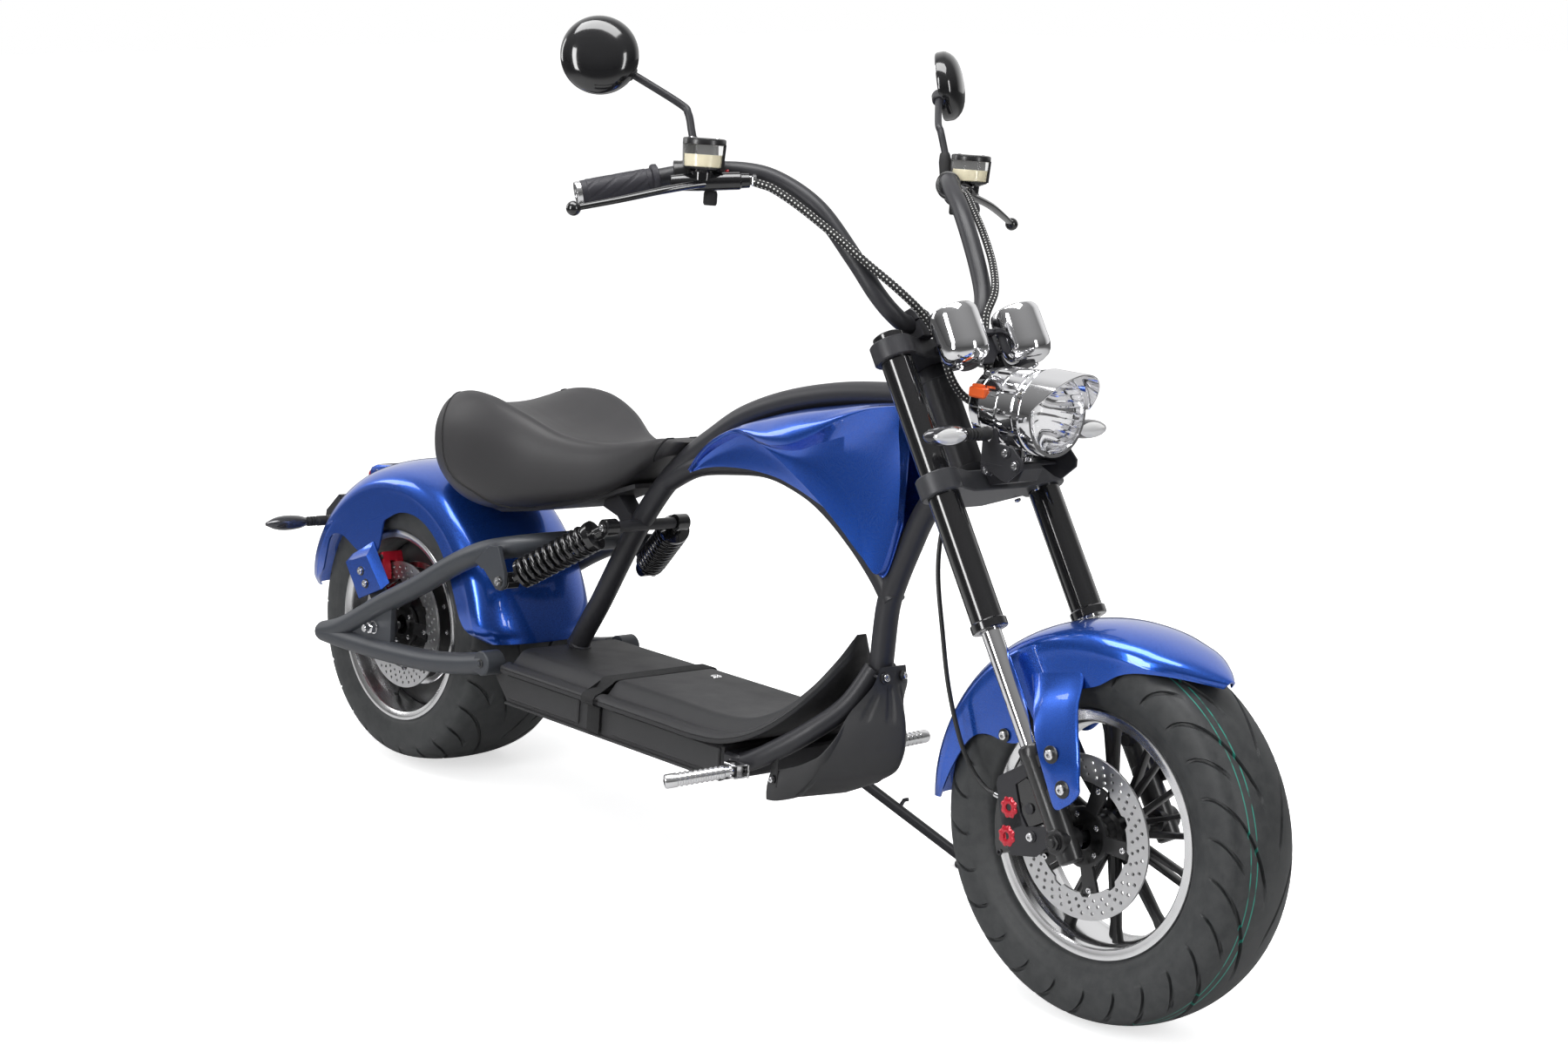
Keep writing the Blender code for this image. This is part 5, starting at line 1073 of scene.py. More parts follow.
cheek_foot = smoothed([row[3:] for row in CHEEK_RUN], 6)
for side in (-1, 1):
    rings = []
    for high, low in zip(cheek_top, cheek_foot):
        row = []
        for t in (0, 0.1, 0.3, 0.5, 0.7, 0.9, 1):
            p = high.lerp(low, t)
            out = p.z + CHEEK_BULGE * (1 - (2 * t - 1) ** 2)
            row.append((foot_x + p.x, side * out, foot_z + p.y))
        rings.append(row + [(x, y - side * CHEEK_WALL, z) for x, y, z in row[::-1]])
    shape.skin(rings)
    x, y, z = PAN_BOLT
    shape.bolt((foot_x + x, side * y, foot_z + z), (1, side * 0.25, 0.35), 0.0050, 0.0038, 0.0080, 1, 2)
    shape.bolt((foot_x - 0.0960, side * 0.1046, foot_z - 0.1334), (0, side, 0), 0.0044, 0.0030, 0.0062, 1, 2)
    tab = (foot_x - 0.1035, side * 0.1000, foot_z - 0.1450)
    shape.block(tab, (foot_x - 0.0885, side * 0.1030, foot_z - 0.1000), 0.001, 2)
finishes = [moulding, chrome, cast_black]
shape.made("belly_bucket", "chassis", CHASSIS, finishes, "plastic_grey", ["belly_pan"], 34)

# Tank panels: a pair of blue lacquered side shells between the spine's tubes. Each falls from a
# rounded crown to a sharp swept crease, hollows, comes out again and drops off a fold into a pocket.

blue = Finish("blue_lacquer", (0.018, 0.110, 0.560), 0.24, 0.72, Coat_Weight=1.0, Coat_Roughness=0.02)
flake = blue.cells(2600)
speckle = blue.noise(1400, 2, 0.5)
shade_blue = blue.mix(speckle.over(0.52, 0.10), (0.016, 0.088, 0.500), (0.026, 0.130, 0.640))
blue.set("Base Color", shade_blue)
blue.set("Metallic", 0.66 + flake * 0.25)
blue.set("Roughness", 0.20 + flake * 0.12)
# (x, heights from the bottom over the fold, the crease and the crown to the top, how far each stands out)
TANK_SECTIONS = (
    (0.640, 0.3575, 0.3590, 0.3600, 0.3610, 0.3625, 0.3640, 0.004, 0.005, 0.006, 0.006, 0.006),
    (0.672, 0.3690, 0.3880, 0.3900, 0.3915, 0.3935, 0.3955, 0.005, 0.014, 0.015, 0.015, 0.012),
    (0.715, 0.3770, 0.4150, 0.4170, 0.4190, 0.4220, 0.4250, 0.006, 0.026, 0.027, 0.027, 0.022),
    (0.770, 0.3810, 0.4370, 0.4390, 0.4410, 0.4460, 0.4515, 0.008, 0.034, 0.035, 0.035, 0.028),
    (0.825, 0.3790, 0.4290, 0.4315, 0.4340, 0.4530, 0.4710, 0.009, 0.036, 0.038, 0.041, 0.036),
    (0.865, 0.3715, 0.4130, 0.4270, 0.4335, 0.4620, 0.4825, 0.010, 0.036, 0.036, 0.046, 0.041),
    (0.905, 0.3600, 0.3930, 0.4310, 0.4415, 0.4730, 0.4920, 0.011, 0.036, 0.033, 0.050, 0.043),
    (0.950, 0.3440, 0.3670, 0.4480, 0.4610, 0.4850, 0.5010, 0.010, 0.034, 0.031, 0.050, 0.042),
    (0.995, 0.3190, 0.3340, 0.4640, 0.4870, 0.5000, 0.5095, 0.008, 0.029, 0.029, 0.046, 0.036),
    (1.035, 0.2890, 0.2990, 0.4720, 0.5050, 0.5120, 0.5160, 0.006, 0.022, 0.027, 0.040, 0.027),
    (1.066, 0.2740, 0.2800, 0.4760, 0.5140, 0.5180, 0.5200, 0.004, 0.015, 0.026, 0.034, 0.019),
    (1.092, 0.3500, 0.3600, 0.4790, 0.5190, 0.5210, 0.5225, 0.004, 0.013, 0.024, 0.028, 0.014),
)
TANK_SIDE = SPINE_TUBE + 0.0010


def eased(values, steps=8):
    """The columns of a table, each taken smoothly between its rows."""
    columns = [[p.x for p in smoothed([(v, 0, 0) for v in column], steps)] for column in zip(*values)]
    return list(zip(*columns))


for side, word in SIDES:
    rings = []
    for x, bottom, fold, second, crease, crown, top, *bulges in eased(TANK_SECTIONS):
        out_1, out_2, out_3, out_4, out_5 = bulges
        outline = [(0.0, bottom), (0.002, bottom)]
        for t in (0.25, 0.5, 0.75, 1.0):
            step = 0.0012 if 0.4 < t < 0.9 else 0.0
            outline.append((0.002 + (out_1 - 0.002) * t - step, bottom + (fold - 0.002 - bottom) * t))
        outline.append((out_2 - 0.0006, fold - 0.0006))
        outline.append((out_2, fold))
        for t in (0.2, 0.4, 0.6, 0.8):
            hollow = 0.004 * 4 * t * (1 - t) * min(1.0, (second - fold) / 0.03)
            outline.append((out_2 + (out_3 - out_2) * t - hollow, fold + (second - fold) * t))
        outline.append((out_3, second))
        for t in (0.33, 0.66):
            outline.append((out_3 + (out_4 - out_3) * t**1.3, second + (crease - second) * t))
        outline.append((out_4, crease))
        for t in (0.15, 0.3, 0.5, 0.7, 0.85, 1.0):
            belly = 0.0035 * 4 * t * (1 - t)
            outline.append((out_4 + (out_5 - out_4) * t + belly, crease + (crown - crease) * t))
        for t in (0.25, 0.5, 0.75, 1.0):
            rolled = 1 - (1 - t) ** 1.4
            outline.append((out_5 + (0.003 - out_5) * t**1.6, crown + (top - crown) * rolled))
        outline.append((0.0, top))
        rings.append([(x, side * (TANK_SIDE + out), z) for out, z in outline])
    shape = Shape()
    shape.skin(rings if side < 0 else [ring[::-1] for ring in rings])
    shape.made(f"tank_shell_{word}", "chassis", CHASSIS, [blue], "blue", [f"tank_panel_{word}"], 24)

# Seat: a broad sprung saddle with a deep dished top. Foam under stretched black leatherette, in two
# panels with a seam near the tail and one across the nose.

leather = Finish("leatherette", (0.030, 0.029, 0.031), 0.40, 0.0, Specular_IOR_Level=0.45)
pores = leather.cells(1500)
leather.set("Roughness", 0.40 + leather.noise(18, 4, 0.6) * 0.14)
leather.bump(pores, 0.00022, 0.30)
thread = Finish("seam_thread", (0.010, 0.010, 0.011), 0.7)
# (x at the rim, half width, rim, dish, bottom, slope)
SEAT_SECTIONS = (
    (0.060, 0.050, 0.3366, 0.000, 0.2966, 0.0),
    (0.085, 0.098, 0.3716, 0.004, 0.2866, 0.0),
    (0.130, 0.132, 0.4096, 0.012, 0.2666, 0.0),
    (0.190, 0.150, 0.4296, 0.026, 0.2466, 0.0),
    (0.260, 0.154, 0.4296, 0.040, 0.2416, 0.0),
    (0.330, 0.142, 0.4116, 0.036, 0.2536, 0.0),
    (0.400, 0.112, 0.3856, 0.016, 0.2736, 0.0),
    (0.470, 0.078, 0.3796, 0.002, 0.2966, 0.0),
    (0.530, 0.056, 0.3896, 0.000, 0.3216, 0.3),
    (0.580, 0.044, 0.4016, 0.000, 0.3496, 0.7),
    (0.603, 0.030, 0.4016, 0.000, 0.3696, 0.9),
)
# (share of the half width, share of the height, share of the dish)
SEAT_RING = (
    (0.00, 0.02, 0), (0.55, 0.02, 0), (0.74, 0.03, 0), (0.88, 0.12, 0), (0.965, 0.28, 0), (1.0, 0.52, 0),
    (0.985, 0.74, 0), (0.90, 0.915, 0), (0.78, 0.99, 0.0), (0.64, 0.99, 0.22), (0.42, 0.99, 0.68),
    (0.20, 0.99, 0.93),
    (0.00, 0.99, 1.0),
)
# (station, ring point) from the rim down: one seam turns forward above the base, one rounds the nose
SEAT_SEAMS = (
    ((0.158, 43), (0.159, 37), (0.163, 30), (0.173, 22), (0.205, 18.5), (0.260, 16), (0.320, 9), (0.350, 4)),
    ((0.5905, 50), (0.591, 42), (0.592, 33), (0.593, 22), (0.594, 12)),
)
seat_ring = smoothed(SEAT_RING, 5)
rings = []
_, tail_half, tail_rim, _, tail_bottom, _ = SEAT_SECTIONS[0]
tail = [(0.0535 + 0.0065 * t, tail_half * (t**0.5), tail_rim, 0, tail_bottom, 0) for t in (0.08, 0.3, 0.6)]
stations = tail + eased(SEAT_SECTIONS)
x, half, rim, dish, bottom, slope = SEAT_SECTIONS[-1]
for t in (0.35, 0.65, 0.88, 0.97):
    narrowed = half * (1 - t**2) ** 0.5
    stations.append((x + 0.010 * t, narrowed, rim - 0.003 * t, dish, bottom + 0.008 * t, slope))
for i, (x, half, rim, dish, bottom, slope) in enumerate(stations):
    if i < len(tail):
        middle = (rim + bottom) / 2
        rim = middle + (rim - middle) * half / tail_half
        bottom = middle - (middle - bottom) * half / tail_half
    right = [(-half * p.x, bottom + (rim - bottom) * p.y - dish * p.z) for p in seat_ring]
    ring = right + [(-y, z) for y, z in right[-2:0:-1]]
    rings.append([(x + slope * (z - rim), y, z) for y, z in ring])
shape = Shape()
shape.skin(rings)


def on_seat(x, at):
    """The place on the seat's skin at the station x and the ring point at, which may lie between two."""
    k = max(i for i, station in enumerate(stations[:-1]) if station[0] <= x)
    share = (x - stations[k][0]) / (stations[k + 1][0] - stations[k][0])
    j = int(at)
    near = Vector(rings[k][j]).lerp(Vector(rings[k][j + 1]), at - j)
    return near.lerp(Vector(rings[k + 1][j]).lerp(Vector(rings[k + 1][j + 1]), at - j), share)


for seam in SEAT_SEAMS:
    run = [on_seat(p.x, p.y) for p in smoothed([(x, at, 0) for x, at in seam], 10)]
    for side in (-1, 1):
        shape.sweep([(p.x, -side * p.y, p.z) for p in run], 0.0017, 8, 1)
seat = shape.made("saddle", "chassis", CHASSIS, [leather, thread], "leather", ["seat"], 60)
# (x, half width, bottom) of the moulded base under the foam
SEAT_BASE = (
    (0.19, 0.090, 0.2440), (0.26, 0.096, 0.2390), (0.33, 0.088, 0.2510), (0.40, 0.066, 0.2710),
    (0.47, 0.044, 0.2950), (0.52, 0.030, 0.3150),
)
shape = Shape()
rings = []
for x, half, bottom in SEAT_BASE:
    corners = ((-1, 0.006), (1, 0.006), (0.92, -0.001), (-0.92, -0.001))
    rings.append([(x, half * share, bottom + rise) for share, rise in corners])
shape.skin(rings)
shape.made("saddle_base", "chassis", CHASSIS, [moulding], "plastic_grey", (), 30)

# Fenders: pressed steel shells in blue lacquer, swept about their wheel. The rear one has an arch
# over the wheel's dish with a notch behind it; the front one's blades run down to the fork's feet.

FENDER_WALL = 0.003
# (share of the width, share of the fall from the crown)
FENDER_SECTION = ((1.0, 1.0), (0.96, 0.66), (0.80, 0.33), (0.45, 0.08))


def fender_shape(half, drop, stations):
    """A shell from (angle up from ahead, share of the width, radius of its free edge, of its crown)."""
    outer, inner = [], []
    for angle, share, edge, top in eased(stations):
        for sheet, deep in ((outer, 0.0), (inner, FENDER_WALL)):
            wide = half * share - deep
            radius = top - deep
            fall = min(drop, 0.8 * (radius - edge))
            side = [(wide, edge), (wide, 0.25 * edge + 0.75 * (radius - fall))]
            side += [(wide * a, radius - fall * b) for a, b in FENDER_SECTION]
            row = smooth_pairs(side + [(0, radius)] + [(-y, r) for y, r in side[::-1]], 4)
            sheet.append([(r * cos(radians(angle)), y, r * sin(radians(angle))) for y, r in row])
    shape = Shape()
    shape.skin([out[::-1] + back for out, back in zip(outer, inner)])
    return shape


REAR_FENDER = (
    (4, 0.80, 0.248, 0.290),
    (8, 0.96, 0.222, 0.288),
    (14, 1.0, 0.208, 0.286),
    (24, 1.0, 0.202, 0.284),
    (38, 1.0, 0.204, 0.282),
    (54, 1.0, 0.210, 0.282),
    (70, 1.0, 0.210, 0.282),
    (84, 1.0, 0.200, 0.282),
    (94, 1.0, 0.186, 0.282),
    (100, 1.0, 0.176, 0.282),
    (104, 1.0, 0.150, 0.282),
    (112, 1.0, 0.128, 0.282),
    (126, 1.0, 0.132, 0.282),
    (134, 1.0, 0.160, 0.283),
    (140, 1.0, 0.205, 0.284),
    (147, 1.0, 0.225, 0.285),
    (156, 0.99, 0.222, 0.287),
    (164, 0.96, 0.224, 0.290),
    (171, 0.88, 0.244, 0.295),
    (176, 0.70, 0.268, 0.300),
)
shape = fender_shape(0.118, 0.045, REAR_FENDER)
shape.made("rear_fender_shell", "chassis", CHASSIS, [blue], "blue", ["rear_fender"], 34)
FRONT_FENDER = (
    (55, 0.12, 0.272, 0.284),
    (60, 0.45, 0.264, 0.282),
    (68, 0.80, 0.250, 0.280),
    (78, 0.96, 0.230, 0.278),
    (86, 1.0, 0.205, 0.277),
    (92, 1.0, 0.196, 0.277),
    (97, 1.0, 0.192, 0.277),
    (106, 1.0, 0.186, 0.277),
    (115, 1.0, 0.182, 0.277),
    (122, 1.0, 0.168, 0.277),
    (130, 1.0, 0.152, 0.277),
    (139, 1.0, 0.151, 0.277),
    (145, 1.0, 0.166, 0.277),
    (150, 1.0, 0.196, 0.277),
    (156, 1.0, 0.214, 0.277),
    (168, 0.98, 0.228, 0.278),
    (178, 0.90, 0.244, 0.281),
    (183, 0.75, 0.260, 0.284),
)
shape = fender_shape(0.0745, 0.030, FRONT_FENDER)
shape.made("front_fender_shell", "steering", FRONT_WHEEL, [blue], "blue", ["front_fender"], 34)
# (out to the side, then back edge and front edge as ahead of the axis and up it)
BLADE_ROWS = (
    (0.0725, 0.0480, 0.2330, 0.1300, 0.2080),
    (0.0745, 0.0480, 0.2195, 0.1310, 0.1900),
    (0.0830, 0.0480, 0.1960, 0.1285, 0.1720),
    (0.0960, 0.0480, 0.1700, 0.1225, 0.1500),
    (0.1090, 0.0485, 0.1400, 0.1190, 0.1180),
    (0.1185, 0.0506, 0.1059, 0.1152, 0.0860),
    (0.1210, 0.0503, 0.0708, 0.1029, 0.0567),
    (0.1212, 0.0487, 0.0420, 0.0960, 0.0430),
    (0.1212, 0.0560, 0.0352, 0.0780, 0.0362),
)
# (share of the way from the back edge to the front one, how far the face falls away there)
BLADE_FACE = (
    (0, 0.0016), (0.015, 0.0006), (0.06, 0), (0.25, 0), (0.5, 0), (0.75, 0), (0.94, 0), (0.985, 0.0006),
    (1, 0.0016),
)
# (ahead, up, out to the face) of the screws on the fork's foot
BLADE_SCREWS = ((0.0734, 0.1040, 0.1188), (0.0736, 0.0571, 0.1212))
shape = Shape()
for side in (-1, 1):
    back_edge = smoothed([(x, side * y, u) for y, x, u, _, _ in BLADE_ROWS], 5)
    front_edge = smoothed([(x, side * y, u) for y, _, _, x, u in BLADE_ROWS], 5)
    rings = []
    for behind, ahead in zip(back_edge, front_edge):
        row = [behind.lerp(ahead, t) for t, _ in BLADE_FACE]
        outer = [p - Vector((0, side * fall, 0)) for p, (_, fall) in zip(row, BLADE_FACE)]
        inner = [p - Vector((0, side * FENDER_WALL, 0)) for p in row[::-1]]
        rings.append(outer + inner)
    shape.skin(rings)
    for x, u, out in BLADE_SCREWS:
        pad = (0.0420, side * 0.1040, u - 0.0100)
        shape.block(pad, (x + 0.0090, side * (out - FENDER_WALL), u + 0.0100), 0.0030, 2)
        washer = ((0, 0.0118), (0.0010, 0.0118), (0.0016, 0.0108))
        shape.turn((x, side * (out - 0.0004), u), (0, side, 0), washer, 40, 2)
        shape.bolt((x, side * (out + 0.0012), u), (0, side, 0), 0.0066, 0.0042, 0, 1, 2)
    washer = ((0, 0.0092), (0.0012, 0.0092), (0.0016, 0.0084))
    shape.turn((-0.0297, side * 0.0760, 0.1609), (0, side, 0), washer, 36, 2)
    shape.bolt((-0.0297, side * 0.0774, 0.1609), (0, side, 0), 0.0058, 0.0036, 0, 1, 2)
shape.made("fender_blades", "steering", STEERING, [blue, chrome, cast_black], "blue", (), 34)

# Fork: leading legs with gloss black covers over chrome tubes, and black cast feet that carry the
# axle. A rubber wiper closes the end of each cover.

FORK_X = 0.030
LEG_Y = 0.100
COVER_LOW = 0.2885
cover = (
    (0, 0.0236), (0.0012, 0.0250), (0.0110, 0.0250), (0.0122, 0.0240), (0.0134, 0.0220), (0.1900, 0.0220),
    (0.4255, 0.0220), (0.4265, 0.0214), (0.4275, 0.0190),
)
wiper = ((0, 0.0150), (0.0010, 0.0185), (0.0040, 0.0185), (0.0050, 0.0150))
cap = (
    (0, 0.0185), (0.0012, 0.0185), (0.0020, 0.0175), (0.0020, 0.0070), (-0.0010, 0.0068), (-0.0011, 0.0001),
)
foot = (
    (0, 0.0130), (0.0020, 0.0160), (0.0100, 0.0168), (0.0600, 0.0180), (0.0800, 0.0176), (0.1380, 0.0176),
    (0.1440, 0.0184), (0.1560, 0.0184), (0.1590, 0.0165), (0.1600, 0.0140),
)
axle_eye = ((0, 0.0150), (0.0010, 0.0165), (0.0361, 0.0165), (0.0372, 0.0150))
lug = ((0, 0.0080), (0.0008, 0.0090), (0.0200, 0.0090))
for side, word in SIDES:
    y = side * LEG_Y
    shape = Shape()
    shape.turn((FORK_X, y, COVER_LOW), UP, cover, 64)
    shape.turn((FORK_X, y, COVER_LOW - FIT), UP, wiper, 48, 1)
    shape.turn((FORK_X, y, 0.7150), UP, cap, 48, 1)
    finishes = [gloss_black, cast_black]
    shape.made(
        f"fork_cover_{word}", "steering", STEERING, finishes, "gloss_black", [f"fork_outer_{word}"], 30
    )
    shape = Shape()
    shape.turn((FORK_X, y, 0.1303), UP, ((0, 0.0135), (0.1578, 0.0135)), 56)
    shape.made(f"fork_slider_{word}", "steering", STEERING, [chrome], "chrome", [f"fork_inner_{word}"], 30)
    shape = Shape()
    shape.turn((FORK_X, y, -0.0300), UP, foot, 56)
    shape.turn((FORK_X, y - side * 0.0186, 0), (0, side, 0), axle_eye, 48)
    for u in (0.066, 0.112):
        shape.turn((FORK_X + 0.006, side * 0.0748, u), (0, side, 0), lug, 32)
    shape.bolt((FORK_X - 0.0170, y, 0.018), (-1, 0, 0), 0.0045, 0.0030, 0, 1, 0)
    name = f"fork_foot_cast_{word}"
    shape.made(name, "steering", STEERING, [cast_black, chrome], "satin_black", [f"fork_foot_{word}"], 36)

# Fork clamps: cast plates round both legs with pinch bolts, dark grey below and satin black above,
# where two risers hold the bar under caps.

clamp_grey = Finish("dark_grey_casting", (0.042, 0.043, 0.048), 0.42, 0.15)
clamp_grey.bump(clamp_grey.noise(420, 3, 0.5), 0.00012, 0.4)


def clamp_plate(shape, low, deep, reach):
    """A plate from low to low + deep that reaches round both legs."""
    right_end = arc((FORK_X, -LEG_Y), reach, 40, -220, 26)
    left_end = arc((FORK_X, LEG_Y), reach, 220, -40, 26)
    front = [(0.0120, 0.050), (0.0118, 0.040), (0.0118, -0.040), (0.0120, -0.050)]
    front = [(FORK_X + x, y) for x, y in front]
    back = [(-0.0218, -0.024), (-0.0222, -0.012), (-0.0222, 0.012), (-0.0218, 0.024)]
    shape.plate(right_end + back + left_end + front, low, low + deep, "Z", 0.0018)


shape = Shape()
clamp_plate(shape, 0.480, 0.030, 0.0308)
shape.turn((0, 0, 0.484), UP, ((0, 0.0125), (0.002, 0.0130), (0.224, 0.0130), (0.2265, 0.0118)), 40)
for side in (-1, 1):
    for x in (FORK_X - 0.0330, FORK_X + 0.0060):
        shape.bolt((x, side * (LEG_Y - 0.0205), 0.4796), (0, 0, -1), 0.0046, 0.0036, 0, 1, 2)
finishes = [clamp_grey, chrome, cast_black]
shape.made("lower_fork_clamp", "steering", STEERING, finishes, "dark_grey", ["lower_clamp"], 34)
CLAMP_LOW = 0.678
CLAMP_TOP = 0.706
BAR_SEAT = (FORK_X + 0.0074, CLAMP_TOP + 0.0223)
RISER_IN = 0.034
RISER_OUT = 0.060
shape = Shape()
clamp_plate(shape, CLAMP_LOW, 0.028, 0.0298)
x, z = BAR_SEAT
riser = [(-0.019, CLAMP_TOP - 0.002), (0.019, CLAMP_TOP - 0.002), (0.0205, z - 0.0006), (-0.0205, z - 0.0006)]
cap_right = [(0.0205, 0.0006), (0.0195, 0.010), (0.0120, 0.0200)]
cap = cap_right + [(0, 0.0206)] + [(-ahead, rise) for ahead, rise in cap_right[::-1]]
for side in (-1, 1):
    shape.plate([(x + ahead, u) for ahead, u in riser], side * RISER_IN, side * RISER_OUT, "Y", 0.0012)
    shape.plate(
        [(x + ahead, z + rise) for ahead, rise in cap], side * RISER_IN, side * RISER_OUT, "Y", 0.0012
    )
    for ahead in (-0.0160, 0.0160):
        for across in (0.0405, 0.0535):
            seat = (x + ahead * 0.95, side * across, z + 0.0128)
            shape.bolt(seat, (ahead * 18, 0, 1), 0.0032, 0.0034, 0, 1, 2)
    shape.bolt((FORK_X - 0.0300, side * LEG_Y, 0.692), (-1, 0, 0), 0.0044, 0.0034, 0, 1, 2)
nut = ((0, 0.0150), (0.0010, 0.0160), (0.0085, 0.0160), (0.0095, 0.0150), (0.0100, 0.0110))
shape.turn((0, 0, CLAMP_TOP), UP, nut, 6, 1)
finishes = [powder, chrome, cast_black]
shape.made("upper_fork_clamp", "steering", STEERING, finishes, "satin_black", ["upper_clamp"], 34)

# Handlebar: one swept tube of mild steel in satin black, held in the risers. It is bent up from them
# and out to the grips.

# (ahead of the legs' middles, left, above the upper clamp), from its middle to its left end
BAR_HALF = (
    (0.0074, 0.000, 0.0223),
    (0.0074, 0.030, 0.0223),
    (0.0077, 0.064, 0.0227),
    (0.0111, 0.087, 0.0365),
    (0.0114, 0.106, 0.0671),
    (0.0079, 0.122, 0.1226),
    (-0.0039, 0.143, 0.2012),
    (-0.0281, 0.170, 0.2557),
    (-0.0534, 0.202, 0.2848),
    (-0.0966, 0.250, 0.3063),
    (-0.1406, 0.320, 0.3117),
    (-0.1815, 0.384, 0.3163),
)


def bar_place(side, ahead, left_of, above):
    return Vector((FORK_X + ahead, side * left_of, CLAMP_TOP + above))


bar_path = [bar_place(-1, *p) for p in BAR_HALF[::-1]] + [bar_place(1, *p) for p in BAR_HALF[1:]]
shape = Shape()
shape.sweep(smoothed(bar_path, 8), 0.0127, 36)
shape.made("swept_bar", "steering", STEERING, [powder], "satin_black", ["handlebar"], 34)

# Grips: soft black rubber sleeves with shallow slanted pads between a flange and a bar end of
# turned aluminium. The right one turns as the throttle on the real scooter.

grip_rubber = Finish("grip_rubber", (0.020, 0.019, 0.026), 0.58)
grip_rubber.bump(grip_rubber.noise(900, 2, 0.5), 0.0001, 0.3)
GRIP_RADIUS = 0.0158
GRIP_COLUMNS = 72
PADS_ROUND = 6
PAD_PITCH = 0.030
PAD_TALL = 0.0007
flange = ((-0.1050, 0.0180), (-0.1040, 0.0200), (-0.0990, 0.0205), (-0.0965, 0.0195), (-0.0950, 0.0162))
weight = (
    (0.0018, 0.0150), (0.0030, 0.0158), (0.0090, 0.0158), (0.0102, 0.0148), (0.0102, 0.0060),
    (0.0090, 0.0058),
    (0.0089, 0.0001),
)
for side, word in SIDES:
    end = bar_place(side, *BAR_HALF[-1])
    way = (end - bar_place(side, *BAR_HALF[-2])).normalized()
    shape = Shape()
    across = way.orthogonal().normalized()
    other = way.cross(across)
    rings = []
    for t in np.linspace(0.0020, -0.0950, 120):
        ring = []
        for j in range(GRIP_COLUMNS):
            a = 2 * pi * j / GRIP_COLUMNS
            slant = (a / (2 * pi) * PADS_ROUND + t / PAD_PITCH) % 1.0
            padded = abs(slant - 0.5) <= 0.36 and -0.088 <= t <= -0.006
            r = GRIP_RADIUS + (PAD_TALL if padded else 0.0)
            ring.append(end + way * t + r * (across * cos(a) + other * sin(a)))
        rings.append(ring)
    shape.skin(rings)
    shape.turn(end, way, flange, 56)
    shape.turn(end - way * 0.0001, way, weight, 48, 1)
    shape.made(
        f"grip_sleeve_{word}", "steering", STEERING, [grip_rubber, polished], "rubber", [f"grip_{word}"], 28
    )

# Brake controls: on each side a lever with a ball end in a cast perch, a master cylinder with a
# clear fluid cup under a black cap, the switch housing and the mirror's rubber boot.

clear_plastic = Finish("clear_plastic", (0.96, 0.96, 0.95), 0.04, 0.0, Transmission_Weight=0.95, IOR=1.15)
fluid = Finish("brake_fluid", (0.80, 0.73, 0.52), 0.12, 0.0, Coat_Weight=0.4)
red_plastic = Finish("red_plastic", (0.42, 0.012, 0.020), 0.28, 0.0, Coat_Weight=0.4)
FLUID_TOP = 0.036
UPRIGHT = Vector((sin(RAKE), 0, cos(RAKE)))
LEVEL_AHEAD = Vector((cos(RAKE), 0, -sin(RAKE)))
PERCH = BAR_HALF[9]
housing = (
    (0, 0.0150), (0.0015, 0.0180), (0.0220, 0.0190), (0.0230, 0.0170), (0.0245, 0.0170), (0.0255, 0.0203),
    (0.0500, 0.0205), (0.0515, 0.0185), (0.0600, 0.0178), (0.0690, 0.0185), (0.0700, 0.0160),
)
cylinder = (
    (0, 0.0090), (0.0010, 0.0100), (0.0120, 0.0104), (0.0140, 0.0122), (0.0700, 0.0124), (0.0900, 0.0116),
    (0.1070, 0.0100), (0.1080, 0.0085),
)
# (stations up the fluid cup, finish): its foot, the clear wall, the fluid and the cap
CUP_PARTS = (
    (((0, 0.013), (0.0015, 0.015), (0.012, 0.0155), (0.0165, 0.0262), (0.019, 0.0268), (0.0195, 0.0255)), 1),
    (((0.0196, 0.0252), (0.0200, 0.0256), (0.0486, 0.0272), (0.0490, 0.0268)), 2),
    (((0.0199, 0.0236), (0.0202, 0.0240), (FLUID_TOP - 0.0003, 0.0247), (FLUID_TOP, 0.0243)), 3),
    (((0.0489, 0.0278), (0.0494, 0.0294), (0.0550, 0.0296), (0.0570, 0.0286), (0.0578, 0.0255)), 0),
)
hose_bolt = ((0, 0.0062), (0.0100, 0.0062), (0.0105, 0.0078), (0.0150, 0.0078), (0.0155, 0.0062))
banjo_eye = ((0, 0.0070), (0.0008, 0.0078), (0.0112, 0.0078), (0.0120, 0.0070))
rubber_boot = (
    (0, 0.0098), (0.0030, 0.0098), (0.0040, 0.0084), (0.0060, 0.0084), (0.0070, 0.0096), (0.0300, 0.0098),
    (0.0400, 0.0080), (0.0434, 0.0066),
)
# (ahead, left, above) of the lever's middle line from the perch, from its pivot to its ball
LEVER = (
    (0.0225, 0.008, -0.0300), (0.0140, 0.036, -0.0302), (-0.0015, 0.080, -0.0322), (-0.0259, 0.130, -0.0334),
    (-0.0569, 0.1848, -0.0314),
)


def near_bar(side, ahead, left_of, above):
    """A place given from the bar at the perch."""
    return bar_place(side, PERCH[0] + ahead, PERCH[1] + left_of, PERCH[2] + above)


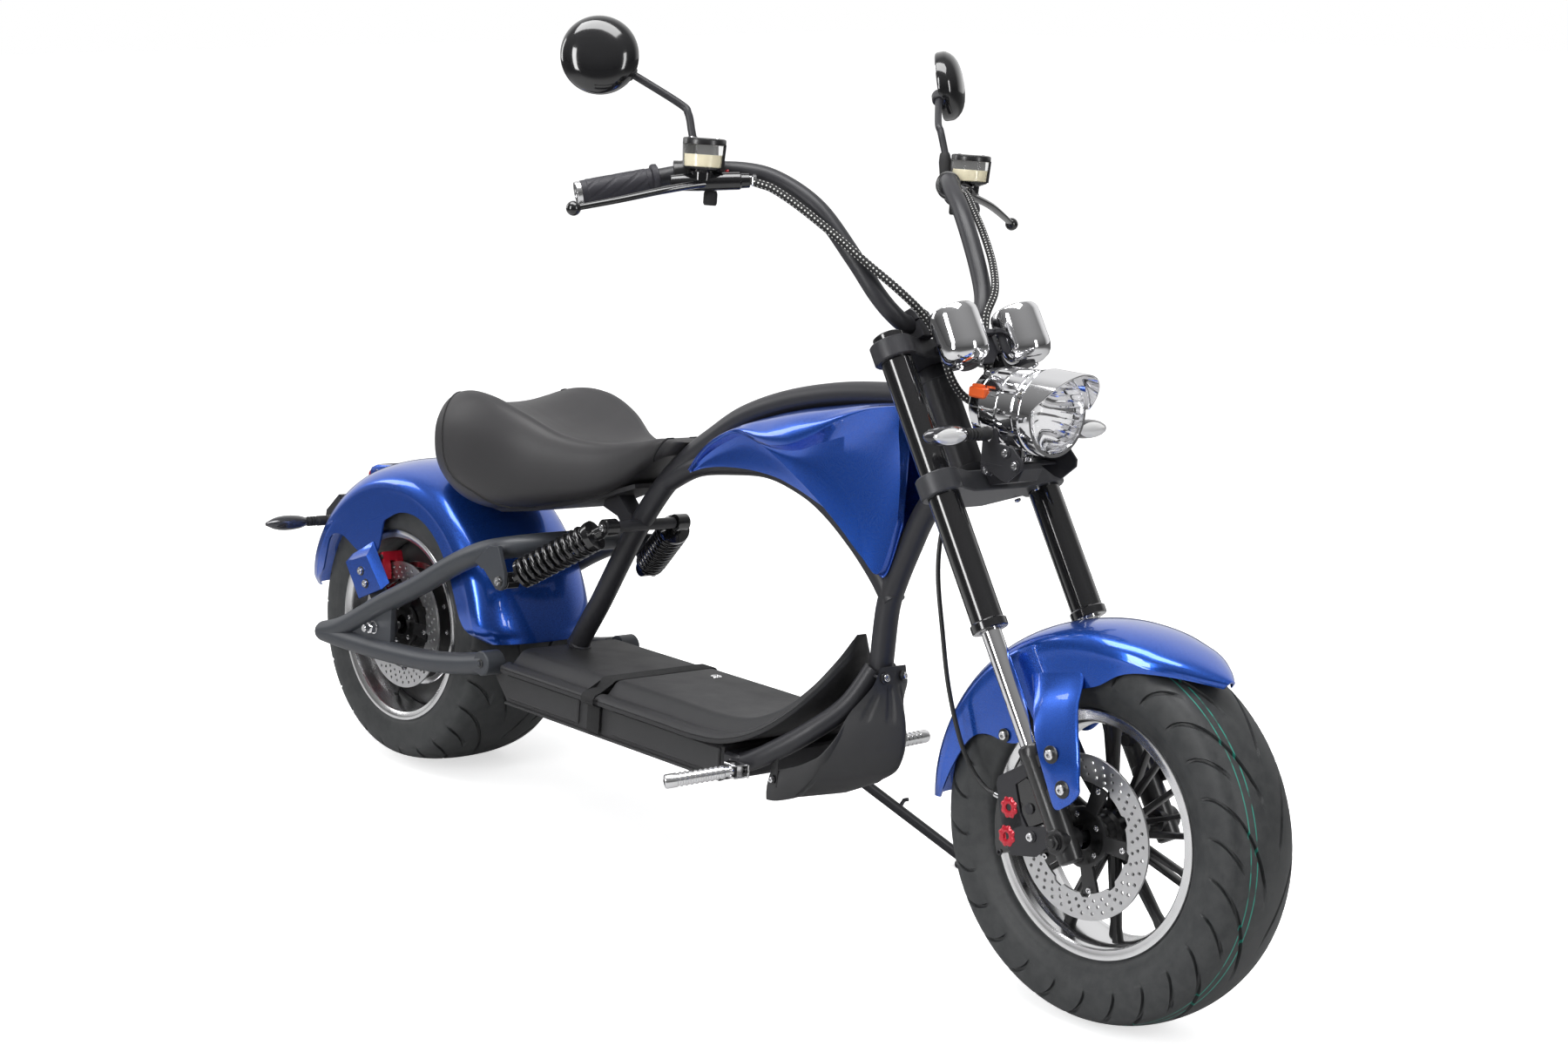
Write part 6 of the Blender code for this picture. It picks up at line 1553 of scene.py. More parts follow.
for side, word in SIDES:
    start = near_bar(side, 0.0234, -0.028, -0.0116)
    outward = (near_bar(side, -0.0199, 0.028, 0.0060) - start).normalized()
    shape = Shape()
    shape.turn(start, outward, housing, 48)
    body_start = near_bar(side, 0.0525, -0.038, -0.0405)
    body_way = (near_bar(side, -0.0036, 0.050, -0.0168) - body_start).normalized()
    shape.turn(body_start, body_way, cylinder, 40, 1)
    shape.sweep([near_bar(side, 0.0, 0.0, 0.0), near_bar(side, 0.022, 0.012, -0.029)], 0.0105, 24, 1)
    cup = near_bar(side, 0.0185, 0.0148, -0.0249)
    for stations, paint in CUP_PARTS:
        shape.turn(cup, UPRIGHT, stations, 48, paint)
    for turn_by in (0.6, 3.7):
        out = LEVEL_AHEAD * cos(turn_by) + Vector((0, 1, 0)) * sin(turn_by)
        shape.sweep(
            [cup + UPRIGHT * 0.018 + out * 0.0268, cup + UPRIGHT * 0.050 + out * 0.0286], 0.0022, 10, 0
        )
        shape.bolt(cup + UPRIGHT * 0.0574 + out * 0.0180, UPRIGHT, 0.0032, 0.0012, 0, 4, 0)
    banjo = body_start + body_way * 0.0002
    shape.turn(banjo + body_way * 0.006, -body_way, hose_bolt, 6, 4)
    shape.turn(banjo - body_way * 0.0010 - UPRIGHT * 0.006, UPRIGHT, banjo_eye, 32, 4)
    path = smoothed([near_bar(side, *p) for p in LEVER], 8)
    rings = []
    for i, point in enumerate(path):
        share = i / (len(path) - 1)
        wide = 0.0098 - 0.0050 * share
        thick = 0.0062 - 0.0020 * share
        along = (path[min(i + 1, len(path) - 1)] - path[max(i - 1, 0)]).normalized()
        flat = along.cross(UPRIGHT).normalized()
        turns = [2 * pi * j / 20 for j in range(20)]
        rings.append([point + flat * wide * cos(a) + UPRIGHT * thick * sin(a) for a in turns])
    shape.skin(rings, 1)
    shape.ball(path[-1], 0.0100, 1, 14)
    shape.bolt(near_bar(side, 0.0225, 0.008, -0.0238), UPRIGHT, 0.0058, 0.0030, 0, 4, 0)
    boot = near_bar(side, -0.0030, 0.002, 0.0066)
    boot_way = near_bar(side, 0.0142, 0.0008, 0.0466) - boot
    shape.turn(boot, boot_way, rubber_boot, 32, 5)
    knob = near_bar(side, 0.0080, -0.006, -0.0330)
    shape.turn(knob, -UPRIGHT, ((0, 0.0080), (0.0040, 0.0095), (0.0170, 0.0095), (0.0200, 0.0080)), 28, 5)
    button = ((0.0080, 0.0046), (0.0165, 0.0044), (0.0172, 0.0036))
    shape.turn(near_bar(side, 0.0200, -0.024, -0.0100), LEVEL_AHEAD, button, 24, 6)
    for t in (0.012, 0.058):
        shape.bolt(start + outward * t + UPRIGHT * -0.0185, -UPRIGHT, 0.0030, 0.0020, 0, 4, 0)
    finishes = [cast_black, gloss_black, clear_plastic, fluid, chrome, bush_rubber, red_plastic]
    name = f"hand_control_{word}"
    shape.made(name, "steering", STEERING, finishes, "satin_black", [f"brake_control_{word}"], 34)

# Mirrors: a round shell of gloss black plastic on a bent steel stem that screws into the perch, its
# glass towards the rider.

dome = (
    (-0.0124, 0.0505), (-0.0110, 0.0524), (-0.0080, 0.0535), (0.0020, 0.0535), (0.0050, 0.0525),
    (0.0110, 0.0488),
    (0.0165, 0.0430), (0.0205, 0.0360), (0.0232, 0.0280), (0.0250, 0.0180), (0.0257, 0.0080),
    (0.0258, 0.0001),
)
mirror_glass = ((-0.0110, 0.0495), (-0.0128, 0.0492), (-0.0130, 0.0470), (-0.0130, 0.0001))
stem_nut = ((-0.010, 0.0080), (-0.008, 0.0100), (0.006, 0.0110), (0.012, 0.0090))
# (ahead, left, above) of the stem's middle line from the perch
STEM = (
    (0.0142, 0.0008, 0.0440), (0.0163, 0.0008, 0.0548), (0.0206, 0.0008, 0.0786), (0.0170, 0.0070, 0.0960),
    (-0.0065, 0.0580, 0.1557),
)
for side, word in SIDES:
    glass_way = Vector((0.743, side * 0.62, -0.211)).normalized()
    centre = near_bar(side, -0.0114, 0.0948, 0.1825)
    shape = Shape()
    shape.turn(centre, glass_way, dome, 72)
    shape.turn(centre, glass_way, mirror_glass, 72, 1)
    stem = [near_bar(side, *p) for p in STEM]
    shape.sweep(smoothed(stem, 7), 0.0054, 20, 2)
    shape.turn(stem[-1], stem[-1] - stem[-2], stem_nut, 28, 2)
    finishes = [gloss_black, chrome, powder]
    shape.made(f"round_mirror_{word}", "steering", STEERING, finishes, "gloss_black", [f"mirror_{word}"], 30)

# Headlight: a chromed bowl with stepped bands and fins, a bezel, a peaked visor and a clear domed
# lens over a faceted reflector. It stands between two black plates on the lower clamp.

LAMP_FACE = Vector((0.1773, 0, 0.527))
LAMP = Matrix.Translation(LAMP_FACE) @ LEVEL
LAMP_AT = STEERING @ LAMP
LAMP_RADIUS = 0.0565
lamp_glass = Finish("lamp_glass", (1.0, 1.0, 1.0), 0.02, 0.0, Transmission_Weight=1.0, IOR=1.30)
bulb_white = Finish("frosted_bulb", (0.95, 0.96, 0.97), 0.25, 0.0)
LAMP_COLUMNS = 144
FACET_DEPTH = 0.03
VISOR_STEPS = 60
lamp_turns = [2 * pi * j / LAMP_COLUMNS for j in range(LAMP_COLUMNS)]
reflector = (
    (-0.0020, 0.0510), (-0.0100, 0.0495), (-0.0220, 0.0440), (-0.0340, 0.0340), (-0.0430, 0.0210),
    (-0.0460, 0.0100), (-0.0465, 0.0004),
)
# (from the face, share of the bowl's radius, finned)
bowl = (
    (-0.1310, 0.30, 0), (-0.1300, 0.48, 0), (-0.1260, 0.66, 0), (-0.1180, 0.80, 0), (-0.1140, 0.82, 0),
    (-0.1130, 0.88, 1),
    (-0.0960, 0.93, 1), (-0.0950, 0.90, 0), (-0.0900, 0.90, 0), (-0.0890, 0.955, 1), (-0.0660, 0.965, 1),
    (-0.0650, 0.925, 0),
    (-0.0600, 0.925, 0), (-0.0590, 0.975, 1), (-0.0360, 0.980, 1), (-0.0350, 0.940, 0), (-0.0290, 0.940, 0),
    (-0.0280, 1.010, 0), (-0.0220, 1.018, 0), (-0.0210, 0.980, 0), (-0.0150, 0.980, 0), (-0.0140, 1.020, 0),
    (-0.0050, 1.024, 0), (-0.0005, 1.005, 0), (-0.0005, 0.930, 0),
)
shape = Shape()
rings = []
for x, share, finned in bowl:
    ring = []
    for j, a in enumerate(lamp_turns):
        fin = 0.955 if finned and j % 12 in (0, 1) else 1.0
        ring.append((x, LAMP_RADIUS * share * fin * cos(a), LAMP_RADIUS * share * fin * sin(a)))
    rings.append(ring)
for x, r in reflector:
    facets = [r * (1 - FACET_DEPTH * (j // 4 % 2)) for j in range(LAMP_COLUMNS)]
    rings.append([(x, facet * cos(a), facet * sin(a)) for facet, a in zip(facets, lamp_turns)])
shape.skin(rings)
visor = []
for i in range(VISOR_STEPS + 1):
    a = radians(6 + 168 * i / VISOR_STEPS)
    reach = 0.0470 * sin(a) ** 0.85 - 0.0030
    section = (
        (-0.0160, 0.0002), (reach - 0.0006, 0.0006), (reach, 0.0012), (reach, 0.0022),
        (reach - 0.0006, 0.0027),
        (-0.0152, 0.0036), (-0.0160, 0.0030),
    )
    visor.append([(x, (LAMP_RADIUS + r) * cos(a), (LAMP_RADIUS + r) * sin(a)) for x, r in section])
shape.skin(visor)
shape.turn(
    (-0.0440, 0, 0), (1, 0, 0), ((0, 0.0080), (0.0120, 0.0085), (0.0190, 0.0070), (0.0220, 0.0030)), 32, 1
)
plate_z = -LAMP_RADIUS - 0.014
for y in (-0.0110, 0.0110):
    shape.block((-0.0740, y - 0.0012, plate_z + 0.0004), (-0.0460, y + 0.0012, -LAMP_RADIUS + 0.0060), 0.0005)
shape.block((-0.0740, -0.0120, plate_z + 0.0004), (-0.0460, 0.0120, plate_z + 0.0026), 0.0006)
shape.bolt((-0.0600, 0, plate_z + 0.0026), UP, 0.0052, 0.0050, 0, 0, 0)
for i in range(6):
    a = radians(60 * i + 30)
    shape.ball((-0.0180, LAMP_RADIUS * 0.985 * cos(a), LAMP_RADIUS * 0.985 * sin(a)), 0.0026, 0, 8)
shape.made("chrome_headlight", "steering", LAMP_AT, [chrome, bulb_white], "chrome", ["headlight"], 26)
shape = Shape()
lens = (
    (0.0004, 0.0506), (0.0012, 0.0506), (0.0036, 0.0485), (0.0070, 0.0420), (0.0096, 0.0310),
    (0.0110, 0.0170),
    (0.0114, 0.0002),
)
shape.turn((0, 0, 0), (1, 0, 0), lens, 96)
shape.made("headlight_glass", "steering", LAMP_AT, [lamp_glass], "lens", ["headlight_lens"], 30)

# Headlight bracket: black sheet steel. A tongue reaches from the lower clamp to a side plate each
# side of the bowl, with two chrome bolts, and carries the front signals.

shape = Shape()
arm_foot = LAMP.inverted() @ Vector((0.0423, 0, 0.486))
arm_head = LAMP.inverted() @ Vector((0.0423, 0, 0.506))
arm = [
    (arm_foot.x, arm_foot.z), (-0.0420, plate_z - 0.0240), (-0.0340, plate_z - 0.0060), (-0.0400, plate_z),
    (-0.0940, plate_z), (arm_head.x, arm_head.z),
]
shape.plate(arm, -0.0200, 0.0200, "Y", 0.0010)
shape.block((-0.0790, -0.0565, plate_z - 0.0030), (-0.0400, 0.0565, plate_z), 0.0006)
side_plate = [
    (-0.0790, plate_z - 0.0040), (-0.0790, -0.0240), (-0.0560, -0.0240), (-0.0500, -0.0430),
    (-0.0240, -0.0450),
    (-0.0060, -0.0620), (-0.0060, -0.0720), (-0.0300, -0.0920), (-0.0420, -0.0900),
]
ear = [
    (-0.0890, -0.0790), (-0.0800, -0.0730), (-0.0690, -0.0760), (-0.0640, -0.0830), (-0.0700, -0.0900),
    (-0.0830, -0.0900),
]
for side in (-1, 1):
    shape.plate(side_plate, side * 0.0525, side * 0.0563, "Y", 0.0006)
    for x, z in ((-0.0342, -0.0534), (-0.0160, -0.0680)):
        shape.bolt((x, side * 0.0563, z), (0, side, 0), 0.0054, 0.0040, 0.0074, 1, 0)
    shape.plate(ear, side * 0.0420, side * 0.0455, "Y", 0.0006)
    shape.bolt((-0.0755, side * 0.0455, -0.0828), (0, side, 0), 0.0050, 0.0036, 0.0070, 1, 0)
shape.made("headlight_bracket", "steering", LAMP_AT, [powder, chrome], "satin_black", ["lamp_bracket"], 34)
orange_plastic = Finish("orange_connector", (0.80, 0.120, 0.020), 0.40)
shape = Shape()
shape.block((-0.1120, -0.0560, 0.0120), (-0.0840, -0.0430, 0.0260), 0.0020)
shape.block((-0.1080, -0.0540, 0.0255), (-0.0900, -0.0450, 0.0300), 0.0012)
shape.made("wiring_connector", "steering", LAMP_AT, [orange_plastic], "satin_black", (), 34)

# Instruments: two chrome cups on a plate off the upper clamp, with glass over their dials and a
# bare shield between them.

gauge_glass = Finish("gauge_glass", (0.010, 0.011, 0.013), 0.03, 0.0, Coat_Weight=1.0)
dial_white = Finish("dial_print", (0.70, 0.70, 0.70), 0.5)
POD_AHEAD = 0.1168
POD_OUT = 0.0617
POD_LOW = CLAMP_LOW - 0.046
DIAL_MARKS = 21
cup = (
    (0, 0.0080), (0.0006, 0.0150), (0.0020, 0.0215), (0.0060, 0.0278), (0.0110, 0.0314), (0.0180, 0.0336),
    (0.0260, 0.0342), (0.0660, 0.0345), (0.0720, 0.0340), (0.0760, 0.0325), (0.0782, 0.0300),
    (0.0786, 0.0288),
)
pod_plate = [
    (-0.0300, 0.6900), (0.0300, 0.6900), (0.0330, 0.6600), (0.0160, 0.6440), (-0.0160, 0.6440),
    (-0.0330, 0.6600),
]
shape = Shape()
shape.block((0.0424, -0.0340, 0.6842), (0.1000, 0.0340, 0.6918), 0.0012, 3)
shape.plate(pod_plate, 0.0890, 0.0925, "X", 0.0008, 3)
for side in (-1, 1):
    foot = (POD_AHEAD, side * POD_OUT, POD_LOW)
    shape.turn(foot, UP, cup, 96)
    shape.turn(foot, UP, ((0.0780, 0.0287), (0.0786, 0.0285), (0.0790, 0.0001)), 72, 1)
    for i in range(DIAL_MARKS):
        a = radians(-30 + 12 * i)
        out = Vector((cos(a), sin(a), 0))
        first = Vector(foot) + Vector((0, 0, 0.0789)) + out * 0.0210
        shape.sweep([first, first + out * (0.0050 if i % 5 == 0 else 0.0030)], 0.0004, 6, 2)
    shape.bolt((POD_AHEAD - 0.0070, side * 0.0750, 0.6326), (0.2, side * 0.3, -1), 0.0050, 0.0040, 0, 0, 3)
    plug = ((0, 0.0140), (0.0030, 0.0140), (0.0040, 0.0120))
    shape.turn((POD_AHEAD - 0.0060, side * 0.0560, POD_LOW + 0.001), (0, 0, -1), plug, 40, 3)
shield_right = [(-0.0080, -0.0110), (-0.0115, 0.0020), (-0.0120, 0.0160), (-0.0060, 0.0190)]
shield = shield_right + [(0, 0.0200)] + [(-y, z) for y, z in shield_right[::-1]] + [(0, -0.0190)]
shape.plate([(y - 0.0120, z + 0.6590) for y, z in shield], 0.0921, 0.0956, "X", 0.0006, 0)
shape.plate([(y * 0.84 - 0.0120, z * 0.86 + 0.6591) for y, z in shield], 0.0945, 0.0962, "X", 0.0003, 1)
finishes = [chrome, gauge_glass, dial_white, powder]
shape.made("twin_gauges", "steering", STEERING, finishes, "chrome", ["instrument_pods"], 26)

# Turn signals: slim bullets with a clear lens in a dark shell, each on a rubber stalk of three rings
# that a nut holds to its bracket.

bullet_shell = Finish("smoked_shell", (0.050, 0.050, 0.056), 0.12, 0.4, Coat_Weight=1.0)
bullet_lens = Finish("signal_lens", (0.80, 0.80, 0.80), 0.05, 0.25, Coat_Weight=1.0)
signal_root = LAMP @ Vector((-0.067, 0.0568, -0.032))
LENS_WALL = 0.0020
# (name, root, length, body, place, which way its lens looks)
SIGNALS = (
    ("front_signal", signal_root, 0.1250, "steering", STEERING, LEVEL_AHEAD),
    ("rear_signal", Vector((-0.2950, 0.0563, 0.1300)), 0.1290, "chassis", CHASSIS, Vector((-1, 0, 0))),
)
for name, root, length, body, place, look_way in SIGNALS:
    for side, word in SIDES:
        start = Vector((root.x, side * root.y, root.z))
        way = Vector((0, side, 0))
        up_way = way.cross(look_way).normalized()
        shape = Shape()
        stalk = [(0, 0.0078), (0.006, 0.0090), (0.022, 0.0090), (0.024, 0.0066)]
        for i in range(3):
            at = 0.026 + i * 0.0062
            stalk += [(at, 0.0062), (at + 0.0006, 0.0086), (at + 0.0036, 0.0086), (at + 0.0042, 0.0062)]
        stalk += [(0.0460, 0.0062), (0.0475, 0.0080)]
        shape.turn(start, way, stalk, 32)
        shape.turn(start, way, ((-0.0001, 0.0100), (0.0030, 0.0105), (0.0034, 0.0090)), 6, 3)
        bullet = (
            (0.0450, 0.0060), (0.0520, 0.0095), (0.0620, 0.0118), (0.0760, 0.0132), (0.0900, 0.0133),
            (0.1020, 0.0120),
        )
        bullet += ((0.1120, 0.0096), (0.1190, 0.0066), (length - 0.0020, 0.0032), (length, 0.0004))
        shape.turn(start, way, bullet, 48, 1)
        lens_rings = []
        for i in range(25):
            t = i / 24
            at = 0.0560 + 0.0600 * t
            near = max(j for j, (station, _) in enumerate(bullet[:-1]) if station <= at)
            (a, wide), (b, narrow) = bullet[near], bullet[near + 1]
            r = wide + (narrow - wide) * (at - a) / (b - a) + 0.0008
            half_angle = max(radians(50) * sin(pi * t) ** 0.55, 0.01)
            outer = [half_angle * (2 * j / 14 - 1) for j in range(15)]
            face = [cos(c) * look_way + sin(c) * up_way for c in outer]
            ring = [start + way * at + r * out for out in face]
            ring += [start + way * at + (r - LENS_WALL) * out for out in face[::-1]]
            lens_rings.append(ring)
        shape.skin(lens_rings, 2)
        finishes = [bush_rubber, bullet_shell, bullet_lens, chrome]
        shape.made(f"bullet_{name}_{word}", body, place, finishes, "gloss_black", [f"{name}_{word}"], 30)

# Tail: a blue pod under the saddle's end with a red lamp in its rim, and below it the bare plate
# holder of bent sheet that carries the rear signals.

red_lens = Finish("red_lens", (0.36, 0.008, 0.012), 0.10, 0.0, Coat_Weight=1.0, Coat_Roughness=0.03)
shape = Shape()
pod = [
    (-0.0840, 0.2600), (-0.1760, 0.2490), (-0.1920, 0.2420), (-0.1955, 0.2360), (-0.1975, 0.2120),
    (-0.1500, 0.2230),
]
widths = (-0.0400, -0.0385, -0.0340, 0.0340, 0.0385, 0.0400)
shares = (0.72, 0.92, 1.0, 1.0, 0.92, 0.72)
middle = Vector((-0.1640, 0.2340))
rings = []
for y, share in zip(widths, shares):
    rings.append([(middle.x + (x - middle.x) * share, y, middle.y + (z - middle.y) * share) for x, z in pod])
shape.skin(rings)
for side in (-1, 1):
    shape.bolt((-0.1700, side * 0.0392, 0.2360), (0, side, 0), 0.0045, 0.0020, 0, 1, 1)
shape.made("tail_pod_shell", "chassis", CHASSIS, [blue, chrome], "blue", ["tail_pod"], 40)
shape = Shape()
lamp_outline = [
    (-0.1968, 0.2350), (-0.2050, 0.2335), (-0.2072, 0.2300), (-0.2085, 0.2170), (-0.2070, 0.2135),
    (-0.1992, 0.2120),
]
shape.plate(lamp_outline, -0.0335, 0.0335, "Y", 0.0018, 0)
for i in range(-5, 6):
    shape.block((-0.2088, i * 0.0060 - 0.0006, 0.2160), (-0.2070, i * 0.0060 + 0.0006, 0.2300), 0.0004, 0)
shape.made("tail_lamp", "chassis", CHASSIS, [red_lens], "red", ["tail_light"], 30)
shape = Shape()
holder = [
    (-0.2560, 0.1640), (-0.2640, 0.1820), (-0.3020, 0.1480), (-0.3050, 0.1210), (-0.2900, 0.1130),
    (-0.2700, 0.1200), (-0.2640, 0.1400),
]
for side in (-1, 1):
    shape.plate(holder, side * 0.0528, side * 0.0560, "Y", 0.0006)
sheet = [
    (-0.2600, 0.1800), (-0.2640, 0.1820), (-0.3020, 0.1480), (-0.3050, 0.1210), (-0.3020, 0.1205),
    (-0.2990, 0.1470),
]
shape.plate(sheet, -0.0535, 0.0535, "Y", 0.0005)
for side in (-1, 1):
    shape.bolt((-0.3036, side * 0.0300, 0.1340), (-1, 0, 0.05), 0.0050, 0.0034, 0, 1, 1)
shape.made("bare_plate_holder", "chassis", CHASSIS, [powder, chrome], "satin_black", ["tail_bracket"], 34)

# Rear fender brackets: blue boxes of folded sheet on the swing arm's upper tubes, each with two
# chrome bolts.

bracket = [(-0.1166, 0.0909), (-0.0712, 0.0346), (-0.0045, 0.0636), (-0.0542, 0.1135)]
for side, word in SIDES:
    shape = Shape()
    low, high = 0.1192, 0.1334
    outer = [(x, side * high, z) for x, z in bracket]
    inner = [(-0.1187, 0.1029), (-0.0720, 0.0440), (-0.0026, 0.0750), (-0.0560, 0.1360)]
    eased_edge = [(x * 0.9 + a * 0.1, z * 0.9 + b * 0.1) for (x, z), (a, b) in zip(inner, bracket)]
    rings = [
        [(x, side * low, z) for x, z in inner],
        [(x, side * (low + 0.0006), z) for x, z in eased_edge],
        [(x, y - side * 0.0008, z) for x, y, z in outer],
        [(x + (-0.0616 - x) * 0.02, y, z + (0.0757 - z) * 0.02) for x, y, z in outer],
    ]
    shape.skin(rings)
    for x, z in ((-0.0675, 0.0839), (-0.0516, 0.0648)):
        shape.turn(
            (x, side * 0.1332, z), (0, side, 0), ((0, 0.0082), (0.0010, 0.0082), (0.0012, 0.0076)), 32, 2
        )
        shape.bolt((x, side * 0.1342, z), (0, side, 0), 0.0060, 0.0042, 0, 1, 1)
    shape.made(
        f"fender_bracket_{word}", "chassis", CHASSIS, [blue, chrome, cast_black], "blue",
        [f"rear_bracket_{word}"], 30
    )

# Brake calipers: two-piston castings over the discs on laser-cut plates. The front one is gloss
# black with two red anodised caps, the rear one red.

red_anodised = Finish("red_anodised", (0.52, 0.012, 0.030), 0.26, 0.35, Coat_Weight=0.5)
FORK_AXLE = STEERING @ Matrix.Translation((FORK_X, 0, 0))
# (name, first and last angle, outer face, pads' outer and inner y, inner face)
CALIPERS = (
    ("front", 124, 172, -0.0980, -0.0678, -0.0594, -0.0545),
    ("rear", 108, 150, -0.1140, -0.0942, -0.0858, -0.0680),
)
# (body, place, finish, slot)
CALIPER_MOUNTS = (
    ("steering", FORK_AXLE, gloss_black, "gloss_black"), ("chassis", CHASSIS, red_anodised, "red"),
)
PISTON_CIRCLE = 0.1005
CAP_LOBES = 8
CAP_COLUMNS = 96
piston_boss = ((-0.0006, 0.0168), (0.0006, 0.0166), (0.0012, 0.0150))
# (rise, radius)
piston_cap = (
    (0, 0.0142), (0.0012, 0.0144), (0.0030, 0.0138), (0.0044, 0.0112), (0.0050, 0.0072), (0.0044, 0.0050),
    (0.0024, 0.0046), (0.0024, 0.0001),
)
cap_turns = [j * 2 * pi / CAP_COLUMNS for j in range(CAP_COLUMNS)]


def on_circle(radius, degrees):
    return [(radius * cos(radians(degrees)), radius * sin(radians(degrees)))]


for (name, first, last, out_y, pad_out, pad_in, in_y), mount in zip(CALIPERS, CALIPER_MOUNTS):
    body, place, finish, slot = mount
    shape = Shape()
    span = last - first
    body_outline = arc((0, 0), 0.0800, first + 3, last - 3, 14)
    body_outline += on_circle(0.100, last - 0.5)
    body_outline += arc((0, 0), 0.1270, last - 1, last - 9, 3)
    body_outline += arc((0, 0), 0.1235, last - 12, first + 12, 12)
    body_outline += arc((0, 0), 0.1270, first + 9, first + 1, 3)
    body_outline += on_circle(0.100, first + 0.5)
    shape.plate(body_outline, out_y + 0.0030, pad_out - 0.0006, "Y", 0.0022, 0)
    shape.plate(body_outline, pad_in + 0.0006, in_y, "Y", 0.0022, 0)
    bridge = arc((0, 0), 0.1115, first + 1, last - 1, 14) + arc((0, 0), 0.1272, last - 1, first + 1, 14)
    shape.plate(bridge, out_y + 0.0050, in_y - 0.0014, "Y", 0.0016, 0)
    for share in (0.27, 0.73):
        a = radians(first + span * share)
        face = Vector((PISTON_CIRCLE * cos(a), out_y + 0.0032, PISTON_CIRCLE * sin(a)))
        shape.turn(face, (0, -1, 0), piston_boss, 40, 0)
        rings = []
        for rise, r in piston_cap:
            lobed = [r * (1 + 0.07 * cos(CAP_LOBES * turn) * (r > 0.006)) for turn in cap_turns]
            rings.append([face + Vector((w * cos(t), -rise, w * sin(t))) for t, w in zip(cap_turns, lobed)])
        shape.skin(rings, 1)
    for share in (0.04, 0.96):
        a = radians(first + span * share)
        spot = Vector((0.1190 * cos(a), out_y + 0.0032, 0.1190 * sin(a)))
        shape.bolt(spot, (0, -1, 0), 0.0042, 0.0026, 0, 3, 3)
    a = radians(last - 6 if name == "front" else first + 6)
    nipple = Vector((0.1265 * cos(a), (out_y + pad_out) / 2, 0.1265 * sin(a)))
    radial = Vector((cos(a), 0, sin(a)))
    shape.turn(nipple, radial, ((0, 0.0052), (0.0004, 0.0056), (0.0015, 0.0030)), 6, 2)
    shape.turn(nipple - radial * 0.0040, radial, ((0, 0.0048), (0.0048, 0.0040), (0.0052, 0.0020)), 20, 2)
    if name == "front":
        leg = -0.0188
        lower = [
            (-0.100, 0.020), (-0.096, 0.010), (-0.060, -0.004), (leg, 0.004), (leg, 0.024), (-0.056, 0.036),
            (-0.060, 0.070), (-0.090, 0.060),
        ]
        upper = [
            (-0.100, 0.040), (-0.062, 0.040), (-0.050, 0.092), (leg, 0.096), (leg, 0.112), (-0.074, 0.112),
            (-0.082, 0.104),
        ]
        for outline in (lower, upper):
            shape.plate(outline, -0.0975, -0.0925, "Y", 0.0007, 3)
        web = [
            (-0.0680, 0.0320), (-0.0260, 0.0300), (-0.0230, 0.0500), (-0.0230, 0.0900), (-0.0320, 0.1020),
            (-0.0660, 0.1060),
        ]
        shape.plate(web, -0.0950, -0.0760, "Y", 0.0040, 0)
        shape.bolt((-0.0527, -0.0975, 0.0215), (0, -1, 0), 0.0056, 0.0046, 0.0076, 2, 3)
        shape.turn(
            (-0.0420, -0.0945, 0.0560), (0, -1, 0), ((0, 0.0075), (0.0030, 0.0072), (0.0036, 0.0060)), 24, 3
        )
    else:
        plate = arc((0, 0), 0.0210, 205, 395, 20) + arc((0, 0), 0.104, 115, 142, 8)
        shape.plate(plate, -0.1178, -0.1122, "Y", 0.0008, 3)
    shape.made(
        f"disc_caliper_{name}", body, place, [finish, red_anodised, chrome, powder], slot,
        [f"{name}_caliper"], 32
    )

# Foot pegs: cast alloy bars with ribs and a turned end, in folding brackets on the cradle tube.

peg_x = BOX_FRONT + 0.042
peg_z = -0.0294
PEG_RIBS = 9
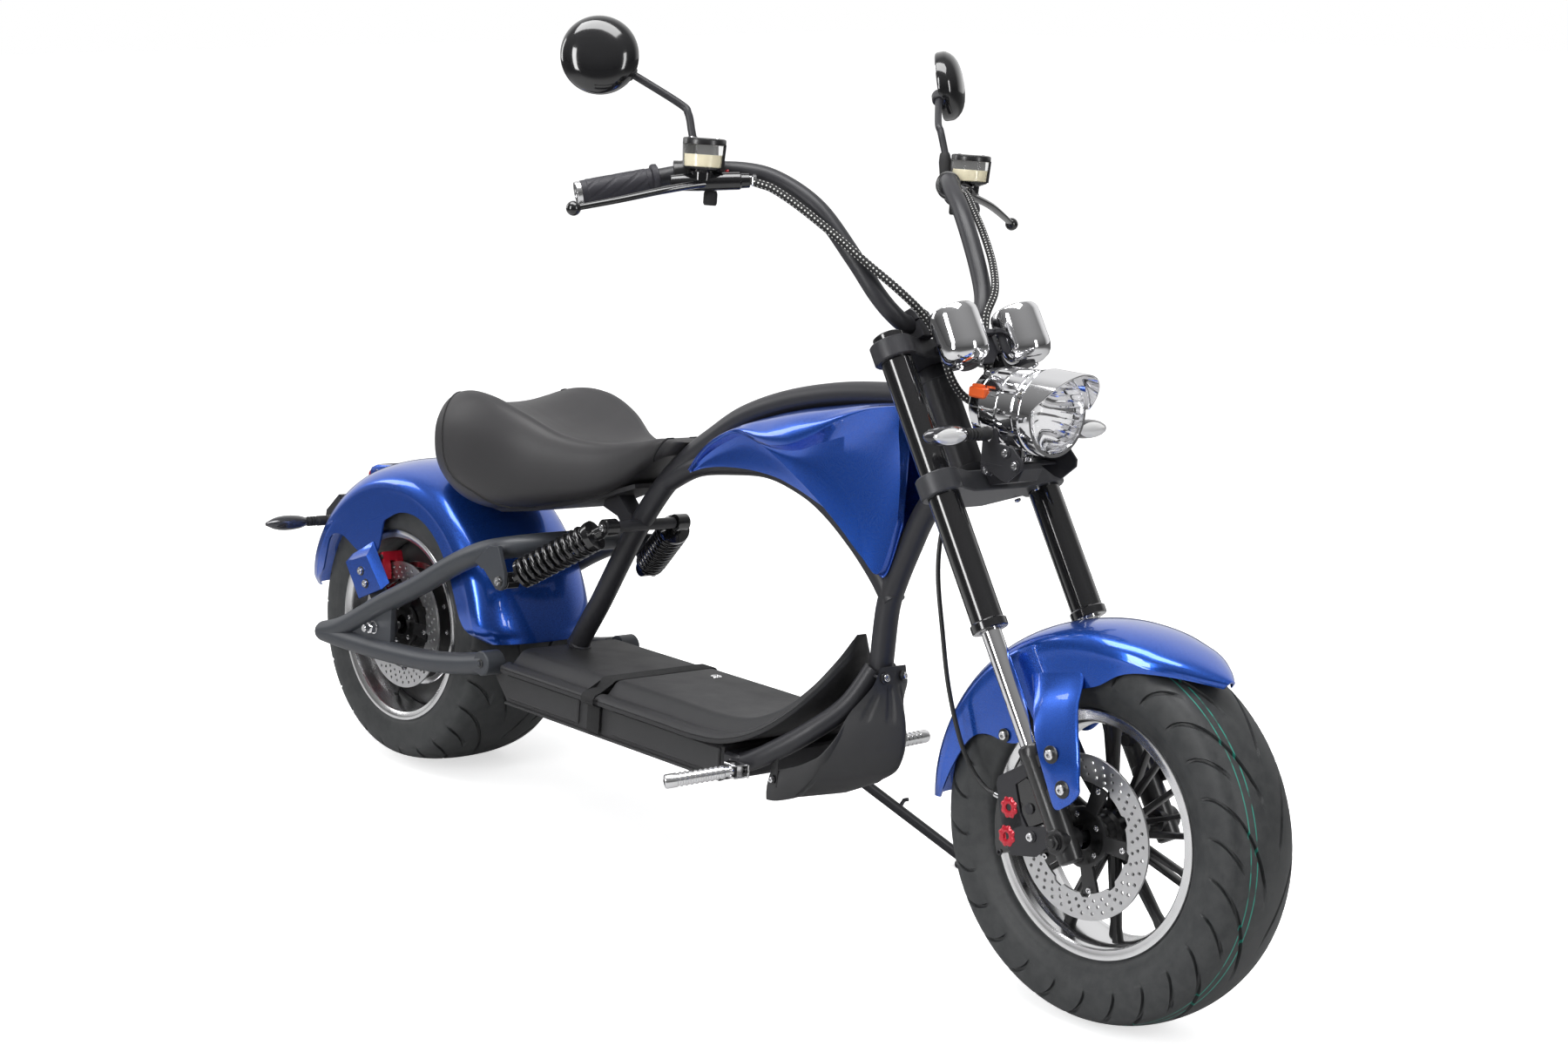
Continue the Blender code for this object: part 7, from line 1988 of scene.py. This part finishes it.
# (side, its word, how far the tip is ahead of the root, out to the side and above it)
PEGS = ((-1, "right", -0.050, 0.228, -0.018), (1, "left", 0.007, 0.252, 0.006))
hinge_pin = ((0, 0.0050), (0.0008, 0.0056), (0.0226, 0.0056), (0.0236, 0.0046))
for side, word, ahead, out, rise in PEGS:
    shape = Shape()
    root = Vector((peg_x + 0.002, side * 0.1430, peg_z))
    tip = Vector((root.x + ahead, side * out, peg_z + rise))
    way = (tip - root).normalized()
    length = (tip - root).length
    corners = ((-0.0230, -0.0100), (0.0190, -0.0100), (0.0190, 0.0100), (-0.0230, 0.0100))
    shape.plate([(peg_x + x, peg_z + z) for x, z in corners], side * 0.1256, side * 0.1286, "Y", 0.0010)
    for lift in (-1, 1):
        corners = ((-0.0180, 0.1280), (0.0140, 0.1280), (0.0120, 0.1480), (-0.0120, 0.1480))
        ear = [(peg_x + x, side * y) for x, y in corners]
        shape.plate(ear, peg_z + lift * 0.0076, peg_z + lift * 0.0104, "Z", 0.0008)
    shape.turn((peg_x, side * 0.1400, peg_z - 0.0118), UP, hinge_pin, 24, 1)
    for x in (-0.0180, 0.0150):
        shape.bolt((peg_x + x, side * 0.1286, peg_z), (0, side, 0), 0.0040, 0.0036, 0, 1, 1)
    stations = [(0.0, 0.0070), (0.0020, 0.0078), (0.0120, 0.0080), (0.0135, 0.0100), (0.0170, 0.0104)]
    pitch = (length - 0.0170 - 0.0160) / PEG_RIBS
    for i in range(PEG_RIBS):
        at = 0.0170 + pitch * i
        rib = ((0.10, 0.0104), (0.22, 0.0092), (0.62, 0.0092), (0.74, 0.0104))
        stations += [(at + pitch * share, r) for share, r in rib]
    stations += [
        (length - 0.0140, 0.0105), (length - 0.0030, 0.0105), (length - 0.0006, 0.0094), (length, 0.0070),
    ]
    shape.turn(root, way, stations, 40)
    shape.bolt(tip - way * 0.0004, way, 0.0046, 0.0012, 0, 1, 1)
    shape.made(
        f"ribbed_peg_{word}", "chassis", CHASSIS, [polished, cast_black], "steel", [f"foot_peg_{word}"], 32
    )

# Side stand: a straight steel leg in satin black with a flat round foot. Its hub is bolted to the
# frame's boss, and a small hook on the leg is there for a return spring.

SOLE_AHEAD = 1.005
SOLE_OUT = 0.275
# the sole's height brings it down to the floor
sole = Vector((SOLE_AHEAD, SOLE_OUT, -(CHASSIS @ Vector((SOLE_AHEAD, SOLE_OUT, 0))).z / CHASSIS[2][2]))
world_up = Vector(CHASSIS[2][:3])
shape = Shape()
hub_low = STAND_PIVOT + STAND_AXIS * 0.0043
shape.turn(hub_low, STAND_AXIS, ((0, 0.0120), (0.0010, 0.0130), (0.0160, 0.0130), (0.0170, 0.0120)), 40)
shape.bolt(hub_low + STAND_AXIS * 0.0168, STAND_AXIS, 0.0068, 0.0040, 0, 1, 1)
leg_top = STAND_PIVOT + STAND_AXIS * 0.0135
leg_foot = sole + world_up * 0.0070
shape.sweep([leg_top, leg_foot], 0.0080, 28)
foot = ((0, 0.0190), (0.0010, 0.0200), (0.0050, 0.0200), (0.0060, 0.0190))
shape.turn(sole, world_up, foot, 40)
shape.ball(leg_foot, 0.0092, 0, 12)
shape.turn(leg_foot, leg_top - leg_foot, ((0, 0.0120), (0.0060, 0.0110), (0.0160, 0.0082)), 28)
tang = leg_top + (leg_foot - leg_top) * 0.42
outward = (leg_top - leg_foot).cross(Vector((1, 0, 0))).normalized()
hook = [tang + outward * 0.0060, tang + outward * 0.0170, tang + outward * 0.0200 + Vector((0.0060, 0, 0))]
shape.sweep(hook, 0.0032, 16)
shape.made("side_stand_leg", "side_stand", CHASSIS, [powder, chrome], "satin_black", ["side_stand"], 34)

# Wiring and brake hose: two looms in dotted black sleeve run from the bar's controls down between
# the gauges to the lamp, and one black hose with crimped ends feeds the front caliper.

sleeve = Finish("dotted_sleeve", (0.012, 0.012, 0.013), 0.62)
along = sleeve.painted_on("along")
around = sleeve.painted_on("around")
DOT_PITCH = 0.0058
row = sleeve.add("ShaderNodeMath", {"operation": "FRACT"}, {0: along / DOT_PITCH})
column = sleeve.add("ShaderNodeMath", {"operation": "FRACT"}, {0: around * 6})
dot = row.band(0.30, 0.66, 0.04) * column.band(0.32, 0.68, 0.04)
rows = along / DOT_PITCH
strand = sleeve.add("ShaderNodeMath", {"operation": "SINE"}, {0: (rows + around * 8) * (8 * pi)})
crossing = sleeve.add("ShaderNodeMath", {"operation": "SINE"}, {0: (rows - around * 8) * (8 * pi)})
weave = strand + crossing
sleeve.set("Base Color", sleeve.mix(dot, (0.012, 0.012, 0.013), (0.78, 0.78, 0.76)))
sleeve.bump(weave * 0.5 + dot * 0.6, 0.0003, 0.8)
hose_rubber = Finish("hose_rubber", (0.014, 0.014, 0.015), 0.42)
LOOM = (
    (-0.0112, 0.2088, 0.9680), (-0.0045, 0.2040, 0.9610), (0.006, 0.194, 0.948), (0.022, 0.176, 0.915),
    (0.042, 0.153, 0.865), (0.060, 0.126, 0.810), (0.072, 0.095, 0.762), (0.070, 0.062, 0.726),
    (0.066, 0.047, 0.690), (0.0645, 0.045, 0.665), (0.056, 0.036, 0.640), (0.050, 0.022, 0.620),
    (0.0555, 0.013, 0.6045), (0.0650, 0.012, 0.5984),
)
HOSE = (
    (-0.0656, -0.078, 0.0849), (-0.0768, -0.078, 0.0948), (-0.088, -0.080, 0.108), (-0.096, -0.084, 0.135),
    (-0.094, -0.090, 0.180), (-0.080, -0.093, 0.250), (-0.058, -0.093, 0.320), (-0.036, -0.090, 0.390),
    (-0.014, -0.082, 0.440), (0.008, -0.074, 0.466), (0.012, -0.072, 0.4793),
)
LOOM_RADIUS = 0.0056
HOSE_RADIUS = 0.0032
SLEEVE_SIDES = 24
for side, word in SIDES:
    shape = Shape()
    path = smoothed([(x, side * y, z) for x, y, z in LOOM], 12)
    shape.sweep(path, LOOM_RADIUS, SLEEVE_SIDES)
    piece = shape.made(f"sleeved_loom_{word}", "steering", STEERING, [sleeve], "rubber", [f"loom_{word}"], 60)
    lengths = [0.0]
    for a, b in zip(path, path[1:]):
        lengths.append(lengths[-1] + (b - a).length)
    for name, values in (
        ("along", [run for run in lengths for _ in range(SLEEVE_SIDES)]),
        ("around", [min(j, SLEEVE_SIDES - j) / SLEEVE_SIDES for _ in lengths for j in range(SLEEVE_SIDES)]),
    ):
        carried = piece.data.attributes.new(name, "FLOAT", "POINT")
        carried.data.foreach_set("value", values)
crimp = (
    (0, 0.0030), (0.0005, 0.0038), (0.0070, 0.0038), (0.0075, 0.0034), (0.0085, 0.0034), (0.0090, 0.0038),
    (0.0160, 0.0038), (0.0165, 0.0033),
)
shape = Shape()
path = smoothed(HOSE, 8)
shape.sweep(path, HOSE_RADIUS, 20)
for end, inner in ((path[0], path[5]), (path[-1], path[-5])):
    shape.turn(end, inner - end, crimp, 20, 1)
shape.made("front_brake_hose", "steering", STEERING, [hose_rubber, chrome], "rubber", ["brake_hose"], 34)

# Valve stems: a short stem in a rubber sleeve with a cap on it, pushed through each rim's well
# from inside.

VALVE_TURN = radians(250)
valve = ((0, 0.0050), (0.0020, 0.0060), (0.0080, 0.0048), (0.0090, 0.0026), (0.0180, 0.0026))
valve_cap = ((0.0170, 0.0038), (0.0175, 0.0042), (0.0280, 0.0042), (0.0290, 0.0032))
for name, radius, y in (("front", 0.158, -0.020), ("rear", 0.152, -0.060)):
    out = Vector((cos(VALVE_TURN), 0, sin(VALVE_TURN)))
    root = out * radius + Vector((0, y, 0))
    shape = Shape()
    shape.turn(root, -out, valve, 20)
    shape.turn(root, -out, valve_cap, 12)
    shape.made(f"{name}_valve_stem", *WHEELS[name], [bush_rubber], "rubber", (), 34)
